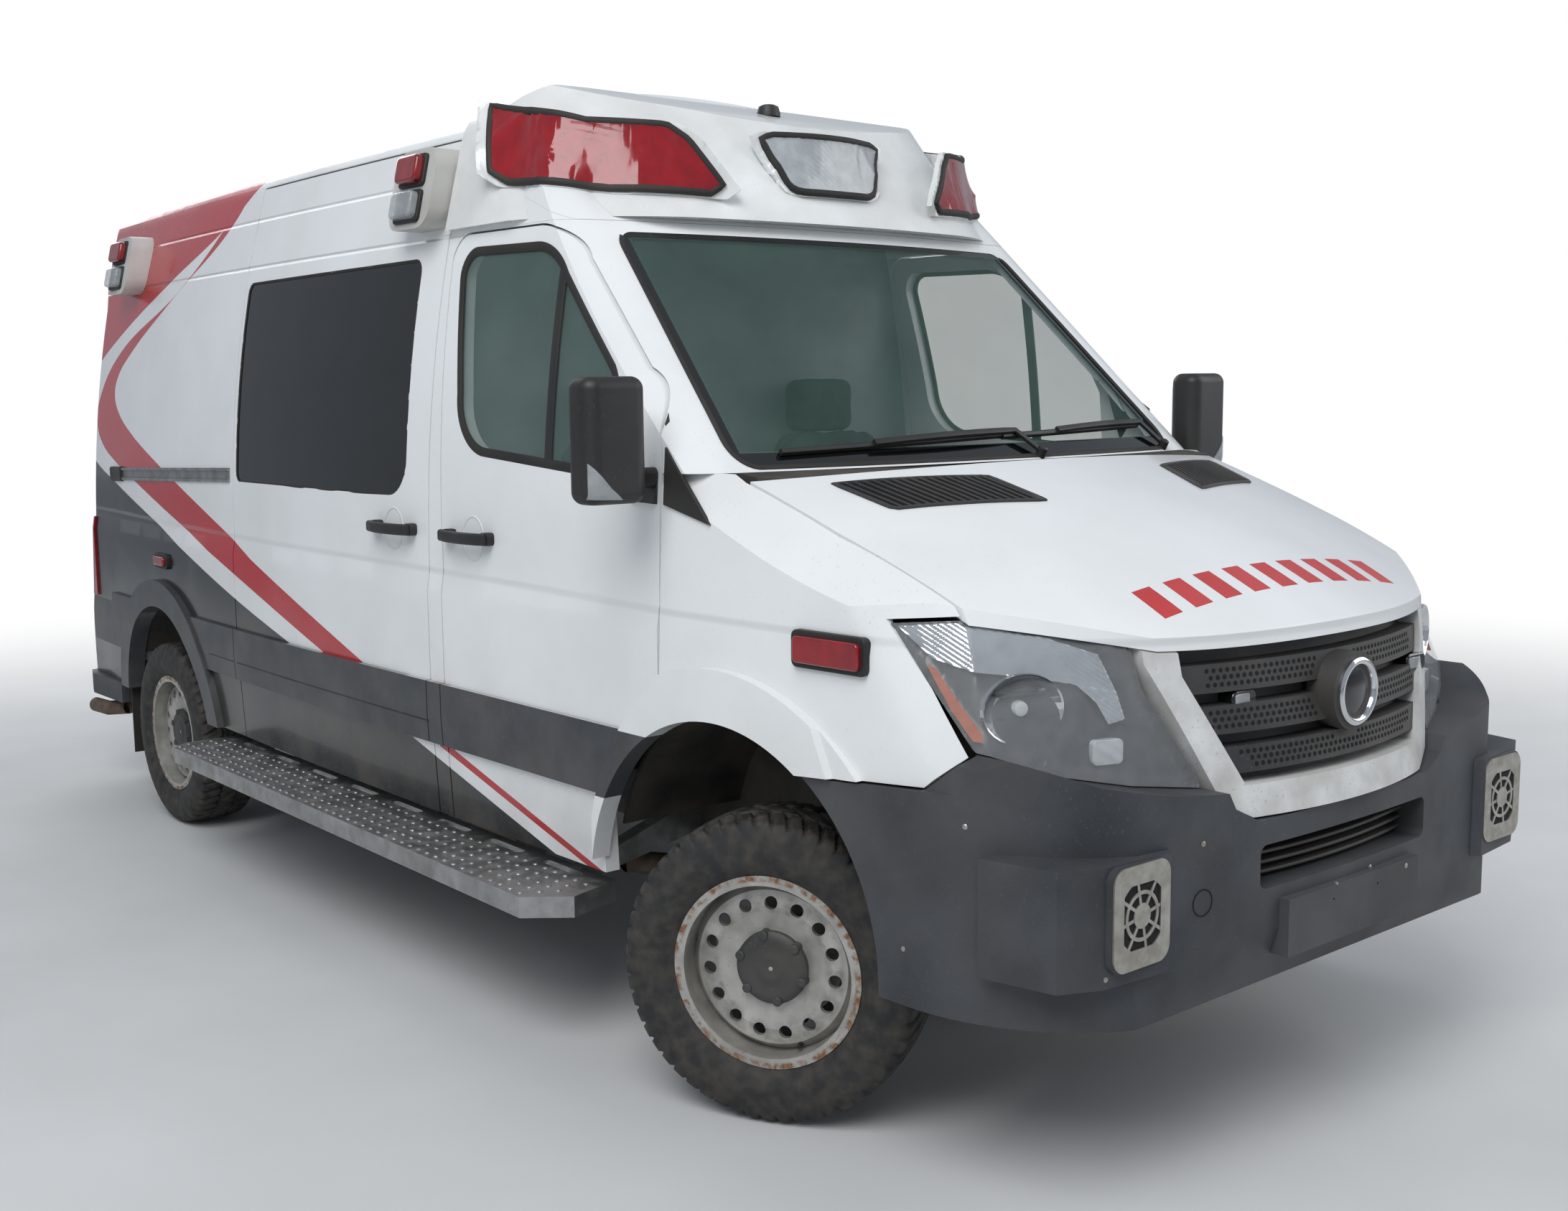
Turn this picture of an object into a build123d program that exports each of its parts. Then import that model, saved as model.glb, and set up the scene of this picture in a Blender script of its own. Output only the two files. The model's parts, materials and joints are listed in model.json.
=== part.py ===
from build123d import *
import os
from math import cos, radians, sin, sqrt

# High-roof 4x4 van ambulance. Millimetres, +Z up, +Y to the rear, +X to the vehicle's left.
# The origin is on the ground below the middle of the whole vehicle.

os.makedirs("parts", exist_ok=True)

# Overall places along the vehicle
front_end_y = -2955.0
rear_end_y = 2955.0
front_axle_y = -1923.0
rear_axle_y = 1744.0

# Wheels and tyres
wheel_z = 370.0
wheel_x = 855.0
tyre_radius = 370.0
tyre_width = 245.0
tyre_shoulder = 34.0
tyre_bulge = 8.0
rim_radius = 218.0
rim_lip = 10.0
rim_width = 190.0
rim_wall = 9.0
rim_hole_count = 15
rim_hole_radius = 16.0
rim_hole_circle = 158.0
hub_cap_radius = 88.0
disc_radius = 150.0
spindle_radius = 32.0
running_gap = 0.3
steer_angle = 30.0
kingpin_x = 785.0

# Body cross-section: each height with its inset from the half width
sill_z, sill_in = 483.0, 16.0
rocker_z = 783.0
waist_z = 1150.0
crease_z, crease_in = 1210.0, 10.0
gutter_z, gutter_in = 2183.0, 118.0
shoulder_z, seam_in = 2440.0, 186.0
seam_z = 2465.0
edge_z, edge_in = 2553.0, 303.0
crown_z = 2645.0
flank_bulge = 27.0
edge_bulge = 15.0

# Body half width along the vehicle: y, half width
body_stations = [(-2010.0, 975.0), (-570.0, 996.0), (930.0, 993.0), (1744.0, 966.0), (2900.0, 902.0)]

side_wall = 45.0
screen_wall = 40.0
rear_wall = 58.0
panel_gap = 6.0
seat_gap = 0.3
glass_thickness = 6.0

# Lower plastic cladding and wheel arch flares
cladding_low_z = 700.0
cladding_high_z = 885.0
cladding_out = 16.0
flare_out = 26.0
front_arch_y, front_arch_z, front_arch_radius, front_flare_radius = -1905.0, 450.0, 507.0, 632.0
rear_arch_y, rear_arch_z, rear_arch_radius, rear_flare_radius = 1768.0, 372.0, 515.0, 622.0

# Windscreen: corner places at its base and its top, and how far its middle bows forward
screen_base_z, screen_base_x, screen_base_y = 1523.0, 836.0, -1820.0
screen_top_z, screen_top_x, screen_top_y = 2166.0, 747.0, -1158.0
screen_bow = 76.0
pillar_radius = 150.0
screen_slant = 1.435
cab_bottom_z = 1528.0
door_front_y = -1663.0

# Roof slope over the windscreen and the lean of the rear face
slope_foot_y, slope_foot_z, slope_rise = -1262.0, 2168.0, 0.688
slope_slant = 1.2
rear_face_y, rear_lean = 2885.0, 0.07
rear_corner_radius = 110.0

# Nose cross-sections: y, half width, crease half width, crease z, seam x, seam z, middle z
nose_stations = [
    (-1380.0, 987.0, 962.0, 1560.0, 905.0, 1660.0, 1770.0),
    (-1900.0, 974.0, 958.0, 1400.0, 884.0, 1514.0, 1606.0),
    (-2206.0, 958.0, 950.0, 1292.0, 872.0, 1406.0, 1502.0),
    (-2555.0, 930.0, 925.0, 1215.0, 840.0, 1264.0, 1366.0),
    (-2975.0, 880.0, 875.0, 1060.0, 760.0, 985.0, 1150.0),
]
fender_wall = 28.0
hood_wall = 26.0
hood_seam = [(884.0, -1900.0), (872.0, -2206.0), (840.0, -2555.0), (838.0, -3100.0)]
hood_rear_corner_y = -1905.0
hood_rear_middle_y = -2093.0
hood_hinge_y, hood_hinge_z = -1886.0, 1521.0

# Nose plan outlines: z, middle y, then x and y of three corners and the flank
nose_plans = [
    (780.0, -2960.0, (420.0, -2888.0), (900.0, -2740.0), (945.0, -2600.0), (962.0, -2330.0)),
    (1300.0, -2872.0, (555.0, -2766.0), (835.0, -2530.0), (931.0, -2350.0), (975.0, -2100.0)),
]

# Bumper plan outline: middle y, corner knots
bumper_low_z = 432.0
bumper_plan = [(700.0, -2888.0), (885.0, -2712.0), (950.0, -2480.0), (972.0, -2150.0)]
bumper_depth = 112.0
bumper_side_share = 0.35

bumper_middle_y = -2938.0
bumper_corner_y = 2430.0
flank_x = 480.0
flank_depth = 700.0
door_inner_x = 812.0


def body_solid(wall):
    """The whole body's volume, drawn in by a wall, or out by a negative one."""
    deep = 60.0 if wall > 0 else 0.0
    with BuildPart() as solid:
        for y, half_width in body_stations:
            wide = half_width - wall
            corners = [
                (wide - sill_in, sill_z - deep),
                (wide, rocker_z),
                (wide, waist_z),
                (wide - crease_in, crease_z),
            ]
            flank = (wide - (crease_in + gutter_in) / 2 + flank_bulge, (crease_z + gutter_z) / 2)
            gutter = (wide - gutter_in, gutter_z)
            seam = (wide - seam_in, shoulder_z - wall / 2)
            edge = (wide - edge_in + wall / 2, edge_z - wall)
            round_over = ((seam[0] + edge[0]) / 2 + edge_bulge, (seam[1] + edge[1]) / 2 + edge_bulge)
            with BuildSketch(Plane.XZ.offset(-y)):
                with BuildLine():
                    Line((-corners[0][0], corners[0][1]), corners[0])
                    for s in (1, -1):
                        Polyline(*[(s * x, z) for x, z in corners])
                        ThreePointArc(
                            (s * corners[3][0], corners[3][1]), (s * flank[0], flank[1]), (s * gutter[0], gutter[1])
                        )
                        Line((s * gutter[0], gutter[1]), (s * seam[0], seam[1]))
                        ThreePointArc(
                            (s * seam[0], seam[1]), (s * round_over[0], round_over[1]), (s * edge[0], edge[1])
                        )
                    ThreePointArc(edge, (0, crown_z - wall), (-edge[0], edge[1]))
                make_face()
        loft()
    return solid.part


def screen_keep(shift):
    """The space behind the windscreen surface and its corner pillars."""
    with BuildPart() as keep:
        for z in (1350.0, 2350.0):
            t = (z - screen_base_z) / (screen_top_z - screen_base_z)
            x = screen_base_x + t * (screen_top_x - screen_base_x)
            y = screen_base_y + t * (screen_top_y - screen_base_y) + shift
            bend = pillar_radius * 0.7071
            with BuildSketch(Plane.XY.offset(z)):
                with BuildLine():
                    ThreePointArc((-x, y), (0, y - screen_bow), (x, y))
                    for s in (1, -1):
                        ThreePointArc(
                            (s * x, y),
                            (s * (x + bend), y + pillar_radius - bend),
                            (s * (x + pillar_radius), y + pillar_radius),
                        )
                        Polyline(
                            (s * (x + pillar_radius), y + pillar_radius), (s * 1300, y + 600), (s * 1300, 3300)
                        )
                    Line((-1300, 3300), (1300, 3300))
                make_face()
        loft(ruled=True)
        for low_z, high_z in ((200, 1350), (2350, 2900)):
            with BuildSketch(Plane.XY.offset(low_z)):
                Rectangle(2600, 7000)
            extrude(amount=high_z - low_z)
    return keep.part


def rear_keep(shift):
    """The space ahead of the rear face, with its rounded upright corners."""
    with BuildPart() as keep:
        for z, flat_x in ((300.0, 850.0), (2800.0, 640.0)):
            y = rear_face_y - rear_lean * (z - sill_z) - shift
            bend = rear_corner_radius * 0.7071
            with BuildSketch(Plane.XY.offset(z)):
                with BuildLine():
                    Line((-flat_x, y), (flat_x, y))
                    for s in (1, -1):
                        ThreePointArc(
                            (s * flat_x, y),
                            (s * (flat_x + bend), y - rear_corner_radius + bend),
                            (s * (flat_x + rear_corner_radius), y - rear_corner_radius),
                        )
                        Polyline(
                            (s * (flat_x + rear_corner_radius), y - rear_corner_radius),
                            (s * 1300, y - 500),
                            (s * 1300, -3300),
                        )
                    Line((-1300, -3300), (1300, -3300))
                make_face()
        loft(ruled=True)
    return keep.part


def slope_keep(drop):
    """The space under the roof's front slope."""
    with BuildPart() as keep:
        with BuildSketch(Plane.YZ.offset(-1300)):
            with BuildLine():
                Polyline(
                    (-2400, slope_foot_z + slope_rise * (-2400 - slope_foot_y) - drop),
                    (-300, slope_foot_z + slope_rise * (-300 - slope_foot_y) - drop),
                    (3300, 2900),
                    (3300, 200),
                    (-2400, 200),
                    close=True,
                )
            make_face()
        extrude(amount=2600)
    return keep.part


def arch_ring(y, z, inner, outer, x_low, x_high):
    """A ring round a wheel arch, from x_low to x_high on both sides of the vehicle."""
    with BuildPart() as ring:
        for s in (1, -1):
            with BuildSketch(Plane.YZ.offset(s * x_low)):
                with Locations((y, z)):
                    Circle(outer)
                    if inner > 0:
                        Circle(inner, mode=Mode.SUBTRACT)
            extrude(amount=s * (x_high - x_low))
    return ring.part


def rear_flares():
    """The rear wheel arches' flares, still filled inside."""
    with BuildPart() as flares:
        add(body_solid(-flare_out))
        add(
            arch_ring(rear_arch_y, rear_arch_z, 0, rear_flare_radius, 700, 1100),
            clean=False,
            mode=Mode.INTERSECT,
        )
    return flares.part


def cabin_cavity():
    """The space inside the cabin's walls."""
    with BuildPart() as cavity:
        add(body_solid(side_wall))
        add(screen_keep(screen_wall * screen_slant), clean=False, mode=Mode.INTERSECT)
        add(rear_keep(rear_wall), clean=False, mode=Mode.INTERSECT)
        add(slope_keep(screen_wall * slope_slant), clean=False, mode=Mode.INTERSECT)
    return cavity.part


# Hollow cabin: side walls, roof, windscreen frame and rear face in one shell
with BuildPart() as cabin_shell:
    add(body_solid(-cladding_out))
    with BuildSketch(Plane.XY.offset(cladding_low_z)):
        with Locations((0, (door_front_y + bumper_corner_y) / 2)):
            Rectangle(2600, bumper_corner_y - door_front_y)
    extrude(amount=cladding_high_z - cladding_low_z, mode=Mode.INTERSECT, clean=False)
    add(body_solid(0), clean=False)
    add(rear_flares(), clean=False)
    add(screen_keep(0), clean=False, mode=Mode.INTERSECT)
    add(rear_keep(0), clean=False, mode=Mode.INTERSECT)
    add(slope_keep(0), clean=False, mode=Mode.INTERSECT)
    add(cabin_cavity(), clean=False, mode=Mode.SUBTRACT)
    with BuildSketch(Plane.YZ.offset(-1300)):
        with BuildLine():
            Polyline(
                (-2300, 300),
                (-2300, cab_bottom_z),
                (door_front_y, cab_bottom_z),
                (door_front_y, 300),
                close=True,
            )
        make_face()
    extrude(amount=2600, mode=Mode.SUBTRACT, clean=False)
    add(
        arch_ring(rear_arch_y, rear_arch_z, 0, rear_arch_radius, 600, 1100),
        clean=False,
        mode=Mode.SUBTRACT,
    )


def side_cut(s, mode):
    """Carries the open side-view sketch out through one flank of the vehicle."""
    extrude(amount=s * flank_depth, mode=mode, clean=False)


def draw_front_door(grow):
    """Front door outline in side view: y, z."""
    with BuildLine() as outline:
        Polyline((-1401, 640), (-1401, 478), (-620, 478), (-620, 1250), (-578, 2090))
        ThreePointArc((-578, 2090), (-600, 2150), (-665, 2174))
        Line((-665, 2174), (-1030, 2170))
        ThreePointArc((-1030, 2170), (-1136, 2140), (-1226, 2068))
        Line((-1226, 2068), (-1527, 1781))
        ThreePointArc((-1527, 1781), (-1628, 1672), (door_front_y, 1560))
        Line((door_front_y, 1560), (door_front_y, 1012))
        ThreePointArc((door_front_y, 1012), (-1508, 858), (-1401, 640))
    make_face(outline.edges())
    offset(amount=grow)


def draw_door_window(grow):
    """Front door window outline in side view."""
    with BuildLine() as outline:
        Line((-1478, 1512), (-830, 1560))
        ThreePointArc((-830, 1560), (-735, 1612), (-694, 1720))
        Line((-694, 1720), (-646, 2045))
        ThreePointArc((-646, 2045), (-662, 2098), (-720, 2120))
        Line((-720, 2120), (-1030, 2112))
        ThreePointArc((-1030, 2112), (-1112, 2086), (-1180, 2026))
        Polyline((-1180, 2026), (-1440, 1778), (-1478, 1700), (-1478, 1512))
    make_face(outline.edges())
    offset(amount=grow)


def draw_slider(grow):
    """Sliding door outline in side view, up to the roof seam."""
    with BuildLine() as outline:
        Polyline((-538, 478), (930, 478), (930, seam_z - 6), (-538, seam_z - 6), close=True)
    make_face(outline.edges())
    offset(amount=grow, kind=Kind.INTERSECTION)


def draw_slider_window(grow):
    """Sliding door window outline in side view."""
    with BuildLine() as outline:
        Line((-290, 1420), (870, 1420))
        ThreePointArc((870, 1420), (891, 1429), (900, 1450))
        Line((900, 1450), (900, 2085))
        ThreePointArc((900, 2085), (890, 2108), (867, 2118))
        Line((867, 2118), (-360, 2118))
        ThreePointArc((-360, 2118), (-385, 2106), (-397, 2080))
        Line((-397, 2080), (-397, 1530))
        ThreePointArc((-397, 1530), (-366, 1452), (-290, 1420))
    make_face(outline.edges())
    offset(amount=grow)


# Front doors with window openings
with BuildPart() as side_pane:
    add(body_solid(4))
    add(body_solid(4 + glass_thickness), clean=False, mode=Mode.SUBTRACT)

for side, s in (("left", 1), ("right", -1)):
    with BuildPart() as door:
        add(cabin_shell.part)
        with BuildSketch(Plane.YZ.offset(s * door_inner_x)):
            draw_front_door(-panel_gap / 2)
        side_cut(s, Mode.INTERSECT)
        with BuildSketch(Plane.YZ.offset(s * flank_x)):
            draw_door_window(0)
        side_cut(s, Mode.SUBTRACT)
    door.part.label = "door_" + side
    export_step(door.part, "parts/door_" + side + ".step")

    with BuildPart() as pane:
        add(side_pane.part)
        with BuildSketch(Plane.YZ.offset(s * flank_x)):
            draw_door_window(-seat_gap)
        side_cut(s, Mode.INTERSECT)
    pane.part.label = "door_glass_" + side
    export_step(pane.part, "parts/door_glass_" + side + ".step")

# Sliding door on the right side, with its window
with BuildPart() as sliding_door:
    add(cabin_shell.part)
    with BuildSketch(Plane.YZ.offset(-flank_x)):
        draw_slider(-panel_gap / 2)
    side_cut(-1, Mode.INTERSECT)
    with BuildSketch(Plane.YZ.offset(-flank_x)):
        draw_slider_window(0)
    side_cut(-1, Mode.SUBTRACT)
sliding_door.part.label = "sliding_door"
export_step(sliding_door.part, "parts/sliding_door.step")

with BuildPart() as slider_glass:
    add(side_pane.part)
    with BuildSketch(Plane.YZ.offset(-flank_x)):
        draw_slider_window(-seat_gap)
    side_cut(-1, Mode.INTERSECT)
slider_glass.part.label = "slider_glass"
export_step(slider_glass.part, "parts/slider_glass.step")

# Rear doors: outline in rear view
rear_door_x, rear_door_low_z, rear_door_high_z = 812.0, 520.0, 2330.0
rear_frame_y = 2500.0
rear_meet_gap = 10.0


def draw_rear_door(s, grow, meet_x):
    """One rear door's outline in rear view, from its meeting edge outward."""
    with BuildLine() as outline:
        Polyline(
            (s * meet_x, rear_door_low_z),
            (s * rear_door_x, rear_door_low_z),
            (s * rear_door_x, 1300),
            (s * (rear_door_x - 62), 2250),
            (s * (rear_door_x - 150), rear_door_high_z),
            (s * meet_x, rear_door_high_z),
            close=True,
        )
    make_face(outline.edges())
    offset(amount=grow, kind=Kind.INTERSECTION)


def draw_rear_window(s, grow):
    """One rear door's window in rear view."""
    with Locations((s * 405, 1790)):
        RectangleRounded(560, 640, 70)
    offset(amount=grow)


for side, s in (("left", 1), ("right", -1)):
    with BuildPart() as rear_door:
        add(cabin_shell.part)
        with BuildSketch(Plane.XZ.offset(-rear_frame_y)):
            draw_rear_door(s, 0, rear_meet_gap / 2)
        extrude(amount=-500, mode=Mode.INTERSECT, clean=False)
        add(rear_keep(rear_wall + 2), clean=False, mode=Mode.SUBTRACT)
        with BuildSketch(Plane.XZ.offset(-rear_frame_y)):
            draw_rear_window(s, 0)
        extrude(amount=-500, mode=Mode.SUBTRACT, clean=False)
    rear_door.part.label = "rear_door_" + side
    export_step(rear_door.part, "parts/rear_door_" + side + ".step")

    with BuildPart() as rear_pane:
        add(rear_keep(3))
        add(rear_keep(3 + glass_thickness), clean=False, mode=Mode.SUBTRACT)
        with BuildSketch(Plane.XZ.offset(-rear_frame_y)):
            draw_rear_window(s, -seat_gap)
        extrude(amount=-500, mode=Mode.INTERSECT, clean=False)
    rear_pane.part.label = "rear_glass_" + side
    export_step(rear_pane.part, "parts/rear_glass_" + side + ".step")

# Fixed body panels cut from the same shell
wall_front_y = -1120.0


def draw_rear_face(grow):
    """The rear face between the corner pillars in rear view, leaning in with them."""
    low_x, high_x = 945.0 + grow, 685.0 + grow
    with BuildLine() as outline:
        Polyline((-low_x, 0), (low_x, 0), (high_x, 3100), (-high_x, 3100), close=True)
    make_face(outline.edges())


def rear_opening():
    """The space of the rear face between the corner pillars, over its full height."""
    with BuildPart() as opening:
        with BuildSketch(Plane.XZ.offset(-rear_frame_y)):
            draw_rear_face(0)
        extrude(amount=-500)
        add(rear_keep(rear_wall + 4), clean=False, mode=Mode.SUBTRACT)
    return opening.part


for side, s in (("left", 1), ("right", -1)):
    with BuildPart() as side_wall_part:
        add(cabin_shell.part)
        with BuildSketch(Plane.YZ.offset(s * flank_x)):
            with BuildLine():
                Polyline(
                    (wall_front_y, 2178),
                    (-700, 2330),
                    (-560, seam_z),
                    (3000, seam_z),
                    (3000, 470),
                    (-660, 470),
                    (-660, 2178),
                    close=True,
                )
            make_face()
        side_cut(s, Mode.INTERSECT)
        with BuildSketch(Plane.YZ.offset(s * (door_inner_x - panel_gap))):
            draw_front_door(panel_gap / 2)
        side_cut(s, Mode.SUBTRACT)
        if s < 0:
            with BuildSketch(Plane.YZ.offset(s * flank_x)):
                draw_slider(panel_gap / 2)
            side_cut(s, Mode.SUBTRACT)
        add(rear_opening(), clean=False, mode=Mode.SUBTRACT)
    side_wall_part.part.label = "side_wall_" + side
    export_step(side_wall_part.part, "parts/side_wall_" + side + ".step")

with BuildPart() as roof_panel:
    add(cabin_shell.part)
    with BuildSketch(Plane.YZ.offset(-1300)):
        with BuildLine():
            Polyline(
                (-1300, 2178.5),
                (wall_front_y, 2178.5),
                (-700, 2330.5),
                (-560, seam_z + 0.5),
                (3100, seam_z + 0.5),
                (3100, 2800),
                (-1300, 2800),
                close=True,
            )
        make_face()
    extrude(amount=2600, mode=Mode.INTERSECT, clean=False)
roof_panel.part.label = "roof_panel"
export_step(roof_panel.part, "parts/roof_panel.step")

with BuildPart() as rear_frame:
    add(cabin_shell.part)
    with BuildSketch(Plane.XZ.offset(-rear_frame_y)):
        draw_rear_face(-0.5)
        with Locations((0, (seam_z + 470) / 2)):
            Rectangle(2000, seam_z - 470 - 1, mode=Mode.INTERSECT)
    extrude(amount=-500, mode=Mode.INTERSECT, clean=False)
    add(rear_keep(rear_wall + 4), clean=False, mode=Mode.SUBTRACT)
    for s in (1, -1):
        with BuildSketch(Plane.XZ.offset(-rear_frame_y)):
            draw_rear_door(s, panel_gap, panel_gap / 2)
        extrude(amount=-500, mode=Mode.SUBTRACT, clean=False)
rear_frame.part.label = "rear_frame"
export_step(rear_frame.part, "parts/rear_frame.step")


def draw_screen(grow):
    """Windscreen outline in front view."""
    with BuildLine() as outline:
        Polyline((-838, 1536), (838, 1536), (742, 2146), (-742, 2146), close=True)
    make_face(outline.edges())
    fillet(vertices(), 55)
    offset(amount=grow)


with BuildPart() as cab_frame:
    add(cabin_shell.part)
    with BuildSketch(Plane.YZ.offset(-1300)):
        with BuildLine():
            Polyline(
                (-2200, 1500),
                (-660, 1500),
                (-660, 2177.5),
                (-1400, 2177.5),
                (-2200, 1700),
                close=True,
            )
        make_face()
    extrude(amount=2600, mode=Mode.INTERSECT, clean=False)
    for s in (1, -1):
        with BuildSketch(Plane.YZ.offset(s * (door_inner_x - panel_gap))):
            draw_front_door(panel_gap / 2)
        side_cut(s, Mode.SUBTRACT)
        with BuildSketch(Plane.YZ.offset(s * flank_x)):
            with Locations((-800, 1700)):
                Rectangle(500, 800)
        side_cut(s, Mode.SUBTRACT)
    with BuildSketch(Plane.XZ.offset(1000)):
        draw_screen(0)
    extrude(amount=1200, mode=Mode.SUBTRACT, clean=False)
cab_frame.part.label = "cab_frame"
export_step(cab_frame.part, "parts/cab_frame.step")

with BuildPart() as windshield:
    add(screen_keep(2))
    add(screen_keep(2 + glass_thickness * screen_slant), clean=False, mode=Mode.SUBTRACT)
    with BuildSketch(Plane.XZ.offset(1000)):
        draw_screen(-seat_gap)
    extrude(amount=1200, mode=Mode.INTERSECT, clean=False)
windshield.part.label = "windshield"
export_step(windshield.part, "parts/windshield.step")


def prism_x(points, x_low, x_high):
    """A side-view outline carried across from x_low to x_high."""
    with BuildPart() as prism:
        with BuildSketch(Plane.YZ.offset(x_low)):
            with BuildLine():
                Polyline(*points, close=True)
            make_face()
        extrude(amount=x_high - x_low)
    return prism.part


def prism_y(points, y_low, y_high):
    """A front-view outline carried back from y_low to y_high."""
    with BuildPart() as prism:
        with BuildSketch(Plane.XZ.offset(-y_low)):
            with BuildLine():
                Polyline(*points, close=True)
            make_face()
        extrude(amount=y_low - y_high)
    return prism.part


def prism_z(points, z_low, z_high):
    """A plan outline carried up from z_low to z_high."""
    with BuildPart() as prism:
        with BuildSketch(Plane.XY.offset(z_low)):
            with BuildLine():
                Polyline(*points, close=True)
            make_face()
        extrude(amount=z_high - z_low)
    return prism.part


# Nose: fenders, hood, grille and headlamps cut from one form
def nose_solid(side_inset, top_inset):
    """The nose's volume under the hood and between the fender sides."""
    with BuildPart() as solid:
        for y, wide, crease_x, crease_high, seam_x, seam_high, middle_z in nose_stations:
            with BuildSketch(Plane.XZ.offset(-y)):
                with BuildLine():
                    Line((-(wide - side_inset), 420), (wide - side_inset, 420))
                    for s in (1, -1):
                        Polyline(
                            (s * (wide - side_inset), 420),
                            (s * (wide - side_inset), 960),
                            (s * (crease_x - side_inset), crease_high - top_inset / 2),
                            (s * (seam_x - side_inset / 3), seam_high - top_inset),
                        )
                    ThreePointArc(
                        (-(seam_x - side_inset / 3), seam_high - top_inset),
                        (0, middle_z - top_inset),
                        (seam_x - side_inset / 3, seam_high - top_inset),
                    )
                make_face()
        loft()
    return solid.part


def nose_keep(shift):
    """The space behind the nose's front face, above the bumper."""
    low, high = nose_plans
    with BuildPart() as keep:
        for z in (700.0, 1700.0):
            t = (z - low[0]) / (high[0] - low[0])
            middle = low[1] + t * (high[1] - low[1]) + shift
            knots = [
                (a[0] + t * (b[0] - a[0]), a[1] + t * (b[1] - a[1]) + shift) for a, b in zip(low[2:], high[2:])
            ]
            with BuildSketch(Plane.XY.offset(z)):
                with BuildLine():
                    ThreePointArc((-knots[0][0], knots[0][1]), (0, middle), knots[0])
                    for s in (1, -1):
                        Line((s * knots[0][0], knots[0][1]), (s * knots[1][0], knots[1][1]))
                        ThreePointArc(*[(s * x, y) for x, y in knots[1:4]])
                        Polyline((s * knots[3][0], knots[3][1]), (s * 1300, knots[3][1] + 200), (s * 1300, 0))
                    Line((-1300, 0), (1300, 0))
                make_face()
        loft(ruled=True)
        with BuildSketch(Plane.XY.offset(300)):
            with Locations((0, -1150)):
                Rectangle(2600, 2300)
        extrude(amount=400)
    return keep.part


hood_clear = hood_wall + panel_gap


def hood_plan(grow):
    """The hood's plan outline, arc at the cowl and seams along both fenders, carried up."""
    corner = (hood_seam[0][0] + grow, hood_rear_corner_y + grow)
    seam = [(x + grow, y) for x, y in hood_seam[1:]]
    with BuildPart() as prism:
        with BuildSketch(Plane.XY.offset(700)):
            with BuildLine():
                ThreePointArc((-corner[0], corner[1]), (0, hood_rear_middle_y + grow), corner)
                Polyline(corner, *seam)
                Line(seam[-1], (-seam[-1][0], seam[-1][1]))
                Polyline((-corner[0], corner[1]), *[(-x, y) for x, y in seam])
            make_face()
        extrude(amount=1200)
    return prism.part


def hood_space():
    """The hood's own space with its running gap, kept free by the pieces round it."""
    with BuildPart() as space:
        add(hood_plan(panel_gap / 2))
        add(nose_solid(-40, hood_clear), clean=False, mode=Mode.SUBTRACT)
    return space.part


hood_room = hood_space()
nose_form = nose_solid(0, 0)


def face_layer(set_back, depth):
    """A layer of the nose's front face under the hood, set back and as deep as given."""
    with BuildPart() as layer:
        add(nose_solid(set_back / 2, set_back))
        add(nose_keep(set_back), clean=False, mode=Mode.INTERSECT)
        add(nose_keep(set_back + depth), clean=False, mode=Mode.SUBTRACT)
        add(hood_room, clean=False, mode=Mode.SUBTRACT)
    return layer.part


# Front-view outlines: half width and height, from the top round to the middle
surround_outer = [(558, 1330), (548, 1150), (408, 852), (335, 813)]
surround_inner = [(490, 1340), (472, 1120), (345, 882)]
lamp_outline = [
    (593, 1330), (850, 1330), (931, 1241), (904, 993), (879, 986), (760, 937), (600, 904), (453, 888),
    (471, 935), (557, 1100),
]
lamp_side = [
    (-2630, 800), (-2630, 985), (-2409, 1235), (-2581, 1250), (-2646, 1400), (-3200, 1400), (-3200, 800),
]
lamp_depth = 150.0
surround_depth = 70.0


def both_sides(points, grow):
    """A closed outline from one half's points and their mirror image."""
    half = [(x + grow, z - grow if z < 1000 else z) for x, z in points]
    return half + [(-x, z) for x, z in reversed(half)]


with BuildPart() as headlamps:
    with BuildSketch(Plane.XZ.offset(2300)):
        for s in (1, -1):
            with BuildLine():
                Polyline(*[(s * x, z) for x, z in lamp_outline], close=True)
            make_face()
    extrude(amount=900)
    add(prism_x(lamp_side, -1300, 1300), clean=False, mode=Mode.INTERSECT)
    add(face_layer(0, lamp_depth), clean=False, mode=Mode.INTERSECT)
headlamps.part.label = "headlamps"
export_step(headlamps.part, "parts/headlamps.step")

with BuildPart() as grille_surround:
    add(prism_y(both_sides(surround_outer, 0), -3200, -2300))
    add(prism_y(both_sides(surround_inner, 0), -3201, -2299), mode=Mode.SUBTRACT)
    add(face_layer(0, surround_depth), clean=False, mode=Mode.INTERSECT)
grille_surround.part.label = "grille_surround"
export_step(grille_surround.part, "parts/grille_surround.step")

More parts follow.
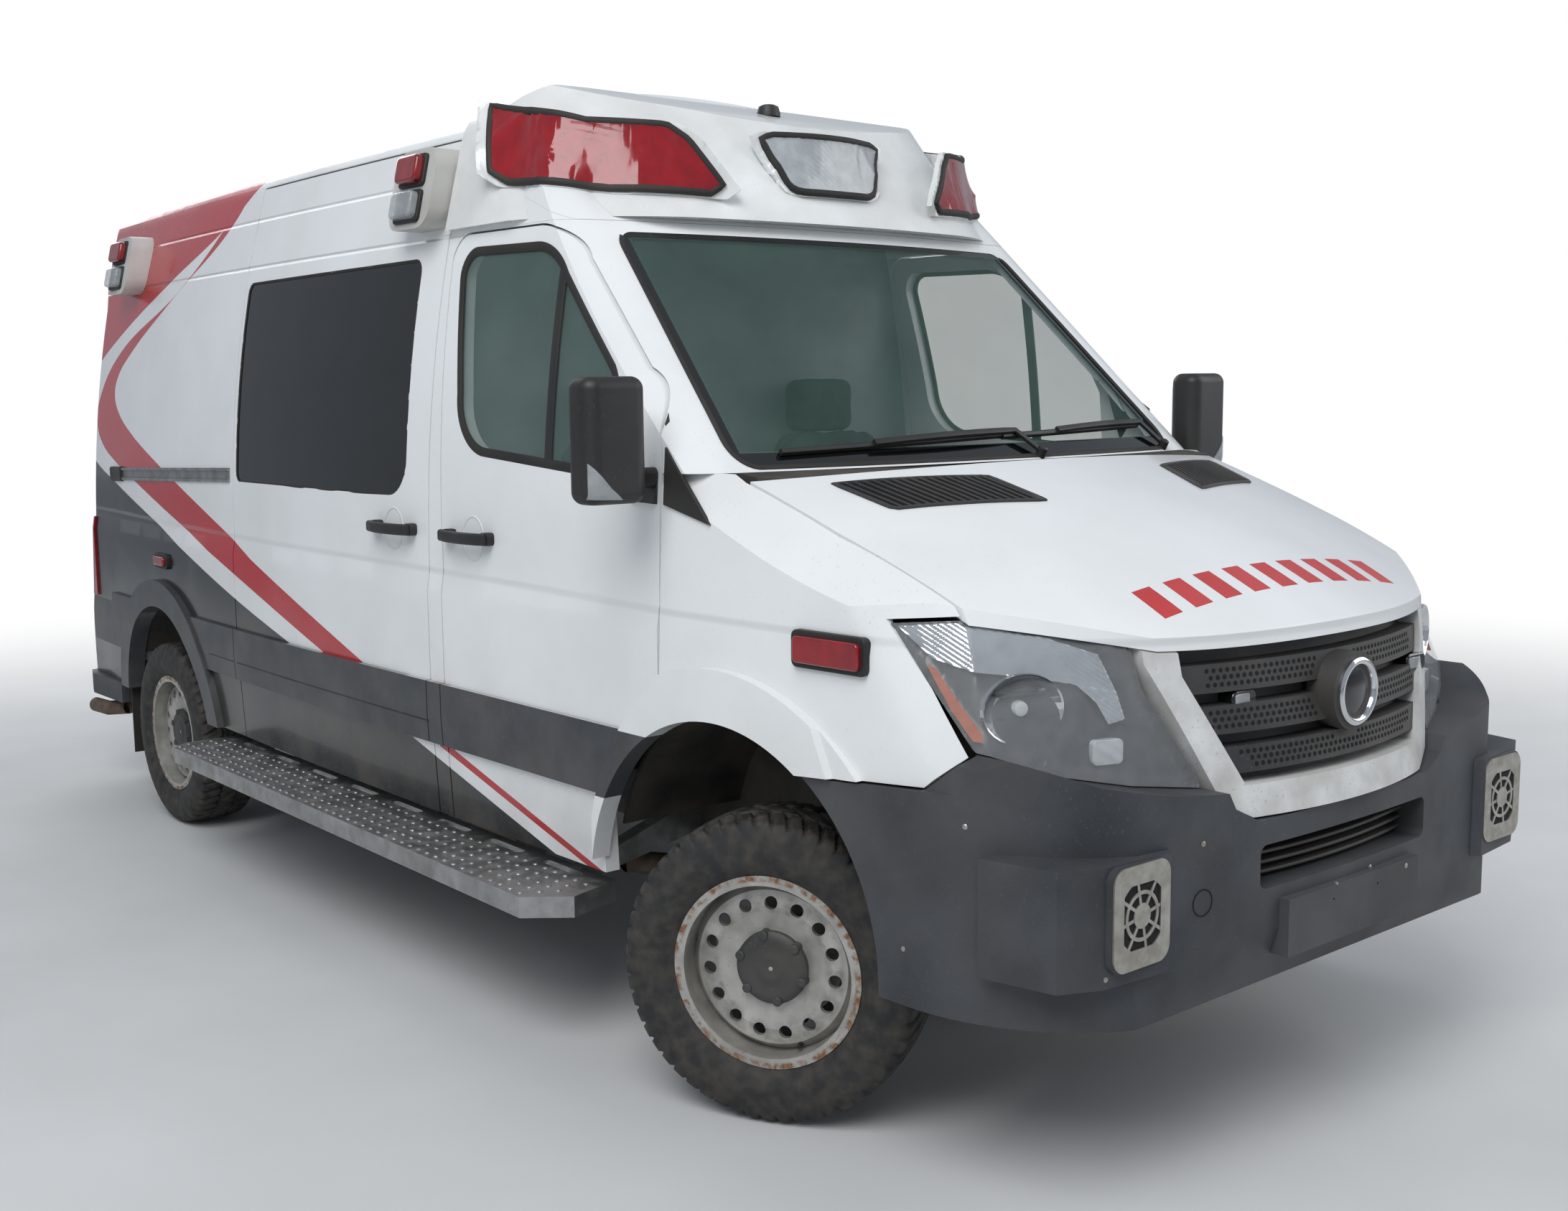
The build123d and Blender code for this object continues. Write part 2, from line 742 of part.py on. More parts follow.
# Grille: a back plate, three slats and a round boss
slat_heights = [(905, 962), (990, 1050), (1078, 1138)]
slat_front, slat_depth, plate_depth = 14.0, 42.0, 12.0
boss_z, boss_radius, boss_y = 1047.0, 88.0, -2938.0
with BuildPart() as grille:
    with BuildSketch(Plane.XZ.offset(2300)):
        for low_z, high_z in slat_heights:
            with Locations((0, (low_z + high_z) / 2)):
                Rectangle(1200, high_z - low_z)
    extrude(amount=900)
    add(face_layer(slat_front, slat_depth + 1), clean=False, mode=Mode.INTERSECT)
    add(face_layer(slat_front + slat_depth, plate_depth), clean=False)
    with BuildSketch(Plane.XZ.offset(-boss_y - 70)):
        with Locations((0, boss_z)):
            Circle(boss_radius)
    extrude(amount=70)
    add(prism_y(both_sides(surround_inner, -seat_gap), -3200, -2300), clean=False, mode=Mode.INTERSECT)
grille.part.label = "grille"
export_step(grille.part, "parts/grille.step")

with BuildPart() as hood:
    add(hood_plan(-panel_gap / 2))
    add(nose_keep(0), clean=False, mode=Mode.INTERSECT)
    add(nose_form, clean=False, mode=Mode.INTERSECT)
    add(nose_solid(-12, hood_wall), clean=False, mode=Mode.SUBTRACT)
hood.part.label = "hood"
export_step(hood.part, "parts/hood.step")

# Fenders with their arch flares
fender_outline = [
    (door_front_y - 3, cab_bottom_z - seat_gap), (-2640, cab_bottom_z - seat_gap), (-2576, 1258),
    (-2400, 1243), (-2627, 987), (-2527, 906), (-2165, 878), (-2100, 600), (-1500, 470), (-1404, 478),
    (-1404, 640),
]
with BuildPart() as fender_skin:
    add(nose_solid(-flare_out, 0))
    add(
        arch_ring(front_arch_y, front_arch_z, 0, front_flare_radius, 700, 1100),
        clean=False,
        mode=Mode.INTERSECT,
    )
    add(nose_form, clean=False)
    add(nose_solid(fender_wall, fender_wall), clean=False, mode=Mode.SUBTRACT)
    add(nose_keep(0), clean=False, mode=Mode.INTERSECT)

for side, s in (("left", 1), ("right", -1)):
    with BuildPart() as fender:
        add(fender_skin.part)
        with BuildSketch(Plane.YZ.offset(s * 700)):
            with BuildLine():
                Polyline(*fender_outline)
                ThreePointArc(fender_outline[-1], (-1511, 861), (door_front_y - 3, 1015))
                Line((door_front_y - 3, 1015), fender_outline[0])
            make_face()
            with Locations((front_arch_y, front_arch_z)):
                Circle(front_arch_radius, mode=Mode.SUBTRACT)
        extrude(amount=s * 400, mode=Mode.INTERSECT, clean=False)
        seam = [(s * (x + panel_gap / 2), y) for x, y in hood_seam]
        add(
            prism_z([(s * 860, -1300), *seam, (s * 1300, -3100), (s * 1300, -1300)], 400, 1700),
            clean=False,
            mode=Mode.INTERSECT,
        )
    fender.part.label = "fender_" + side
    export_step(fender.part, "parts/fender_" + side + ".step")

# Front bumper: a plan outline carried up, trimmed under the lamps and the surround
bumper_top = [
    (1100, 420), (1100, 876), (930, 904), (912, 960), (880, 983), (760, 934), (600, 901), (434, 882),
    (413, 846), (337, 808),
]
bumper_shoulder = [(-2624, 980), (-2525, 900), (-2163, 872), (-2000, 872), (-2000, 1100), (-2624, 1100)]
plate_half_x, plate_low_z, plate_high_z = 262.0, 500.0, 628.0
plate_hole_spacing, plate_hole_z, plate_hole_radius = 178.0, 595.0, 3.0


def bumper_solid(inset, low_z, high_z):
    """The bumper's plan, drawn in by an inset, from low_z to high_z."""
    knots = [(x - inset * bumper_side_share, y + inset) for x, y in bumper_plan]
    with BuildPart() as solid:
        with BuildSketch(Plane.XY.offset(low_z)):
            with BuildLine():
                ThreePointArc((-knots[0][0], knots[0][1]), (0, bumper_middle_y + inset), knots[0])
                for s in (1, -1):
                    ThreePointArc(*[(s * x, y) for x, y in knots[0:3]])
                    Line((s * knots[2][0], knots[2][1]), (s * knots[3][0], knots[3][1]))
                Line((-knots[3][0], knots[3][1]), knots[3])
            make_face()
        extrude(amount=high_z - low_z)
    return solid.part


with BuildPart() as front_bumper:
    add(bumper_solid(0, bumper_low_z, 1000))
    add(prism_y(both_sides(bumper_top, 0), -3200, -2100), mode=Mode.INTERSECT)
    add(bumper_solid(bumper_depth, 380, 1050), mode=Mode.SUBTRACT)
    add(prism_x([(-3100, 400), (-3100, 600), (-2930, 560), (-2880, 400)], -1300, 1300), mode=Mode.SUBTRACT)
    with BuildSketch(Plane.XZ.offset(2780)):
        with Locations((0, 705)):
            RectangleRounded(660, 96, 20)
    extrude(amount=300, mode=Mode.SUBTRACT)
    with BuildSketch(Plane.XZ.offset(2850)):
        with Locations((0, (plate_low_z + plate_high_z) / 2)):
            Rectangle(2 * plate_half_x, plate_high_z - plate_low_z)
    extrude(amount=-front_end_y - 2850)
    with BuildSketch(Plane.XZ.offset(-front_end_y - 30)):
        with Locations((-plate_hole_spacing / 2, plate_hole_z), (plate_hole_spacing / 2, plate_hole_z)):
            Circle(plate_hole_radius)
    extrude(amount=30, mode=Mode.SUBTRACT)
    add(arch_ring(front_arch_y, front_arch_z, 0, front_arch_radius, 600, 1100), mode=Mode.SUBTRACT)
    add(prism_x(bumper_shoulder, -1300, 1300), mode=Mode.SUBTRACT)
front_bumper.part.label = "front_bumper"
export_step(front_bumper.part, "parts/front_bumper.step")

# Siren speaker pods on the bumper's corners
pod_plan = [(560, -2840), (628, -2920), (815, -2902), (905, -2860), (945, -2690), (700, -2700)]
pod_low_z, pod_high_z, pod_plate_y = 548.0, 794.0, -2918.0
with BuildPart() as siren_pods:
    for s in (1, -1):
        add(prism_z([(s * x, y) for x, y in pod_plan], pod_low_z, pod_high_z))
        with BuildSketch(Plane.XZ.offset(-pod_plate_y - 20)):
            with Locations((s * 720, 684)):
                RectangleRounded(180, 217, 30)
        extrude(amount=20)
    add(bumper_solid(-seat_gap, 400, 1000), mode=Mode.SUBTRACT)
siren_pods.part.label = "siren_pods"
export_step(siren_pods.part, "parts/siren_pods.step")

# Frame rails and crossmembers
rail_inner_x, rail_outer_x, rail_low_z, rail_high_z = 430.0, 510.0, 470.0, 600.0
rail_front_y, rail_rear_y = -2789.0, 2805.0
cross_places = [-2745.0, -1600.0, -400.0, 900.0, 2300.0, 2765.0]
cross_low_z, cross_high_z, cross_wide = 500.0, 565.0, 70.0
with BuildPart() as underframe:
    with BuildSketch(Plane.XY.offset(rail_low_z)):
        for s in (1, -1):
            with Locations((s * (rail_inner_x + rail_outer_x) / 2, (rail_front_y + rail_rear_y) / 2)):
                Rectangle(rail_outer_x - rail_inner_x, rail_rear_y - rail_front_y)
    extrude(amount=rail_high_z - rail_low_z)
    with BuildSketch(Plane.XY.offset(cross_low_z)):
        for y in cross_places:
            with Locations((0, y)):
                Rectangle(2 * rail_inner_x + 2, cross_wide)
    extrude(amount=cross_high_z - cross_low_z)
underframe.part.label = "underframe"
export_step(underframe.part, "parts/underframe.step")

# Cowl tray, firewall, wheelhouse liners and radiator support
firewall_y, firewall_thick, firewall_x = -1720.0, 30.0, 880.0
liner_radius, liner_thick = 535.0, 10.0
liner_inner_x, liner_outer_x = 514.0, 900.0
shelf_low_z = 1500.0
floor_low_z, floor_high_z = rail_high_z, 640.0
radiator_y, radiator_thick = -2770.0, 60.0
with BuildPart() as front_structure:
    add(
        prism_y(
            [(-firewall_x, rail_high_z), (firewall_x, rail_high_z), (firewall_x, 1400), (firewall_x - 40, shelf_low_z),
             (40 - firewall_x, shelf_low_z), (-firewall_x, 1400)],
            firewall_y,
            firewall_y + firewall_thick,
        )
    )
    add(arch_ring(front_arch_y, front_arch_z, 0, liner_radius, liner_inner_x, 1100), mode=Mode.SUBTRACT)
    add(arch_ring(front_arch_y, front_arch_z, liner_radius, liner_radius + liner_thick, liner_inner_x, liner_outer_x))
    add(
        arch_ring(
            front_arch_y, front_arch_z, 0, liner_radius + liner_thick, liner_inner_x - liner_thick, liner_inner_x
        )
    )
    with BuildSketch(Plane.XY.offset(-200)):
        Rectangle(2600, 7000)
    extrude(amount=200 + rail_high_z, mode=Mode.SUBTRACT)
    add(
        prism_x(
            [(-2110, 1436), (-2110, 1476), (-1930, 1519), (-1850, cab_bottom_z - seat_gap),
             (firewall_y + firewall_thick, cab_bottom_z - seat_gap), (firewall_y + firewall_thick, shelf_low_z),
             (-1840, shelf_low_z), (-1840, 1436)],
            -862,
            862,
        )
    )
    add(hood_plan(panel_gap / 2), mode=Mode.SUBTRACT)
    with BuildSketch(Plane.XZ.offset(-radiator_y - radiator_thick)):
        with Locations((0, (cross_high_z + 1080) / 2)):
            Rectangle(2 * rail_inner_x, 1080 - cross_high_z)
    extrude(amount=radiator_thick)
front_structure.part.label = "front_structure"
export_step(front_structure.part, "parts/front_structure.step")

# Engine and gearbox as one plain block, with the shaft to the rear axle
engine_half_x, engine_low_z, engine_high_z = 300.0, 560.0, 1150.0
engine_front_y, engine_rear_y = -2620.0, -1960.0
gearbox_rear_y, shaft_radius = -1480.0, 35.0
diff_radius = 125.0
with BuildPart() as drivetrain:
    with BuildSketch(Plane.XY.offset(engine_low_z)):
        with Locations((0, (engine_front_y + engine_rear_y) / 2)):
            RectangleRounded(2 * engine_half_x, engine_rear_y - engine_front_y, 40)
    extrude(amount=engine_high_z - engine_low_z)
    for y in (engine_front_y + 130, engine_rear_y - 130):
        with BuildSketch(Plane.XY.offset(engine_low_z)):
            with Locations((0, y)):
                Rectangle(2 * rail_inner_x, 80)
        extrude(amount=30)
    add(
        prism_x(
            [(engine_rear_y - 20, 590), (engine_rear_y - 20, 330), (-1750, 380), (gearbox_rear_y, 400),
             (gearbox_rear_y, 495), (-1640, 495), (-1700, 590)],
            -150,
            150,
        )
    )
    shaft_front = Vector(0, gearbox_rear_y - 5, 448)
    shaft_rear = Vector(0, rear_axle_y - diff_radius, wheel_z + 5)
    with BuildSketch(Plane(origin=shaft_front, z_dir=shaft_rear - shaft_front)):
        Circle(shaft_radius)
    extrude(amount=(shaft_rear - shaft_front).length)
drivetrain.part.label = "drivetrain"
export_step(drivetrain.part, "parts/drivetrain.step")

# Wheels: outboard direction turned by the steering
wheel_places = [
    ("front_left", 1, front_axle_y, steer_angle),
    ("front_right", -1, front_axle_y, steer_angle),
    ("rear_left", 1, rear_axle_y, 0.0),
    ("rear_right", -1, rear_axle_y, 0.0),
]
hub_inner, hub_outer, hub_radius = -40.0, 50.0, 70.0
disc_wide = 22.0
bead_x = rim_width / 2 - seat_gap
bead_radius = rim_radius + 17


def wheel_plane(s, y, angle, out):
    """A plane on the wheel's axle, its x outboard and its y up, moved outboard."""
    a = radians(angle)
    outboard = Vector(s * cos(a), s * sin(a), 0)
    reach = wheel_x - kingpin_x + out
    centre = Vector(s * kingpin_x, y, wheel_z) + outboard * reach
    return Plane(origin=centre, x_dir=outboard, z_dir=Vector(outboard.Y, -outboard.X, 0))


def wheel_axis(s, y, angle):
    """The wheel's axle line."""
    plane = wheel_plane(s, y, angle, 0)
    return Axis(plane.origin, plane.x_dir)


for name, s, y, angle in wheel_places:
    half = tyre_width / 2
    with BuildPart() as tyre:
        with BuildSketch(wheel_plane(s, y, angle, 0)):
            with BuildLine():
                Line((-bead_x, rim_radius + seat_gap), (bead_x, rim_radius + seat_gap))
                for e in (1, -1):
                    Line((e * bead_x, rim_radius + seat_gap), (e * bead_x, bead_radius))
                    ThreePointArc(
                        (e * bead_x, bead_radius),
                        (e * half, bead_radius + 52),
                        (e * (half - tyre_bulge), tyre_radius - 26),
                    )
                    ThreePointArc(
                        (e * (half - tyre_bulge), tyre_radius - 26),
                        (e * (half - 17), tyre_radius - 13),
                        (e * (half - tyre_shoulder), tyre_radius - 6),
                    )
                ThreePointArc(
                    (tyre_shoulder - half, tyre_radius - 6), (0, tyre_radius), (half - tyre_shoulder, tyre_radius - 6)
                )
            make_face()
        revolve(axis=wheel_axis(s, y, angle))
    tyre.part.label = "tyre_" + name
    export_step(tyre.part, "parts/tyre_" + name + ".step")

    with BuildPart() as rim:
        edge = rim_width / 2
        lip = edge + 8
        inside = rim_radius - rim_wall
        with BuildSketch(wheel_plane(s, y, angle, 0)):
            with BuildLine():
                Polyline(
                    (-edge, rim_radius), (-edge, rim_radius + 15), (-lip, rim_radius + 15), (-lip, inside),
                    (20, inside), (47, 184), (54, 150), (38, 98), (38, hub_radius), (hub_inner + disc_wide, hub_radius),
                    (hub_inner + disc_wide, disc_radius), (hub_inner, disc_radius), (hub_inner, spindle_radius + running_gap),
                    (hub_outer, spindle_radius + running_gap), (hub_outer, 0), (72, 0), (72, hub_cap_radius - 12),
                    (62, hub_cap_radius), (hub_outer, hub_cap_radius), (50, 97), (67, 150), (60, 188), (32, inside),
                    (lip, inside), (lip, rim_radius + 15), (edge, rim_radius + 15), (edge, rim_radius), close=True,
                )
            make_face()
        revolve(axis=wheel_axis(s, y, angle))
        plane = wheel_plane(s, y, angle, 10)
        with BuildSketch(Plane(origin=plane.origin, x_dir=(0, 0, 1), z_dir=plane.x_dir)):
            with PolarLocations(rim_hole_circle, rim_hole_count):
                Circle(rim_hole_radius)
        extrude(amount=80, mode=Mode.SUBTRACT)
    rim.part.label = "rim_" + name
    export_step(rim.part, "parts/rim_" + name + ".step")

# Steering knuckles: kingpin post, spindle and steering arm
post_radius, post_low_z, post_high_z = 22.0, 186.0, 480.0
arm_low_z, arm_high_z = 194.0, 214.0
for side, s in (("left", 1), ("right", -1)):
    with BuildPart() as knuckle:
        with BuildSketch(Plane.XY.offset(post_low_z)):
            with Locations((s * kingpin_x, front_axle_y)):
                Circle(post_radius)
        extrude(amount=post_high_z - post_low_z)
        plane = wheel_plane(s, front_axle_y, steer_angle, kingpin_x - wheel_x)
        with BuildSketch(Plane(origin=plane.origin, x_dir=(0, 0, 1), z_dir=plane.x_dir)):
            Circle(spindle_radius)
        extrude(amount=wheel_x - kingpin_x + hub_outer - 5)
        with BuildSketch(Plane(origin=plane.origin - Vector(0, 0, 60), x_dir=plane.x_dir, z_dir=(0, 0, 1))):
            with Locations((-6, s * 60)):
                Rectangle(26, 120)
        extrude(amount=24)
    knuckle.part.label = "knuckle_" + side
    export_step(knuckle.part, "parts/knuckle_" + side + ".step")

# Front crossbeam with lower arms and struts
strut_x, strut_radius = 640.0, 26.0
beam_half_y = 40.0
with BuildPart() as front_suspension:
    add(
        prism_y(
            [(-rail_outer_x, rail_low_z), (-rail_inner_x, rail_low_z), (-rail_inner_x + 20, 315), (400, 315),
             (rail_inner_x, rail_low_z), (rail_outer_x, rail_low_z), (rail_outer_x, 300), (750, arm_high_z), (750, arm_low_z),
             (-750, arm_low_z), (-750, arm_high_z), (-rail_outer_x, 300)],
            front_axle_y - beam_half_y,
            front_axle_y + beam_half_y,
        )
    )
    for s in (1, -1):
        with BuildSketch(Plane.XY.offset(arm_low_z)):
            with Locations((s * kingpin_x, front_axle_y)):
                Circle(post_radius + 20)
        extrude(amount=arm_high_z - arm_low_z)
        with BuildSketch(Plane.XY.offset(arm_low_z)):
            with Locations((s * kingpin_x, front_axle_y)):
                Circle(post_radius + running_gap)
        extrude(amount=arm_high_z - arm_low_z, mode=Mode.SUBTRACT)
        strut_top_z = front_arch_z + sqrt(liner_radius**2 - (front_axle_y - front_arch_y) ** 2)
        with BuildSketch(Plane.XY.offset(arm_high_z)):
            with Locations((s * strut_x, front_axle_y)):
                Circle(strut_radius)
        extrude(amount=strut_top_z - 4 - arm_high_z)
front_suspension.part.label = "front_suspension"
export_step(front_suspension.part, "parts/front_suspension.step")

# Rear axle with its leaf springs
axle_radius = 45.0
spring_x, spring_wide, spring_thick, spring_steps = 565.0, 70.0, 24.0, 6
spring_ends = [(rear_axle_y - 640, 540.0), (rear_axle_y + 640, 540.0)]
with BuildPart() as rear_axle:
    with BuildSketch(Plane.YZ.offset(-wheel_x + 75)):
        with Locations((rear_axle_y, wheel_z)):
            Circle(axle_radius)
    extrude(amount=2 * wheel_x - 150)
    with BuildSketch(Plane.YZ.offset(-wheel_x - hub_outer + 5)):
        with Locations((rear_axle_y, wheel_z)):
            Circle(spindle_radius)
    extrude(amount=2 * (wheel_x + hub_outer - 5))
    with Locations(Location((0, rear_axle_y, wheel_z), (0, 90, 0))):
        Sphere(diff_radius - 3)
    for s in (1, -1):
        spring_low_z = wheel_z + axle_radius - 3
        spring_rise = spring_ends[0][1] - spring_low_z
        shares = [k / spring_steps for k in range(-spring_steps, spring_steps + 1)]
        leaf = [(rear_axle_y + 640 * share, spring_low_z + spring_rise * share**2) for share in shares]
        with BuildSketch(Plane.YZ.offset(s * spring_x - spring_wide / 2)):
            with BuildLine():
                Polyline(*leaf, *[(y, z + spring_thick) for y, z in leaf[::-1]], close=True)
            make_face()
        extrude(amount=spring_wide)
        for y, z in spring_ends:
            with BuildSketch(Plane.YZ.offset(s * rail_outer_x)):
                with Locations((y, z + spring_thick / 2)):
                    Circle(26)
            extrude(amount=s * (spring_x - rail_outer_x + spring_wide / 2))
rear_axle.part.label = "rear_axle"
export_step(rear_axle.part, "parts/rear_axle.step")

# Fuel tank on the left rail, muffler and tail pipe on the right one
tank_front_y, tank_rear_y = -200.0, 500.0
with BuildPart() as fuel_tank:
    with BuildSketch(Plane.XZ.offset(-tank_front_y)):
        with Locations(((rail_outer_x + 840) / 2, 460)):
            RectangleRounded(840 - rail_outer_x, 250, 45)
    extrude(amount=tank_front_y - tank_rear_y)
fuel_tank.part.label = "fuel_tank"
export_step(fuel_tank.part, "parts/fuel_tank.step")

pipe_radius = 32.0
pipe_path = [
    (-250, -1400, 340), (-620, -1000, 360), (-620, 600, 360), (-340, 1000, 455), (-340, 2420, 455),
    (-860, 2560, 350), (-915, 2660, 338), (-925, 2800, 336),
]
muffler_radius = 88.0
with BuildPart() as exhaust:
    with BuildLine():
        Polyline(*pipe_path)
    first = Vector(*pipe_path[1]) - Vector(*pipe_path[0])
    with BuildSketch(Plane(origin=pipe_path[0], z_dir=first)):
        Circle(pipe_radius)
    sweep(transition=Transition.ROUND)
    with BuildSketch(Plane.XZ.offset(500)):
        with Locations((-620, 360)):
            Circle(muffler_radius)
    extrude(amount=-900)
    with BuildSketch(Plane.XZ.offset(100)):
        with Locations((-600, 485)):
            Rectangle(2 * (600 - rail_outer_x), 60)
    extrude(amount=-40)
    with BuildSketch(Plane.XZ.offset(100)):
        with Locations((-640, 460)):
            Rectangle(60, 90)
    extrude(amount=-40)
exhaust.part.label = "exhaust"
export_step(exhaust.part, "parts/exhaust.step")

# Running boards on brackets from the rails
board_high_z, board_low_z, board_wall = 440.0, 384.0, 6.0
board_front_y, board_rear_y, board_inner_x, board_outer_x = -1400.0, 1180.0, 905.0, 1178.0
bracket_places = [-1180.0, -420.0, 640.0, 1000.0]


def board_plan(s, inset, z_low, z_high):
    """A running board's plan with cut corners, drawn in by an inset."""
    outer = board_outer_x - inset
    front = board_front_y + inset
    rear = board_rear_y - inset
    inner = board_inner_x + inset
    return prism_z(
        [(s * inner, front + 50), (s * (outer - 110), front), (s * outer, front + 90), (s * outer, rear - 60),
         (s * (outer - 60), rear), (s * inner, rear)],
        z_low,
        z_high,
    )


with BuildPart() as running_boards:
    for s in (1, -1):
        add(board_plan(s, 0, board_low_z, board_high_z))
        add(board_plan(s, board_wall, board_low_z - 1, board_high_z - board_wall), mode=Mode.SUBTRACT)
        for y in bracket_places:
            add(
                prism_y(
                    [(s * rail_outer_x, 480), (s * rail_outer_x, 560), (s * 560, 560), (s * 940, 434),
                     (s * 1120, 434), (s * 1120, 410), (s * 920, 400)],
                    y - 25,
                    y + 25,
                )
            )
        with BuildSketch(Plane.XY.offset(board_high_z - 20)):
            with Locations((s * 948, (board_front_y + board_rear_y) / 2)):
                with GridLocations(1, 300, 1, 8):
                    SlotOverall(180, 26, rotation=90)
        extrude(amount=30, mode=Mode.SUBTRACT)
running_boards.part.label = "running_boards"
export_step(running_boards.part, "parts/running_boards.step")

# Rear bumper with a step pad, on tabs under the rails
step_low_z, step_high_z = 392.0, 504.0
step_plan = [(925, 2440), (932, 2800), (905, 2895), (820, 2938)]


def step_outline(s):
    """One half of the rear bumper's plan."""
    return [(s * x, y) for x, y in step_plan]


with BuildPart() as rear_bumper:
    add(
        prism_z(
            [*step_outline(1), (0, rear_end_y), *reversed(step_outline(-1)), (-860, 2440), (-850, 2800),
             (-780, 2850), (780, 2850), (850, 2800), (860, 2440)],
            step_low_z,
            sill_z - seat_gap,
        )
    )
    add(
        prism_z(
            [(820, 2893), (820, 2938), (0, rear_end_y), (-820, 2938), (-820, 2893)], sill_z - 5, step_high_z
        )
    )
    for s in (1, -1):
        with BuildSketch(Plane.XY.offset(rail_low_z - 30)):
            with Locations((s * (rail_inner_x + rail_outer_x) / 2, 2790)):
                Rectangle(rail_outer_x - rail_inner_x - 10, 130)
        extrude(amount=30)
rear_bumper.part.label = "rear_bumper"
export_step(rear_bumper.part, "parts/rear_bumper.step")

with BuildPart() as mudflaps:
    with BuildSketch(Plane.XZ.offset(-2322)):
        for s in (1, -1):
            with Locations((s * 868, (sill_z + 190) / 2)):
                Rectangle(106, sill_z - 190)
    extrude(amount=-8)
mudflaps.part.label = "mudflaps"
export_step(mudflaps.part, "parts/mudflaps.step")

# Floor with rear wheelhouses and the partition behind the seats
pan_radius, pan_thick = 535.0, 10.0
pan_inner_x = 642.0
partition_y, partition_thick = -571.0, 26.0
deck_x, deck_front_y, deck_rear_y, deck_rise = 600.0, -520.0, 2640.0, 3.0
with BuildPart() as floor_pan:
    add(body_solid(side_wall + seat_gap))
    add(rear_keep(rear_wall + panel_gap + 4), clean=False, mode=Mode.INTERSECT)
    with BuildSketch(Plane.XY.offset(floor_low_z)):
        with Locations((0, (firewall_y + firewall_thick + 2900) / 2)):
            Rectangle(2600, 2900 - firewall_y - firewall_thick)
    extrude(amount=floor_high_z - floor_low_z, mode=Mode.INTERSECT, clean=False)
    with BuildSketch(Plane.XY.offset(floor_low_z - 10)):
        for s in (1, -1):
            with Locations((s * 900, -1126)):
                Rectangle(120, 1100)
            with Locations((s * 750, -1520)):
                Rectangle(504, 420)
        with Locations((-996, 196)):
            Rectangle(120, 1476)
    extrude(amount=100, mode=Mode.SUBTRACT)
    add(arch_ring(rear_arch_y, rear_arch_z, 0, pan_radius, pan_inner_x, 1100), mode=Mode.SUBTRACT)
    with BuildSketch(Plane.XY.offset(floor_high_z - 2)):
        with Locations((0, (deck_front_y + deck_rear_y) / 2)):
            Rectangle(2 * deck_x, deck_rear_y - deck_front_y)
    extrude(amount=2 + deck_rise)
floor_pan.part.label = "floor_pan"
export_step(floor_pan.part, "parts/floor_pan.step")

# Rear wheelhouses on the floor, open below and outboard
with BuildPart() as wheelhouses:
    add(arch_ring(rear_arch_y, rear_arch_z, pan_radius - pan_thick, pan_radius - seat_gap, pan_inner_x, 1100))
    add(arch_ring(rear_arch_y, rear_arch_z, 0, pan_radius - seat_gap, pan_inner_x - pan_thick, pan_inner_x))
    with BuildSketch(Plane.XY.offset(floor_high_z)):
        with Locations((0, rear_arch_y)):
            Rectangle(2600, 1400)
    extrude(amount=600, mode=Mode.INTERSECT)
    add(body_solid(side_wall + seat_gap), mode=Mode.INTERSECT)
wheelhouses.part.label = "wheelhouses"
export_step(wheelhouses.part, "parts/wheelhouses.step")

with BuildPart() as partition:
    add(body_solid(side_wall + seat_gap))
    with BuildSketch(Plane.XZ.offset(-partition_y)):
        with Locations((0, (floor_high_z + 2900) / 2)):
            Rectangle(2600, 2900 - floor_high_z)
    extrude(amount=-partition_thick, mode=Mode.INTERSECT, clean=False)
    add(slope_keep(screen_wall * slope_slant + seat_gap * 2), clean=False, mode=Mode.INTERSECT)
partition.part.label = "partition"
export_step(partition.part, "parts/partition.step")

# Dashboard with the steering column
dash_rear = firewall_y + firewall_thick
dash_outline = [
    (dash_rear, 980), (dash_rear, 1548), (-1600, 1556), (-1520, 1530), (-1468, 1440), (-1492, 1200), (-1600, 980),
]
wheel_centre = Vector(400, -1360, 1380)
column_tilt = Vector(0, 0.77, 0.638)
column_radius, column_start, column_end = 32.0, -190.0, -46.0
dash_half_x = 880.0
with BuildPart() as dashboard:
    add(prism_x(dash_outline, -dash_half_x, dash_half_x))
    add(body_solid(side_wall + panel_gap + 4), clean=False, mode=Mode.INTERSECT)
    add(screen_keep(screen_wall * screen_slant + 8), clean=False, mode=Mode.INTERSECT)
    with BuildSketch(Plane(origin=wheel_centre + column_tilt * column_start, z_dir=column_tilt)):
        Circle(column_radius)
    extrude(amount=column_end - column_start)
dashboard.part.label = "dashboard"
export_step(dashboard.part, "parts/dashboard.step")

steering_radius, grip_radius = 190.0, 14.0
with BuildPart() as steering_wheel:
    with BuildSketch(Plane(origin=wheel_centre, x_dir=(1, 0, 0), z_dir=(0, -column_tilt.Z, column_tilt.Y))):
        with Locations((steering_radius, 0)):
            Circle(grip_radius)
    revolve(axis=Axis(wheel_centre, column_tilt))
    with BuildSketch(Plane(origin=wheel_centre + column_tilt * (column_end + running_gap), z_dir=column_tilt)):
        Circle(48)
    extrude(amount=50)
    with BuildSketch(Plane(origin=wheel_centre - column_tilt * 18, x_dir=(1, 0, 0), z_dir=column_tilt)):
        for angle in (0, 180, 270):
            with Locations(Rotation(0, 0, angle)):
                with Locations((steering_radius / 2, 0)):
                    Rectangle(steering_radius, 34)
    extrude(amount=14)
steering_wheel.part.label = "steering_wheel"
export_step(steering_wheel.part, "parts/steering_wheel.step")

